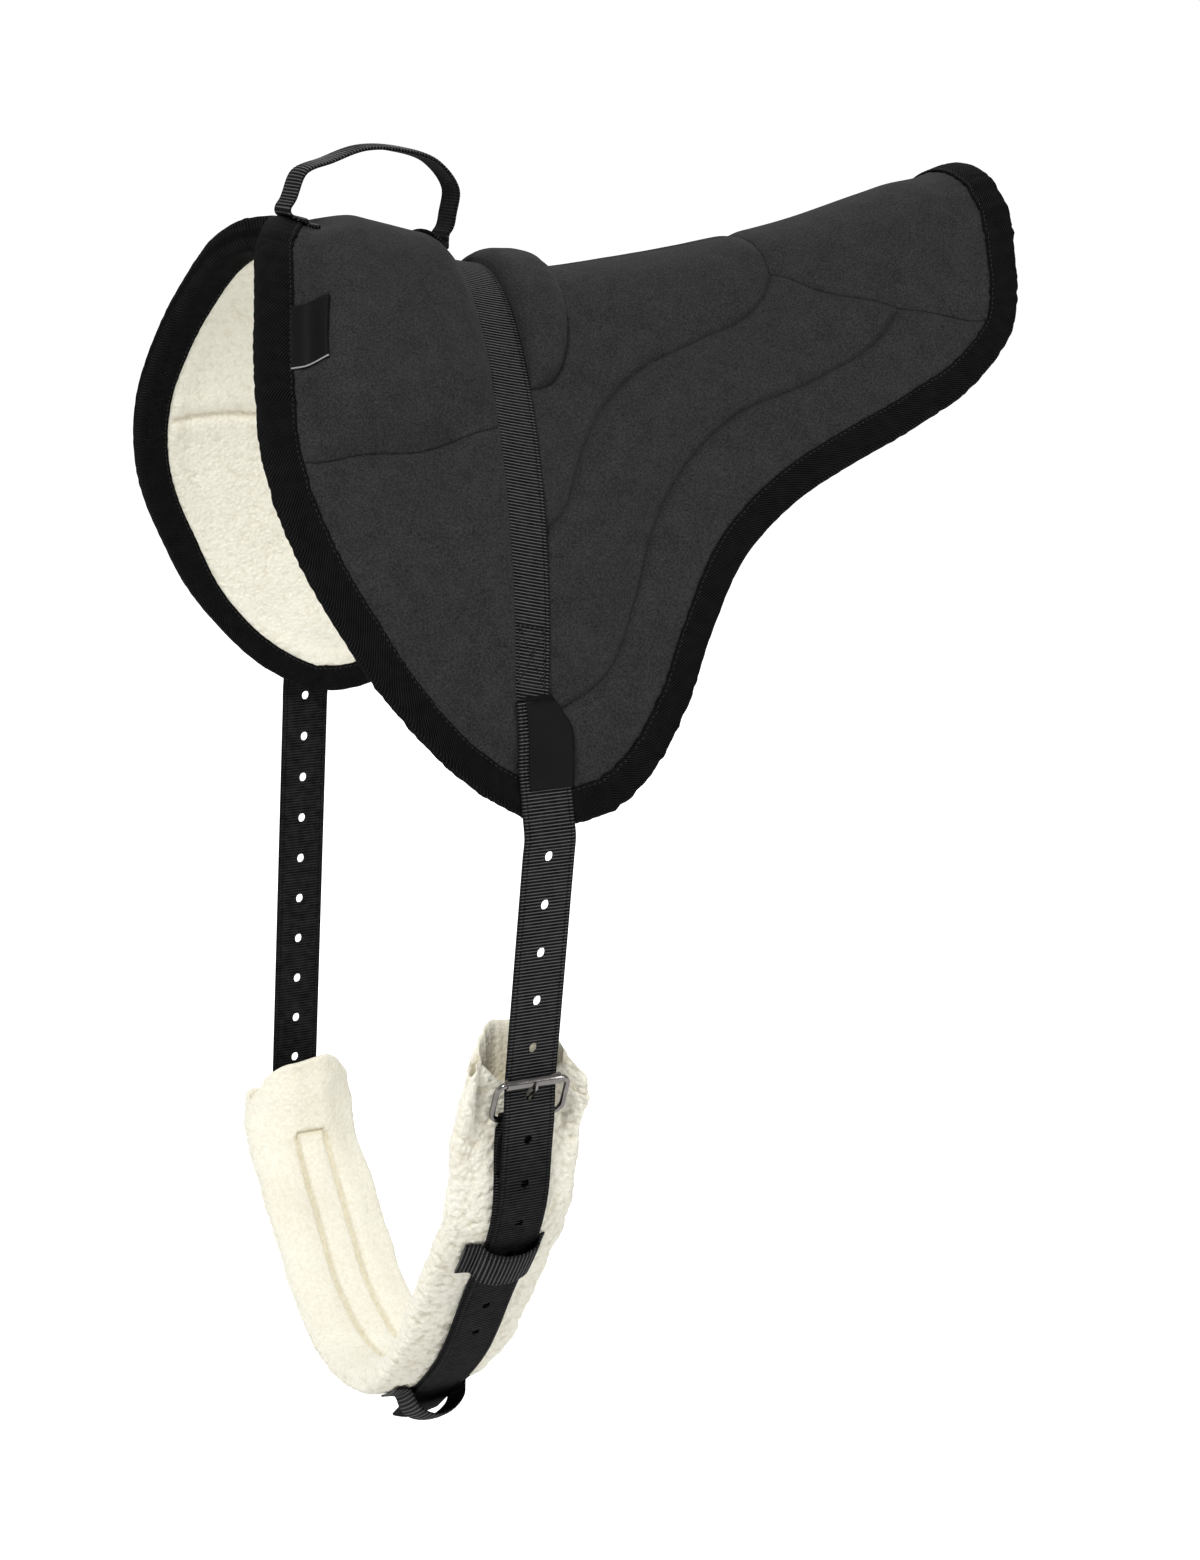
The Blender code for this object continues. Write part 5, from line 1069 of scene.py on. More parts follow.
    def build(self) -> None:
        """Makes every panel and the felt."""
        plan, borders, lap = self.plan, self.borders(), self.plan.lap_line(60)
        channels = (plan.upper_channel, plan.lower_channel)
        ridge = np.array([[0.0, 0.0], [plan.loin_front[0, 0], 0.0]])
        fronts, seats = (plan.pommel_seam, lap), (plan.loin_seam, ridge)
        self.build_panel("front_panel", borders["front"], plan.front_top, fronts, (), Side, ("front_panel",))
        seat_nodes = ("rear_panel", "felt_core")
        self.build_panel("rear_panel", borders["rear"], self.seat_top, seats, channels, Side, seat_nodes)
        self.build_stitches(channels)
        for name, nodes, height, seams in (
            ("pommel", ("pommel_cover", "pommel_foam"), plan.front_top, fronts),
            ("loin", ("loin_panel",), plan.top, (plan.loin_seam,)),
        ):
            half = borders[name]
            border = np.concatenate([half, half[half[:, 1] > 1e-6][::-1] * (1, -1)])
            self.build_panel(f"{name}_top", border, height, seams, (), (), nodes)
        self.build_felt()

    def build_felt(self) -> None:
        """Felt between the cover and the lining, which closes the seams from below."""
        plan = self.plan
        flat, faces = plan.half_grid(step=0.006, ridge=0.0004, depth=0.010)
        top = plan.top(flat) - self.cloth - 0.0012
        bottom = plan.under(flat) + plan.fleece + 0.0008
        for side in Side:
            mirrored = flat * (1, side.value)
            points, solid = shell(plan.back.place(mirrored, top), plan.back.place(mirrored, bottom), faces)
            obj = make_object(f"{side.label}_felt", points, solid, self.wardrobe.felt)
            declare(obj, "pad", "felt", f"{side.node}_felt_core")


@dataclass
class FleeceLining:
    """Fleece on the side that lies on the horse."""

    plan: PadPlan
    wardrobe: Wardrobe
    step: float = 0.0024
    curl: float = 0.0042
    curl_height: float = 0.0010
    seam: Pairs = (
        (-0.150, 0.214), (-0.120, 0.209), (-0.072, 0.199), (-0.02, 0.185), (0.03, 0.168), (0.08, 0.140),
        (0.11, 0.09), (0.12, 0.0),
    )

    def build(self) -> None:
        """Makes the lining of both sides."""
        plan = self.plan
        flat, faces = plan.half_grid(self.step, ridge=0.0003, depth=0.012)
        gap = gap_to(flat, through(self.seam, 120))
        edge = gap_to(flat, plan.hem) - plan.binding_width
        inside = ease(edge / 0.008)
        sewn = bell(gap, 0.0032) * inside
        under = plan.under(flat) + 0.0026 * sewn - 0.0012 * bell(gap - 0.012, 0.009) * inside
        under = under + 0.0016 * bell(flat[:, 1], 0.003) - 0.0018 * ease(1 - np.abs(edge - 0.006) / 0.012)
        thick = under + plan.fleece * 0.8
        used = sorted({int(k) for f in faces for k in f})
        for side in Side:
            mirrored = flat * (1, side.value)
            middle = plan.back.place(mirrored, under)
            curl = curls(middle, self.curl, 2.0 + side.value)
            soft = 0.0011 * ripple(middle, 0.030, 3.0 * side.value)
            lifted = under - curl * self.curl_height + 0.0005 + soft * (ease(edge / 0.02))
            points, solid = shell(plan.back.place(mirrored, lifted), plan.back.place(mirrored, thick), faces)
            # Painted shade: lower over the gaps between curls and along the sewn line, which the fleece shows as
            # darker colour.
            lit_share = (0.62 + 0.38 * curl - 0.55 * sewn)[used]
            obj = make_object(f"{side.label}_lining", points, solid, self.wardrobe.fleece, pack(0, 0, lit_share))
            declare(obj, "pad", "fleece", f"{side.node}_fleece_lining")


@dataclass
class EdgeBinding:
    """Twill tape folded round the hem, with its stitching."""

    plan: PadPlan
    wardrobe: Wardrobe
    step: float = 0.0026
    tape: float = 0.0011
    gap: float = 0.0009

    PROFILE = (
        (1.0, 1, -0.35), (0.97, 1, 0.35), (0.91, 1, 0.0), (0.83, 1, 0.7), (0.66, 1, 1.0), (0.46, 1, 1.05),
        (0.27, 1, 0.9), (0.14, 1, 0.35), (0.05, 0.72, 0.0), (0.0, 0.25, 0.0),
    )

    def hem_ring(self) -> tuple[Array, Array]:
        """Evenly spaced points round the whole hem, and the way inwards at each."""
        hem = self.plan.hem
        line = np.concatenate([hem, hem[-2:0:-1] * (1, -1), hem[:1]])
        line = resampled(line, self.step)[:-1]
        d = directions(np.concatenate([line[-1:], line, line[:1]]))[1:-1]
        even = np.array([np.convolve(np.r_[c[-6:], c, c[:6]], np.ones(13) / 13, "valid") for c in d.T]).T
        return line, -left_of(unit(even))

    def build(self) -> None:
        """Makes the tape and its rows of stitches."""
        plan = self.plan
        line, inward = self.hem_ring()
        s = np.arange(len(line)) * self.step
        leg = plan.binding_width
        wrinkle, fine, sway = (ripple(pack(s, 0, 0), *v) for v in ((0.013, 6.0), (0.0048, 8.0), (0.05, 1.0)))
        edge = leg + 0.0007 * sway
        turn = np.cross(np.roll(inward, 4, axis=0), np.roll(inward, -4, axis=0)) * np.sign(line[:, 1] + 1e-9)
        tight = 0.7 + 1.6 * np.clip(turn / 0.06, 0, 1)
        line = line - inward * (0.0006 * fine * tight)[:, None]
        outer = [*self.PROFILE, *((share, -way, rise) for share, way, rise in self.PROFILE[::-1])]
        rings, lays = [], []
        for layer in (1, 0):
            face = self.gap + self.tape * layer
            for share, way, rise in outer if layer else outer[::-1]:
                p = line + inward * (share * edge)[:, None]
                half = plan.edge_half(p)
                full = 0.0007 * rise + (0.0006 * wrinkle + 0.0006 * fine) * tight * min(1.0, max(rise, 0.3))
                height = way * (half + face * layer + full * (0.3 + 0.7 * layer) + (0.0002 if not layer else 0))
                if abs(way) < 1:
                    height = way * (half + face)
                    p = p + inward * (self.tape * (1 - layer))
                rings.append(plan.back.place(p, height))
                lays.append(pack((1 - share) * leg * (1 if way > 0 else -1), s))
        points, lay = (np.stack(v, axis=1).reshape(len(s) * len(rings), -1) for v in (rings, lays))
        faces = grid_faces(len(line), len(rings), True, True)[:, ::-1]
        obj = make_object("binding", points, faces, self.wardrobe.twill, lay)
        declare(obj, "pad", "binding_tape", "edge_binding")
        p = line + inward * (0.91 * leg)
        p = np.concatenate([p, p[:1]])
        height = plan.edge_half(p) + self.gap + self.tape
        runs = [
            stitches(plan.back.place(p, way * height), plan.back.normal(p) * way, pitch=0.0042, radius=0.00035)
            for way in (1, -1)
        ]
        sew("binding_stitches", runs, self.wardrobe.thread, "binding_tape")


@dataclass
class RearLobe:
    """Rear half of the pommel cushion, behind the webbing."""

    plan: PadPlan
    wardrobe: Wardrobe
    length: float = 0.046
    drop: float = 0.130
    extra: float = 0.0125

    def build(self) -> None:
        """Makes the cushion."""
        plan = self.plan
        t = np.linspace(-1, 1, 141)
        t = self.drop * np.sign(t) * (1 - (1 - np.abs(t)) ** 1.15)
        u = 0.5 - 0.5 * np.cos(np.linspace(0, math.pi, 33))
        front = plan.webbing_middle(t) + plan.webbing_width / 2 + 0.0006
        share = np.clip(1 - np.abs(t / self.drop) ** 2.6, 0.002, 1)
        rear = front + self.length * np.sqrt(share)
        p = pack(front[:, None] * (1 - u) + rear[:, None] * u, t[:, None])
        behind = np.clip((rear[:, None] - p[..., 0]) / 0.020, 0, 1)
        before = np.clip((p[..., 0] - front[:, None]) / 0.014, 0, 1)
        ends = np.clip((self.drop - np.abs(t))[:, None] / 0.026, 0, 1)
        round_off = np.sqrt(1 - (1 - behind) ** 2) * np.sqrt(1 - (1 - before) ** 2 * 0.85)
        round_off = (round_off * np.sqrt(np.clip(1 - (1 - ends) ** 2, 0, 1))).reshape(-1)
        flat = p.reshape(-1, 2)
        pull = 0.0006 * np.sin(flat[:, 1] * 2 * math.pi / 0.014 + 3 * ripple(flat, 0.04, 5.0))
        pull = pull * np.exp(-(behind.reshape(-1) * 0.020) / 0.008)
        base = plan.top(flat) + 0.0004
        top = base + plan.cover + 0.0002 + self.extra * round_off + pull
        top = top + 0.0005 * ripple(flat, 0.03, 12.0) * round_off
        points, faces = shell(plan.back.place(flat, top), plan.back.place(flat, base), grid_faces(len(t), len(u)))
        obj = make_object("pommel_lobe", points, faces, self.wardrobe.suede, crease=math.radians(50))
        declare(obj, "pad", "cover_cloth", "pommel_rear_lobe")


# Webbing


@dataclass
class Ribbon:
    """Ribbed webbing of one width, laid anywhere."""

    width: float = 0.038
    thickness: float = 0.002
    rib: float = 0.0023
    rib_depth: float = 0.00020
    hole_width: float = 0.006
    block: float = 0.0042

    def columns(self) -> Array:
        """Places across the ribbon, close together at its edges."""
        half, block = self.width / 2, self.block
        outer = block + (half - block) * np.array((0.22, 0.48, 0.74, 0.90, 0.975, 1.0))
        return np.concatenate([-outer[::-1], np.array((-1, -0.34, 0.34, 1)) * block, outer])

    def build(
        self, name: str, place: Place, start: float, end: float, finish: Material,
        holes: Pairs = (), tip: float = 0.0, slots: Pairs = (),
        slot_width: float = 0.008, face: int = 1, fade: float = 0.0,
    ) -> Object:
        """Makes a length of webbing.

        Args:
            name: the piece's name.
            place: gives points from lengths along and places across the middle surface.
            start: length at which it begins.
            end: length at which it ends.
            finish: its material.
            holes: length along and length of each punched hole.
            tip: length of its tapered tip.
            slots: stretches along it that are open in the middle.
            slot_width: width of those.
            face: 1 or -1 for the side with the bolder ribs.
            fade: length before its end over which the painted highlights on the ribs fade out; the ribs keep their
                shape.

        Returns:
            The piece.
        """
        count = max(3, int(round((end - start) / (self.rib / 4))) + 1)
        s = np.linspace(start, end, count)
        w = self.columns()
        taper = np.ones(count)
        if tip:
            taper = 0.10 + 0.90 * np.clip((end - s) / tip, 0, 1) ** 0.8
        grid_s, grid_w = np.repeat(s, len(w)), (w[None, :] * taper[:, None]).reshape(-1)
        faces = grid_faces(count, len(w))
        row, column = faces[:, 0] // len(w), faces[:, 0] % len(w)
        points_s, points_w, extra = [grid_s], [grid_w], []
        total = count * len(w)
        drop = np.zeros(len(faces), bool)
        c0 = int(np.argmin(np.abs(w + self.block)))
        c1 = len(w) - 1 - c0
        for at, length in holes:
            r0 = max(0, int(np.searchsorted(s, at - length / 2 - 0.0009)) - 1)
            r1 = min(count - 1, int(np.searchsorted(s, at + length / 2 + 0.0009)))
            drop |= (row >= r0) & (row < r1) & (column >= c0) & (column < c1)
            loop = [r0 * len(w) + c for c in range(c0, c1)] + [r * len(w) + c1 for r in range(r0, r1)]
            loop += [r1 * len(w) + c for c in range(c1, c0, -1)] + [r * len(w) + c0 for r in range(r1, r0, -1)]
            turn = np.arctan2(grid_w[loop] / w[c1], (grid_s[loop] - at) / ((s[r1] - s[r0]) / 2))
            points_s.append(at + length / 2 * np.cos(turn))
            points_w.append(self.hole_width / 2 * np.sin(turn))
            for k, here in enumerate(loop):
                k2 = (k + 1) % len(loop)
                extra.append((here, total + k, total + k2, loop[k2]))
            total += len(loop)
        all_s, all_w = np.concatenate(points_s), np.concatenate(points_w)
        middle_s, middle_w = all_s[faces].mean(axis=1), all_w[faces].mean(axis=1)
        for a, b in slots:
            drop |= (middle_s > a) & (middle_s < b) & (np.abs(middle_w) < slot_width / 2)
        kept = [tuple(f) for f in faces[~drop]]
        if extra:
            flat = pack(all_s, all_w)
            turns = [np.cross(flat[b] - flat[a], flat[c] - flat[b]) for a, b, c in (extra[0][:3], kept[0][:3])]
            kept += [f[::-1] for f in extra] if turns[0] * turns[1] < 0 else extra
        middle = place(all_s, all_w)
        ahead = place(all_s + PROBE, all_w) - place(all_s - PROBE, all_w)
        normal = unit(np.cross(ahead, place(all_s, all_w + PROBE) - middle))
        out = np.abs(all_w) - self.width / 2
        body = self.thickness / 2 * (1 - 0.5 * np.clip((out + 0.0009) / 0.0009, 0, 1) ** 2)
        rib = self.rib_depth * np.cos(all_s * 2 * math.pi / self.rib) * (1 - ease((out + 0.002) / 0.001))
        for at, length in holes:
            near = np.hypot((all_s - at) / (length / 2), all_w / (self.hole_width / 2))
            rib = rib * ease((near - 1.0) / 0.6)
        # Painted rib highlights fade over the last stretch before the end; the ribs' shape is not changed.
        highlight_share = 1 - 0.72 * ease((all_s - end + fade) / 0.080) * (fade > 0)
        bold, plain = (1.0, 0.15) if face > 0 else (0.15, 1.0)
        up, down = (body + rib * bold)[:, None], (body + rib * plain)[:, None]
        points, solid = shell(middle + normal * up, middle - normal * down, kept)
        used = sorted({k for f in kept for k in f})
        lay = [pack(all_w, all_s, highlight_share * k)[used] for k in (bold, plain)]
        return make_object(name, points, solid, finish, np.concatenate(lay), math.radians(70))


@dataclass
class StrapPlan:
    """Where the straps, the buckles and the girth lie."""

    plan: PadPlan
    hinge_drop: float = 0.008
    sewn: float = 0.130
    drops: tuple[float, float] = (0.172, 0.331)
    lean_in: tuple[float, float] = (0.050, 0.030)
    lean_forward: float = 0.058
    billet_x: float = -0.002
    billet_length: float = 0.585
    loose_end: float = 0.076
    webbing: float = 0.002
    gap: float = 0.0008
    wire: float = 0.0021
    buckle_height: float = 0.034
    buckle_gap: float = 0.0004
    roller: float = 0.0040
    tongue: float = 0.0013
    seam_gap: float = 0.0006
    girth_half_thickness: float = 0.0125
    girth_top_rise: float = 0.034
    girth_bottom: float = 0.838
    chape_lap: float = 0.040
    settle: float = 0.036
    pitch: float = 0.034
    arm_reach: float = 0.094

    GIRTH = (
        (-0.869, 0.307), (-0.668, 0.536), (-0.424, 0.787), (-0.14, 0.95), (0.166, 1.0), (0.459, 0.937),
        (0.69, 0.787), (0.80, 0.70),
    )

    def __post_init__(self) -> None:
        """Works out the buckles' sizes and the girth's line."""
        self.bar_drop = self.buckle_height - 2 * self.wire
        self.loop = self.wire + self.buckle_gap + self.tongue
        self.bar_depth = self.webbing / 2 + self.buckle_gap + self.loop + self.tongue
        self.fold = self.wire + self.buckle_gap + self.webbing / 2
        self.face_depth = self.bar_depth + self.loop + self.tongue + self.seam_gap
        self.roller_height = self.webbing / 2 + self.buckle_gap + self.roller
        self.base_height = self.gap + self.webbing / 2
        self.lap_height = self.base_height + self.webbing + self.gap
        self.over_height = self.lap_height + self.webbing + self.gap
        self.hole_at = 0.5 * self.pitch - 1.5 * self.roller
        self.girth = self.girth_line()
        self.girth_at = lengths(self.girth)
        self.girth_total = float(self.girth_at[-1])

    def drop(self, side: Side) -> float:
        """Length of the strap from the hem to the roller."""
        return self.drops[side is Side.FAR]

    def anchor(self, side: Side) -> Place:
        """Place function of the strap's sewn end: lengths run down the flap to the hinge."""
        plan = self.plan
        top = plan.flap_drop + self.hinge_drop - self.sewn
        sewn_rise = 3 * self.gap + self.webbing + plan.cover + self.webbing / 2
        hem_stack = 2 * self.gap + 0.0012 + self.webbing / 2

        def place(s: Array, w: Array) -> Array:
            """Points of the sewn end."""
            level = plan.back.spine(self.billet_x + w) - plan.back.spine(np.array(self.billet_x))
            p = pack(self.billet_x + w, side.value * (top + s + level))
            q = folded(p)
            depth = gap_to(q, plan.hem) * (q[..., 1] < plan.flap_drop)
            inside = ease((depth - plan.binding_width) / plan.binding_width)
            return plan.back.place(p, plan.base(p) + hem_stack + (sewn_rise - hem_stack) * inside)

        return place

    def hinge(self, side: Side) -> Array:
        """Where the strap bends below the hem."""
        return self.anchor(side)(np.array([self.sewn]), np.array([0.0]))[0]

    def direction(self, side: Side) -> Array:
        """The way that the strap hangs."""
        return unit(np.array([-self.lean_forward, -side.value * self.lean_in[side is Side.FAR], -1.0]))

    def roller_point(self, side: Side) -> Array:
        """Middle of the strap behind the roller."""
        return self.hinge(side) + self.direction(side) * self.drop(side)

    def at(self, side: Side, x: Array | float, s: Array | float, n: Array | float) -> Array:
        """Points in a buckle's axes: along its bars, down the strap and outwards."""
        down = unit(self.direction(side) * np.array([0, 1, 1]))
        out = np.array([0, -down[2], down[1]]) * side.value
        x, s, n = (np.asarray(v, float)[..., None] for v in (x, s, n))
        return self.roller_point(side) + x * np.array([1.0, 0, 0]) + s * down + n * out

    def girth_line(self) -> Array:
        """Middle line of the girth from the near end to the far end."""
        near = self.roller_point(Side.NEAR)
        far = self.roller_point(Side.FAR)
        depth = self.face_depth + self.girth_half_thickness
        spread, fall = abs(near[1]), self.girth_bottom + near[2]
        straight = (-self.girth_top_rise, 0, self.bar_drop + self.loop, self.bar_drop + 3 * self.loop)
        keys = [self.at(Side.NEAR, 0, s, -depth) for s in straight]
        keys += [np.array((0, y * spread, near[2] - z * fall)) for y, z in self.GIRTH]
        keys += [self.at(Side.FAR, 0, s, -depth) for s in straight[::-1]]
        keys = np.array(keys)
        keys[:, 0] = np.interp(np.arange(len(keys)), (0, len(keys) - 1), (near[0], far[0]))
        return through(keys, 400)

    def girth_point(self, s: Array) -> Array:
        """Points of the girth's middle line."""
        return read_at(self.girth, self.girth_at, s)

    def girth_out(self, s: Array) -> tuple[Array, Array]:
        """Direction along the girth and outward direction."""
        step = self.girth_total / 400
        d = self.girth_point(np.minimum(s + step, self.girth_total)) - self.girth_point(np.maximum(s - step, 0))
        d /= np.linalg.norm(d, axis=-1)[..., None]
        return d, pack(0 * d[..., 0], d[..., 2], -d[..., 1])

    def outer(self, s: Array, height: Array | float) -> Array:
        """Points above the girth's outer face."""
        s = np.asarray(s, float)
        lift = self.girth_half_thickness + np.asarray(height, float)
        return self.girth_point(s) + self.girth_out(s)[1] * lift[..., None]

    def along(self, side: Side, s: float) -> float:
        """The girth's length at s from this side's end."""
        return s if side is Side.NEAR else self.girth_total - s

    def start(self, side: Side) -> float:
        """How far along the girth this side's roller lies."""
        target = self.roller_point(side)
        samples = np.linspace(0, self.girth_total / 3, 120)
        places = self.girth_point(np.array([self.along(side, s) for s in samples]))
        return float(samples[int(np.argmin(np.linalg.norm(places[:, 1:] - target[1:], axis=1)))])

    def tail_keys(self, side: Side) -> Array:
        """Middle line of the strap's end, from the roller down the girth to its free tip."""
        bar = self.start(side) + self.bar_drop
        keys = [self.at(side, 0, s, 0) for s in (0.0003, 0.5 * self.bar_drop, self.bar_drop + self.loop)]
        over, under, face = self.over_height, self.lap_height, self.face_depth
        for s, height in (
            (0.62 * self.chape_lap, over + 0.55 * (face - over)), (self.chape_lap, over + 0.2 * (face - over)),
            (self.chape_lap + 0.3 * self.settle, over),
            (self.chape_lap + 0.7 * self.settle, 0.4 * over + 0.6 * under),
            (self.chape_lap + self.settle, under),
        ):
            keys.append(self.outer(np.array(self.along(side, bar + s)), height))
        left = self.billet_length - self.drop(side) - self.bar_drop - self.loose_end - self.chape_lap - self.settle
        count = max(1, int(round(left / self.pitch)))
        for k in range(1, count + 1):
            s = bar + self.chape_lap + self.settle + left * k / count
            keys.append(self.outer(np.array(self.along(side, s)), under))
        d = unit(keys[-1] - keys[-2])
        keys += [keys[-1] + d * self.loose_end * k / 2 for k in (1, 2)]
        keys = np.array(keys)
        middle = self.girth_point(np.array(self.girth_total / 2))[0]
        keys[:, 0] = np.interp(lengths(keys), (0, lengths(keys)[-1]), (self.roller_point(side)[0], middle))
        return keys

    def tail_height(self, s: float, tail: Array) -> float:
        """Height of the tail's middle over the girth's outer face at the girth's length s."""
        at = np.array(s)
        point = self.girth_point(at)
        d, out = self.girth_out(at)
        away = np.abs((tail - point) @ out) > self.arm_reach
        near = int(np.argmin(np.abs((tail - point) @ d) + 2 * away))
        return float((tail[near] - point) @ out) - self.girth_half_thickness


@dataclass
class Surcingle:
    """Webbing over the crown and down both flaps, with its box stitching."""

    plan: PadPlan
    wardrobe: Wardrobe
    end: float = 0.362
    box: tuple[float, ...] = (0.306, 0.346, -0.004, 0.0145)

    def __post_init__(self) -> None:
        """Reads the webbing's height along it."""
        self.keys = np.linspace(-self.end - 0.01, self.end + 0.01, 181)
        front = self.plan.webbing_front(self.keys)
        edges = [self.plan.top(pack(front + w, self.keys)) for w in (0.0, 0.019, 0.038)]
        self.levels = np.max(edges, axis=0) + self.plan.webbing_gap + self.plan.webbing_thickness / 2

    def place(self, s: Array, w: Array) -> Array:
        """Points of the webbing's middle surface, level across it."""
        return self.plan.back.place(pack(self.plan.webbing_middle(s) + w, s), np.interp(s, self.keys, self.levels))

    def build(self) -> None:
        """Makes the webbing and its stitching."""
        obj = Ribbon().build("surcingle", self.place, -self.end, self.end, self.wardrobe.webbing, face=-1)
        declare(obj, "pad", "webbing", "surcingle_webbing")
        runs = []
        for side in Side:
            low, high, a, b = self.box
            low, high = low * side.value, high * side.value
            corners = ((low, a), (high, a), (high, b), (low, b), (low, a), (high, b), (high, a), (low, b))
            for (s0, w0), (s1, w1) in [*zip(corners, corners[1:]), ((low, -0.017), (low, 0.017))]:
                u = np.linspace(0, 1, 24)
                s, w = s0 + (s1 - s0) * u, w0 + (w1 - w0) * u
                out = self.plan.back.normal(pack(self.plan.webbing_middle(s) + w, s))
                runs.append(stitches(self.place(s, w) + out * 0.00125, out, pitch=0.0036, radius=0.00045, share=0.8))
        sew("surcingle_stitches", runs, self.wardrobe.thread, "webbing")


@dataclass
class GrabHandle:
    """Ribbed webbing handle over the pommel, in two halves that rise from their sewn feet."""

    plan: PadPlan
    wardrobe: Wardrobe
    width: float = 0.030
    thickness: float = 0.003
    front_x: float = -0.100
    rear_x: float = 0.012
    rise: float = 0.052
    tab: float = 0.018

    def crown(self, x: float) -> Array:
        """Top of the pommel on the spine, or of the binding where that lies higher."""
        p = np.array([[x, 0.0]])
        return self.plan.back.place(p, self.level(p))[0]

    def level(self, p: Array) -> Array:
        """Height of the pommel's cover, or of the binding where that lies higher."""
        bound = gap_to(folded(p), self.plan.hem) < self.plan.binding_width + 0.0015
        return np.maximum(self.plan.front_top(p), self.plan.edge_half(p) + 0.002 * bound)

    def line(self) -> tuple[Array, Array, Array]:
        """Middle line of the whole handle, from tab to tab, and its two pivots."""
        radius = self.width / 2
        foot = 1.35 * radius + self.thickness
        at_front, at_rear = self.crown(self.front_x), self.crown(self.rear_x)
        front, rear = at_front + np.array([0.40, 0, 1.0]) * foot, at_rear + np.array([0.45, 0, 1.0]) * foot
        top = float(self.crown((front[0] + rear[0]) / 2)[2]) + self.rise
        lean_front, lean_rear = unit(np.array([0.40, 0, 1.0])), unit(np.array([0.20, 0, 1.0]))
        span = rear[0] - front[0]
        lift = np.array([0, 0, 0.0021])
        arc = ((0.20, 0.16), (0.42, 0), (0.66, 0.02), (0.90, 0.20))
        keys = [
            *(self.crown(self.front_x + self.tab * u) + lift for u in (1.0, 0.7, 0.35)),
            at_front + (0.0010, 0, 0.0042), front - lean_front * radius * 0.80, front + lean_front * 0.55 * radius,
            *((front[0] + u * span, 0, top - v * self.rise) for u, v in arc),
            rear + lean_rear * 0.9 * radius, rear - lean_rear * 0.1 * radius, at_rear + (0.0062, 0, 0.0105),
            *(self.crown(self.rear_x - self.tab * u) + lift for u in (0.15, 0.55, 1.0)),
        ]
        return through(keys, 400), front, rear

    def build(self) -> None:
        """Makes both halves."""
        line, front, rear = self.line()
        at = lengths(line)
        total = float(at[-1])

        def place(s: Array, w: Array) -> Array:
            """Points of the handle, which curls in a little at its edges."""
            end = np.minimum(s, total - s)
            curl = 0.0016 * (w / 0.015) ** 2 * ease((end - 0.02) / 0.03)
            d = read_at(directions(line), at, s)
            points = read_at(line, at, s) + pack(0, w, 0) - pack(-d[:, 2], 0, d[:, 0]) * curl[:, None]
            laid = pack(points[:, 0], w)
            laid = self.plan.back.place(laid, self.level(laid) + 0.0017)
            share = (1 - ease((end - self.tab + 0.004) / 0.010))[:, None]
            return points * (1 - share) + laid * share

        ribbon = Ribbon(width=self.width, thickness=0.0024, rib=0.0024, rib_depth=0.0003)
        for name, start, end, pivot in (("front", 0.0, total / 2, front), ("rear", total / 2, total, rear)):
            obj = ribbon.build(f"handle_{name}", place, start, end, self.wardrobe.webbing)
            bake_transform(obj)
            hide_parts("handle", f"handle_{name}_tab")


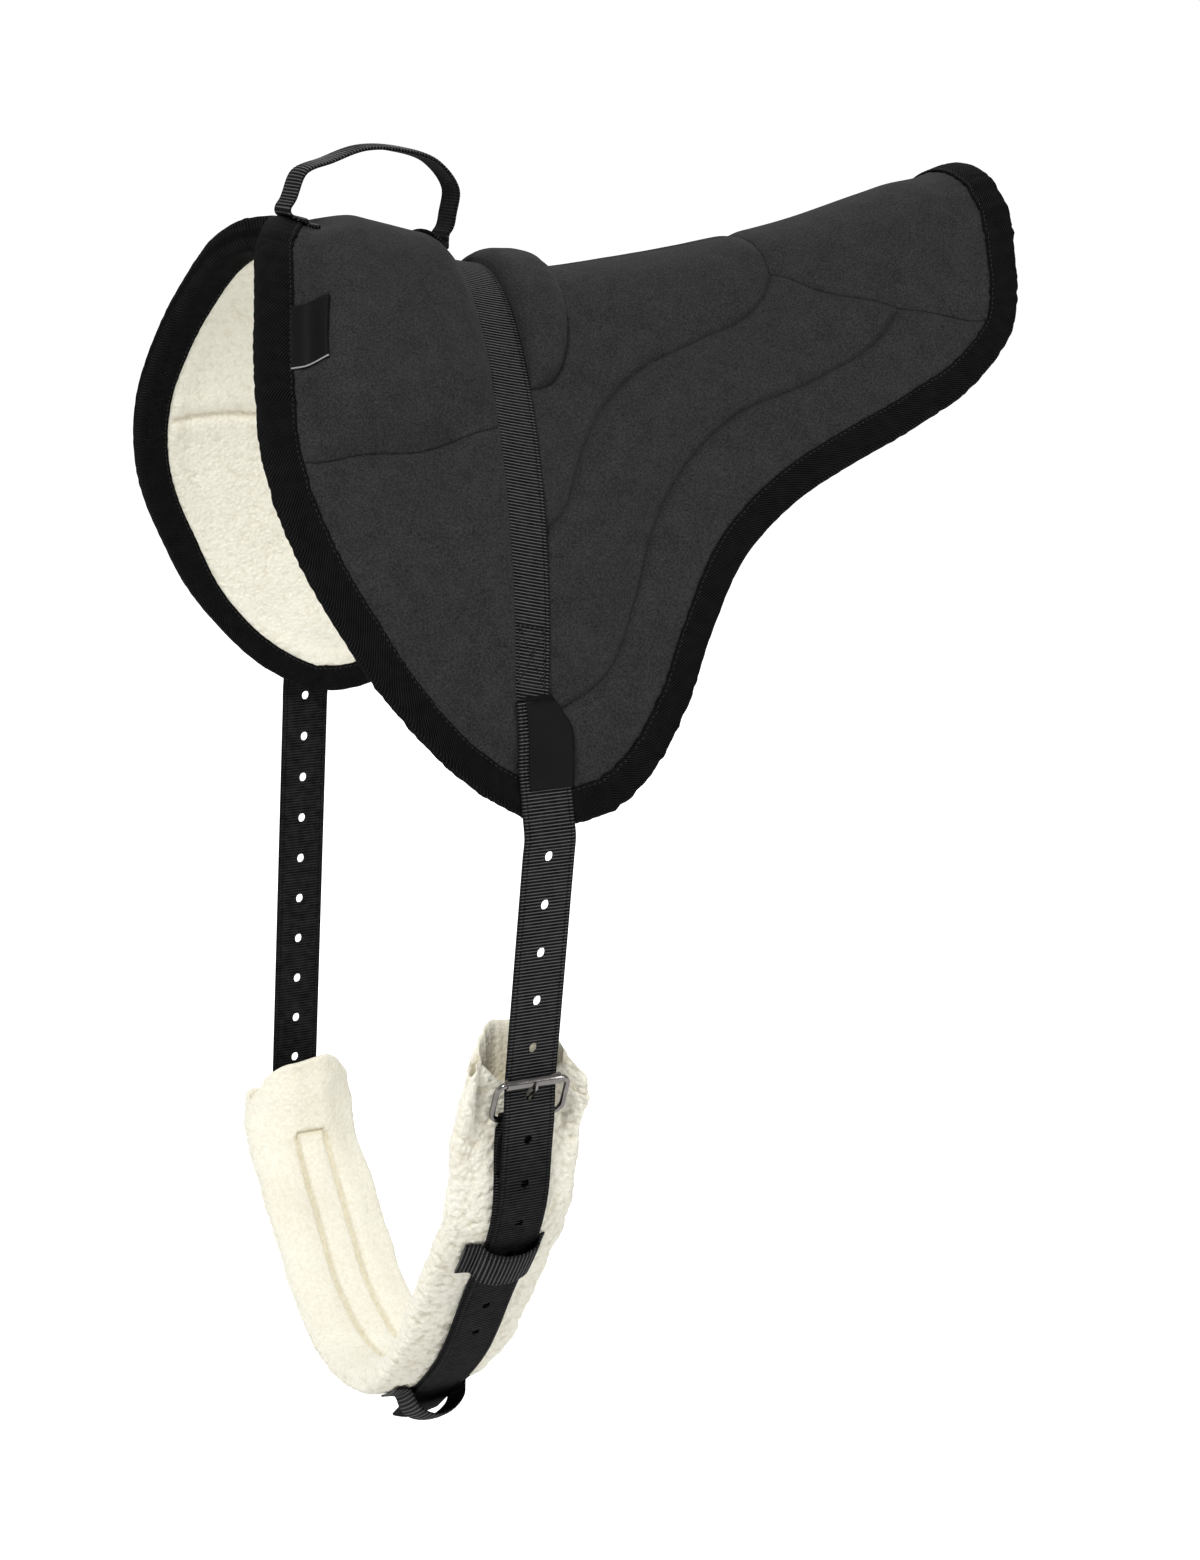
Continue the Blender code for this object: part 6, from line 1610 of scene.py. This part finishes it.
@dataclass
class Labels:
    """Two bare woven labels: one folded in the front seam and one round the strap's sewn end."""

    plan: PadPlan
    straps: StrapPlan
    wardrobe: Wardrobe

    def build(self) -> None:
        """Makes both labels."""
        self.build_seam_label()
        self.build_strap_label()

    def build_seam_label(self) -> None:
        """Makes the folded label beside the binding, with its pale lower edge."""
        plan = self.plan
        inner = plan.inset(plan.binding_width - 0.002)
        inner = inner[inner[:, 0] < 0]
        inner = inner[: int(np.argmax(inner[:, 1]))]
        t = np.linspace(0.100, 0.146, 24)
        u = np.linspace(0, 1, 14)[None, :]
        front = np.interp(t, inner[:, 1], inner[:, 0])
        p = pack(front[:, None] + u * 0.023, -t[:, None] + 0.002 * u).reshape(-1, 2)
        fold = np.tile(u, (len(t), 1)).reshape(-1)
        rise = plan.front_top(p) + 0.0012 + 0.0010 * fold**2 + 0.0004 * ripple(p, 0.012, 3.0)
        lift = plan.back.place(p, rise + 0.0012)
        points, faces = shell(lift, plan.back.place(p, rise), grid_faces(len(t), 14))
        obj = make_object("seam_label", points, faces, self.wardrobe.satin, pack(fold * 0.023, np.repeat(t, 14)))
        declare(obj, "pad", "label_tape", "side_label")
        points, faces = tube(lift.reshape(len(t), 14, 3)[-1] + (0, 0, -0.0004), radii=0.00055, sides=8)
        declare(make_object("seam_label_edge", points, faces, self.wardrobe.pale), "pad", "label_tape")

    def build_strap_label(self) -> None:
        """Makes the label on the near strap's sewn end, tapered towards its upper rear corner."""
        place = self.straps.anchor(Side.NEAR)
        s = np.linspace(0.0370, 0.0985, 44)
        w = np.linspace(-0.0125, 0.0225, 22)
        grid_s, flat_w = (g.reshape(-1) for g in np.meshgrid(s, w, indexing="ij"))
        taper = 0.5 + 0.5 * ease((grid_s - s[0]) / 0.026)
        grid_w = np.where(flat_w > 0, flat_w * taper, flat_w)
        middle = place(grid_s, grid_w)
        normal = unit(np.cross(place(grid_s + PROBE, grid_w) - middle, place(grid_s, grid_w + PROBE) - middle))
        normal *= -1 if normal[:, 1].sum() > 0 else 1
        puff = 0.0016 + 0.0002 * ripple(middle, 0.010, 2.0) - 0.0036 * ease((0.0435 - grid_s) / 0.0065)
        puff = (puff - 0.0038 * np.clip((flat_w - 0.0178) / 0.0047, 0, 1) ** 2)[:, None]
        points, faces = shell(middle + normal * (puff + 0.0007), middle + normal * puff, grid_faces(len(s), len(w)))
        obj = make_object("strap_band", points, faces, self.wardrobe.satin, pack(grid_w, grid_s))
        declare(obj, "pad", "label_tape", "strap_label")


@dataclass
class Straps:
    """Punched straps: sewn over the flap, hanging to the buckle, and lying along the girth."""

    straps: StrapPlan
    wardrobe: Wardrobe
    hole: float = 0.0075
    tongue_hole: float = 0.0095
    bend: float = 0.012
    start: float = 0.040

    def upper_place(self, side: Side) -> Place:
        """Place function from the sewn end to the roller."""
        plan = self.straps
        sewn, anchor = plan.sewn, plan.anchor(side)
        hinge, d = plan.hinge(side), plan.direction(side)

        def place(s: Array, w: Array) -> Array:
            """Points that go over from the flap to the hanging strap, which is tapered at its sewn end."""
            w = w * np.where(w > 0, 0.5 + 0.5 * ease((s - self.start + 0.004) / 0.026), 1)
            hung = hinge + d * (s - sewn)[:, None] + pack(w, 0 * w, 0 * w)
            share = ease((s - sewn + self.bend) / (2 * self.bend))[:, None]
            return anchor(np.minimum(s, sewn + self.bend), w) * (1 - share) + hung * share

        return place

    def holes_above(self, side: Side) -> list[float]:
        """Lengths of the holes above the roller, from the sewn end."""
        plan = self.straps
        at = plan.sewn + plan.drop(side) + plan.hole_at - plan.pitch
        found = []
        while at > plan.sewn - 0.020:
            if at < plan.sewn + plan.drop(side) - self.hole:
                found.append(at)
            at -= plan.pitch
        return found[::-1]

    def build(self) -> None:
        """Makes both straps, each in an upper and a lower piece."""
        plan = self.straps
        for side in Side:
            place, hinge = self.upper_place(side), plan.hinge(side)
            holes = [(at, self.hole) for at in self.holes_above(side)]
            whole = plan.sewn + plan.drop(side)
            cut = plan.sewn + 0.5 * plan.drop(side) + 0.001 if side is Side.NEAR else whole - 0.0004
            for at, _ in holes:
                if abs(cut - at) < self.hole:
                    cut = at + plan.pitch / 2
                    break
            upper = Ribbon().build(
                f"{side.label}_strap_upper", place, self.start, cut, self.wardrobe.webbing,
                [h for h in holes if h[0] < cut], face=-side.value,
            )
            f"{side.node}_strap"
            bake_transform(upper)
            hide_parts(f"{side.node}_billet_anchor", f"{side.node}_billet")
            self.build_lower(side, cut, whole, [h for h in holes if h[0] > cut])

    def build_lower(self, side: Side, cut: float, whole: float, above: Pairs) -> None:
        """Makes the strap from the cut on, through the buckle and down the girth to its point.

        Args:
            side: the strap's side.
            cut: length at which the upper piece ends.
            whole: length at the roller.
            above: holes between the two.
        """
        plan = self.straps
        tail = through(plan.tail_keys(side), 300)
        at = lengths(tail)
        total = float(at[-1])
        tucked = side is Side.FAR
        back = plan.at(side, 0, 0, -1) - plan.at(side, 0, 0, 0)

        def lower(s: Array, w: Array) -> Array:
            """Points of the hanging part and then of the tail."""
            past = s - whole
            behind = np.outer(0.0024 * (1 - ease(past / 0.006)) * tucked, back) + pack(w, 0, 0)
            share = ease((past + 0.003) / 0.006)[:, None]
            extended = tail[0] + plan.direction(side) * past[:, None] + behind
            return extended * (1 - share) + (read_at(tail, at, np.maximum(past, 0)) + behind) * share

        runs = [plan.hole_at + plan.pitch * k for k in range(1, 8) if plan.hole_at + plan.pitch * (k + 1) < total]
        holes = [*above, (whole + plan.hole_at, self.tongue_hole), *((whole + run, self.hole) for run in runs)]
        start = whole - 0.0035 if tucked else cut
        obj = Ribbon().build(
            f"{side.label}_strap_lower", lower, start, whole + total, self.wardrobe.webbing, holes, tip=0.016,
            face=-side.value, fade=total,
        )
        if tucked:
            declare(obj, "girth", "webbing", "right_billet_tail")
        else:
            roller = plan.roller_point(side)
            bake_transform(obj)
            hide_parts("left_billet_tail", "left_billet")


@dataclass
class RollerBuckle:
    """Frame, roller and tongue of one buckle."""

    straps: StrapPlan
    wardrobe: Wardrobe
    width: float = 0.057
    corner: float = 0.007
    roller_length: float = 0.040
    bore: float = 0.0026

    def frame_path(self, side: Side) -> Array:
        """Middle line of the frame's wire."""
        plan = self.straps
        half = self.width / 2 - plan.wire
        drop, corner = plan.bar_drop, self.corner
        slope = -(plan.bar_depth + plan.roller_height) / drop
        loop = []
        for cx, cs, start in ((half, 0, 0), (half, drop, 90), (-half, drop, 180), (-half, 0, 270)):
            mx = cx - math.copysign(corner, cx)
            ms = cs + (corner if cs == 0 else -corner)
            turn = np.radians(start - 90 + np.linspace(0, 90, 9))
            loop += [(mx + corner * math.cos(a), ms + corner * math.sin(a)) for a in turn]
        flat = np.array(loop)
        flat = resampled(np.concatenate([flat, flat[:1]]), 0.0014)[:-1]
        return plan.at(side, flat[:, 0], flat[:, 1], plan.roller_height + slope * flat[:, 1])

    def roller_mesh(self, side: Side) -> Mesh:
        """Points and faces of the roller, with rounded ends and its bore."""
        plan = self.straps
        half, outer = self.roller_length / 2, plan.roller
        profile = [(self.bore, -half), (outer - 0.0006, -half), (outer - 0.0001, -half + 0.0004)]
        profile += [(outer, x) for x in np.linspace(-half + 0.001, half - 0.001, 6)]
        profile += [(outer - 0.0001, half - 0.0004), (outer - 0.0006, half), (self.bore, half)]
        turn = np.arange(40) * 2 * math.pi / 40
        rings = [
            plan.at(side, np.full(40, x), r * np.cos(turn), plan.roller_height + r * np.sin(turn))
            for r, x in profile
        ]
        faces = grid_faces(len(profile), 40, True, True)
        return np.concatenate(rings), [tuple(f) for f in faces]

    def tongue_path(self) -> Array:
        """Middle line of the tongue in the buckle's plane: down the strap and outwards."""
        plan = self.straps
        path = []
        for k in range(10):
            angle = math.radians(140 - 305 * k / 9)
            path.append((plan.bar_drop + plan.loop * math.cos(angle), -plan.bar_depth + plan.loop * math.sin(angle)))
        clear = plan.roller + plan.buckle_gap + plan.tongue
        path.append((plan.bar_drop - 1.8 * plan.loop, -plan.bar_depth + 0.2 * plan.loop))
        path.append((plan.hole_at + 2.6 * plan.tongue, -2.9 * plan.tongue))
        path.append((plan.hole_at - 1.2 * plan.tongue, 2.9 * plan.tongue))
        for angle in (38, 64, 90, 108):
            reach = clear * (1.08 if angle < 90 else 1.0)
            a = math.radians(angle)
            path.append((reach * math.cos(a), plan.roller_height + reach * math.sin(a)))
        return np.array(path)

    def build(self, side: Side) -> None:
        """Makes one buckle."""
        plan, nickel = self.straps, self.wardrobe.nickel
        points, faces = tube(self.frame_path(side), plan.wire, 16, closed=True)
        wire = make_object(f"{side.label}_buckle", points, faces, nickel)
        declare(wire, "girth", "buckle_metal", f"{side.node}_buckle_frame")
        points, faces = self.roller_mesh(side)
        a, b, c, d = (points[[f[k] for f in faces]] for k in range(4))
        if (np.cross(a, b) * c).sum() + (np.cross(a, c) * d).sum() < 0:
            faces = [f[::-1] for f in faces]
        roller = make_object(f"{side.label}_buckle_roller", points, faces, nickel, crease=math.radians(35))
        declare(roller, f"{side.node}_roller", "buckle_metal", f"{side.node}_roller")
        flat = through(self.tongue_path(), 90)
        share = np.linspace(0, 1, len(flat))
        radii = plan.tongue * (1 - 0.25 * ease((share - 0.75) / 0.25)) * (1 - 0.35 * (share > 0.985))
        points, faces = tube(plan.at(side, np.zeros(len(flat)), flat[:, 0], flat[:, 1]), radii, 12)
        pin = make_object(f"{side.label}_buckle_tongue", points, faces, nickel, crease=math.radians(60))
        declare(pin, f"{side.node}_tongue", "buckle_metal", f"{side.node}_tongue")


@dataclass
class Girth:
    """Fleece girth with its webbing and keepers."""

    straps: StrapPlan
    wardrobe: Wardrobe
    half_width: float = 0.047
    flat_half: float = 0.031
    cup: float = 0.020
    cup_length: float = 0.150
    oblique: float = 0.038
    corner: float = 0.030
    slit: float = 0.060
    bar_at: float = 0.066
    curl: float = 0.0052
    curl_height: float = 0.0026
    step: float = 0.0014
    around: int = 170

    LIP = (
        (0.0006, -0.0012), (0.0017, -0.0020), (0.0032, -0.0020), (0.0047, -0.0008), (0.0058, 0.0016),
        (0.0065, 0.0048), (0.0070, 0.0085), (0.0073, 0.013),
    )

    def __post_init__(self) -> None:
        """Works out places across and through the girth of points at even spaces round it."""
        self.half = self.straps.girth_half_thickness
        turn = np.linspace(0, 2 * math.pi, 8001)
        c, up = np.cos(turn), np.sin(turn)
        line = pack(
            self.half_width * np.sign(c) * np.abs(c) ** 0.70, self.half * np.sign(up) * np.abs(up) ** 0.60
        )
        at = lengths(line)
        self.across, self.through = read_at(line, at, np.linspace(0, at[-1], self.around, endpoint=False)).T

    def ring(self, s: Array) -> tuple[Array, Array]:
        """Sections round the girth.

        Args:
            s: lengths along the girth.

        Returns:
            Points and outward directions, one row of each for a section.
        """
        plan, across, side = self.straps, self.across, np.abs(self.across)
        end = np.minimum(s, plan.girth_total - s)
        cup = self.cup * (1 - ease(end / self.cup_length))
        within = ease(0.5 - 0.5 * self.through / self.half)
        flat_half = self.flat_half - 0.022 * within
        n = self.through[None, :] + cup[:, None] * ease((side - flat_half) / (self.half_width - flat_half))
        low = 1 - ease(end / (2 * self.oblique))
        outer = (1 - within) * (1 - ease((side - 0.012) / 0.034))
        toward = np.where(s < plan.girth_total / 2, 1, -1)[:, None]
        edge = np.clip((side - 0.014) / (self.half_width - 0.014), 0, 1)
        corner = self.corner * edge**1.8 + 0.006 * (1 + toward * across / self.half_width)
        slant = self.oblique * low[:, None] * outer[None, :] + corner * (1 - ease(end / 0.080))[:, None]
        d, out = plan.girth_out(s)
        point = plan.girth_point(s)[:, None, :]
        draw = 1 - 0.05 * (1 - ease(end / 0.03))[:, None]
        places = (
            point + pack(across * draw, 0, 0) + out[:, None, :] * n[..., None]
            + d[:, None, :] * (toward * slant)[..., None]
        )
        ahead = np.roll(places, -1, axis=1) - np.roll(places, 1, axis=1)
        normal = unit(np.cross(ahead, np.gradient(places, axis=0)))
        return places, -normal if (normal * (places - point)).sum() < 0 else normal

    def relief(self, s: Array, places: Array) -> tuple[Array, Array]:
        """Height of the curls, the sewn lines and the unevenness on the sleeve, and its painted shade.

        Args:
            s: lengths along the girth.
            places: its points, a row for each length.

        Returns:
            Heights, and the fleece's painted shade as a share of light, from 0 in creases and sewn grooves to 1 on
            the curls.
        """
        side = np.abs(self.across)
        inner = ease(0.5 - self.through / self.half)
        end = np.minimum(s, self.straps.girth_total - s)
        line = bell(side - 0.0125, 0.0022) * inner
        run = ease((end - self.bar_at) / 0.003)
        bar = bell(end - self.bar_at, 0.0022)[:, None] * (inner * (side < 0.0125))[None, :]
        sewn = np.maximum(line[None, :] * run[:, None], bar)
        swell = bell(side - 0.024, 0.009) + 0.6 * bell(side, 0.008)
        puff = 0.0016 * (swell * inner)[None, :] * run[:, None]
        flat = places.reshape(-1, 3)
        far = ease(s / self.straps.girth_total * 2.4 - 0.75)[:, None]
        bold = 1 - 0.78 * far * inner[None, :]
        curl, fine, soft = (
            made.reshape(places.shape[:2])
            for made in (curls(flat, self.curl, 1.0), curls(flat, 0.0026, 6.0), ripple(flat, 0.026, 5.0))
        )
        lump = 0.85 * curl + 0.30 * fine
        height = self.curl_height * bold * lump + 0.0018 * soft - 0.0046 * sewn + puff - 0.0017
        # The second value is painted shade: darker between the curls and along the sewn lines.
        return height, 0.76 + 0.55 * bold * (lump - 0.75) - 0.55 * sewn

    def build_sleeve(self) -> None:
        """Makes the fleece tube with its open, turned-in ends and the channel sewn on its inner face."""
        plan = self.straps
        total = plan.girth_total
        s = np.linspace(0, total, int(total / self.step) + 1)
        places, normal = self.ring(s)
        height, lit_share = self.relief(s, places)
        places = places + normal * height[..., None]
        rings, lit_shares = list(places), list(lit_share)
        partner = (self.around - np.arange(self.around)) % self.around
        limit = self.half_width - self.half
        core = [int(np.argmin(np.abs(self.across - c))) for c in np.clip(self.across, -limit, limit)]
        for row, turn, slit in ((0, 1, self.slit), (-1, -1, total - self.slit)):
            rim = places[row]
            way = plan.girth_out(s[[row]])[0][0] * turn
            inward = ((rim + rim[partner]) / 2)[core] - rim
            inward = unit(inward - np.outer(inward @ way, way))
            lip = [rim + inward * a + way * b for a, b in self.LIP]
            last, middle = lip[-1], self.core_line(slit)
            lip += [middle + (last - middle) * share for share in (0.75, 0.5, 0.25, 0.05)]
            # Painted shade: each ring of the turned-in lip is darker the deeper it lies in the pocket.
            tone = [np.full(self.around, 0.85 - 0.07 * k) for k in range(len(lip))]
            rings = lip[::-1] + rings if turn > 0 else rings + lip
            lit_shares = tone[::-1] + lit_shares if turn > 0 else lit_shares + tone
        flat = np.array(rings).reshape(-1, 3)
        faces = grid_faces(len(rings), self.around, False, True)
        a, b, c = (flat[faces[:, k]] for k in range(3))
        if (np.cross(b - a, c - a) * (a - flat.mean(0))).sum() < 0:
            faces = faces[:, ::-1]
        last = (len(rings) - 1) * self.around
        caps = [tuple(range(self.around)), tuple(range(last, last + self.around))]
        edges = {(int(f[k]), int(f[(k + 1) % 4])) for f in faces for k in range(4)}
        ends = [cap[::-1] if (cap[0], cap[1]) in edges else cap for cap in caps]
        lay = pack(0, 0, np.array(lit_shares).reshape(-1))
        obj = make_object("girth_fleece", flat, [tuple(f) for f in faces] + ends, self.wardrobe.fleece, lay)
        declare(obj, "girth", "fleece", "girth_sleeve", "girth_foam")

    def core_line(self, s: float) -> Array:
        """Points midway through the girth at one length along it, one for each of the section's."""
        plan, at = self.straps, np.array(s)
        cup = self.cup * (1 - float(ease(np.array(min(s, plan.girth_total - s) / self.cup_length))))
        flat_half = self.flat_half - 0.011
        rise = cup * ease((np.abs(self.across) - flat_half) / (self.half_width - flat_half))
        return plan.girth_point(at) + pack(self.across * 0.9, 0, 0) + np.outer(rise, plan.girth_out(at)[1])

    def webbing_path(self) -> tuple[Array, list[tuple[float, float]]]:
        """Line of the girth's webbing from one fold's end to the other's, and its slotted stretches."""
        plan = self.straps
        rows, bars = [], {}
        for side in Side:
            bar = plan.start(side) + plan.bar_drop
            slot = plan.loop + plan.tongue + plan.buckle_gap
            run = []
            for share in (1, 0.62, 0.32):
                s = share * plan.chape_lap
                rise = plan.face_depth - plan.bar_depth + plan.fold - plan.lap_height
                lift = plan.lap_height + rise * float(ease(1 - s / plan.chape_lap * 1.15))
                run.append(plan.outer(np.array(plan.along(side, bar + s)), lift))
            run.append(plan.at(side, 0, plan.bar_drop + slot, plan.fold - plan.bar_depth))
            for angle in np.radians(np.arange(90, 271, 15)):
                s = plan.bar_drop + plan.fold * math.cos(angle)
                run.append(plan.at(side, 0, s, plan.fold * math.sin(angle) - plan.bar_depth))
            run.append(plan.at(side, 0, plan.bar_drop + slot, -plan.fold - plan.bar_depth))
            bars[side] = bar + 1.4 * slot
            rows.append(run)
        first, last = bars[Side.NEAR], plan.girth_total - bars[Side.FAR]
        middle = [plan.outer(np.array(s), plan.base_height) for s in np.linspace(first, last, 60)]
        path = np.array(rows[0] + middle + rows[1][::-1])
        run = lengths(path)
        near = (float(run[3]), float(run[len(rows[0]) - 1]))
        other = len(path) - len(rows[1])
        return path, [near, (float(run[other]), float(run[len(path) - 4]))]

    def build_webbing(self) -> None:
        """Makes the webbing along the girth, folded round both chape bars."""
        path, slots = self.webbing_path()
        at = lengths(path)

        def place(s: Array, w: Array) -> Array:
            """Points of the webbing."""
            return read_at(path, at, s) + pack(w, 0, 0)

        end, finish = float(at[-1]), self.wardrobe.webbing
        obj = Ribbon().build("girth_strap", place, 0.0, end, finish, slots=slots, slot_width=0.0083)
        declare(obj, "girth", "webbing", "girth_webbing")

    def build_keeper(self, name: str, node: str, side: Side, s: float, sag: float) -> None:
        """Makes one keeper: a loose band over the tail, sewn down on one side or both.

        Args:
            name: the piece's name.
            node: the frame's keeper that it stands for.
            side: the end of the girth from which s is measured.
            s: length along the girth.
            sag: how far the band's middle stands off the strap and hangs down.
        """
        plan = self.straps
        low = plan.gap + 0.0016
        edge = 0.019 + 2 * plan.gap + 0.0008
        over = plan.tail_height(plan.along(side, s), through(plan.tail_keys(side), 300))
        over = over + 0.001 + plan.gap + 0.0008 + 0.0004
        foot = ((-edge - 0.001, 0.15), (-edge, 0.5), (-edge + 0.0006, 0.85))
        rise = [(x, low + share * (over - low)) for x, share in foot]
        crown = ((-0.90, 0.25), (-0.5, 0.8), (0, 1), (0.5, 0.85), (0.90, 0.3))
        profile = through([
            (-edge - 0.012, low), (-edge - 0.0048, low), *rise,
            *((x * edge, over + share * sag) for x, share in crown),
            *((-x, y) for x, y in rise[::-1]), (edge + 0.0048, low),
        ], 200)
        at = lengths(profile)

        def place(length: Array, w: Array) -> Array:
            """Points of the band: length round the strap, w along it."""
            x, n = read_at(profile, at, length).T
            hang = 0.5 * sag * np.clip(1 - (x / edge) ** 2, 0, 1)
            where = plan.along(side, s) - (w + hang) * side.value
            share = np.clip(np.abs(x) / self.half_width, 0, 1)
            fall = self.half * (1 - (1 - share ** (2 / 0.70)) ** 0.30)
            height = self.half + n - fall * ease((np.abs(x) - edge + 0.002) / 0.004)
            return plan.girth_point(where) + pack(x, 0, 0) + plan.girth_out(where)[1] * height[:, None]

        band = Ribbon(width=0.034, thickness=0.0016, rib=0.0030, rib_depth=0.00030)
        obj = band.build(name, place, 0.0, float(at[-1]), self.wardrobe.band, face=side.value)
        declare(obj, "girth", "webbing", node)

    def build(self) -> None:
        """Makes the whole girth."""
        self.build_sleeve()
        self.build_webbing()
        self.build_keeper("near_keeper", "left_upper_keeper", Side.NEAR, 0.175, 0.0070)
        self.build_keeper("far_keeper", "right_upper_keeper", Side.FAR, 0.175, 0.0012)
        self.build_keeper("tip_keeper", "lower_keeper", Side.NEAR, 0.385, 0.0150)


# Studio


@dataclass
class Studio:
    """Camera, lamps, floor and backdrop."""

    azimuth: float = math.radians(-25.755)
    elevation: float = math.radians(14.42)
    roll: float = math.radians(0.585)
    distance: float = 2.1527
    target: Triple = (0.150, 0.0, -0.378)
    focal: float = 2816.95
    image: tuple[int, int] = (1200, 1560)
    floor: float = -0.905

    LAMPS = (
        ("key", (-1.5, -1.9, 2.3), 1.0, 80.0), ("fill", (1.9, -2.3, 0.5), 1.6, 25.0),
        ("rim", (0.8, 2.2, 1.8), 1.6, 32.0), ("front", (-2.4, 0.4, -0.2), 1.2, 14.0),
    )

    def build_camera(self) -> None:
        """Sets the camera at the photograph's view."""
        a, e = self.azimuth, self.elevation
        back = Vector((math.sin(a) * math.cos(e), -math.cos(a) * math.cos(e), math.sin(e)))
        right = Vector((math.cos(a), math.sin(a), 0))
        up = back.cross(right)
        c, s = math.cos(self.roll), math.sin(self.roll)
        x, y = right * c + up * s, up * c - right * s
        data = bpy.data.cameras.new("camera")
        data.sensor_width = 36.0
        data.lens = self.focal / max(self.image) * data.sensor_width
        data.clip_start, data.clip_end = 0.05, 60.0
        camera = bpy.data.objects.new("camera", data)
        turn = Matrix((x, y, back)).transposed().to_4x4()
        camera.matrix_world = Matrix.Translation(Vector(self.target) + back * self.distance) @ turn
        bpy.context.scene.collection.objects.link(camera)
        bpy.context.scene.camera = camera

    def build_lamp(self, name: str, place: Sequence[float], size: float, power: float) -> None:
        """Adds one soft lamp that looks at the object."""
        data = bpy.data.lights.new(name, "AREA")
        data.shape = "DISK"
        data.size = size
        data.energy = power
        lamp = bpy.data.objects.new(name, data)
        lamp.location = place
        aim = Vector(self.target) - Vector(place)
        lamp.rotation_euler = aim.to_track_quat("-Z", "Y").to_euler()
        bpy.context.scene.collection.objects.link(lamp)

    def build_world(self) -> None:
        """White surroundings that light the object softly."""
        world = bpy.data.worlds.new("studio")
        world.use_nodes = True
        tree = world.node_tree
        background = tree.nodes["Background"]
        rays = tree.nodes.new("ShaderNodeLightPath")
        seen = tree.nodes.new("ShaderNodeMath")
        seen.operation = "MAXIMUM"
        tree.links.new(rays.outputs["Is Camera Ray"], seen.inputs[0])
        tree.links.new(rays.outputs["Is Transmission Ray"], seen.inputs[1])
        strength = tree.nodes.new("ShaderNodeMapRange")
        strength.inputs["To Min"].default_value = 0.30
        strength.inputs["To Max"].default_value = 1.0
        tree.links.new(seen.outputs[0], strength.inputs["Value"])
        background.inputs["Color"].default_value = (1, 1, 1, 1)
        tree.links.new(strength.outputs[0], background.inputs["Strength"])
        bpy.context.scene.world = world

    def build_floor(self) -> None:
        """Pale floor below the object."""
        g = Graph("floor")
        rays = g.node("LightPath", {}, "Is Camera Ray")
        white = (1, 1, 1, 1)
        g.dress(
            Base_Color=(0.92, 0.92, 0.92, 1), Roughness=0.9, Specular_IOR_Level=0.1, Emission_Color=white,
            Emission_Strength=rays * 0.78,
        )
        corners = ((-1, -1), (1, -1), (1, 1), (-1, 1))
        points = np.array([(30.0 * x, 30.0 * y, self.floor) for x, y in corners])
        make_object("floor", points, [(0, 1, 2, 3)], g.material)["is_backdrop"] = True

    def build(self) -> None:
        """Sets up the whole studio."""
        self.build_camera()
        for lamp in self.LAMPS:
            self.build_lamp(*lamp)
        self.build_world()
        self.build_floor()
        bpy.context.scene.view_settings.view_transform = "Standard"


def main() -> None:
    """Builds the studio and every piece."""
    logging.basicConfig(level=logging.INFO, format="%(message)s")
    Studio().build()
    wardrobe = Wardrobe()
    plan = PadPlan()
    straps = StrapPlan(plan)
    for maker in (PadCover, FleeceLining, EdgeBinding, RearLobe, Surcingle, GrabHandle):
        maker(plan, wardrobe).build()
    Straps(straps, wardrobe).build()
    Labels(plan, straps, wardrobe).build()
    Girth(straps, wardrobe).build()
    buckle = RollerBuckle(straps, wardrobe)
    for side in Side:
        buckle.build(side)
    boxes = {"cad": [list(c) for c in CAD_BOX], "visual": [list(c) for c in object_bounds()]}
    for name, (low, high) in boxes.items():
        LOG.info("%s box: %s", name, " x ".join(f"{h - l:.4f}" for l, h in zip(low, high)))


if __name__ == "__main__":
    main()
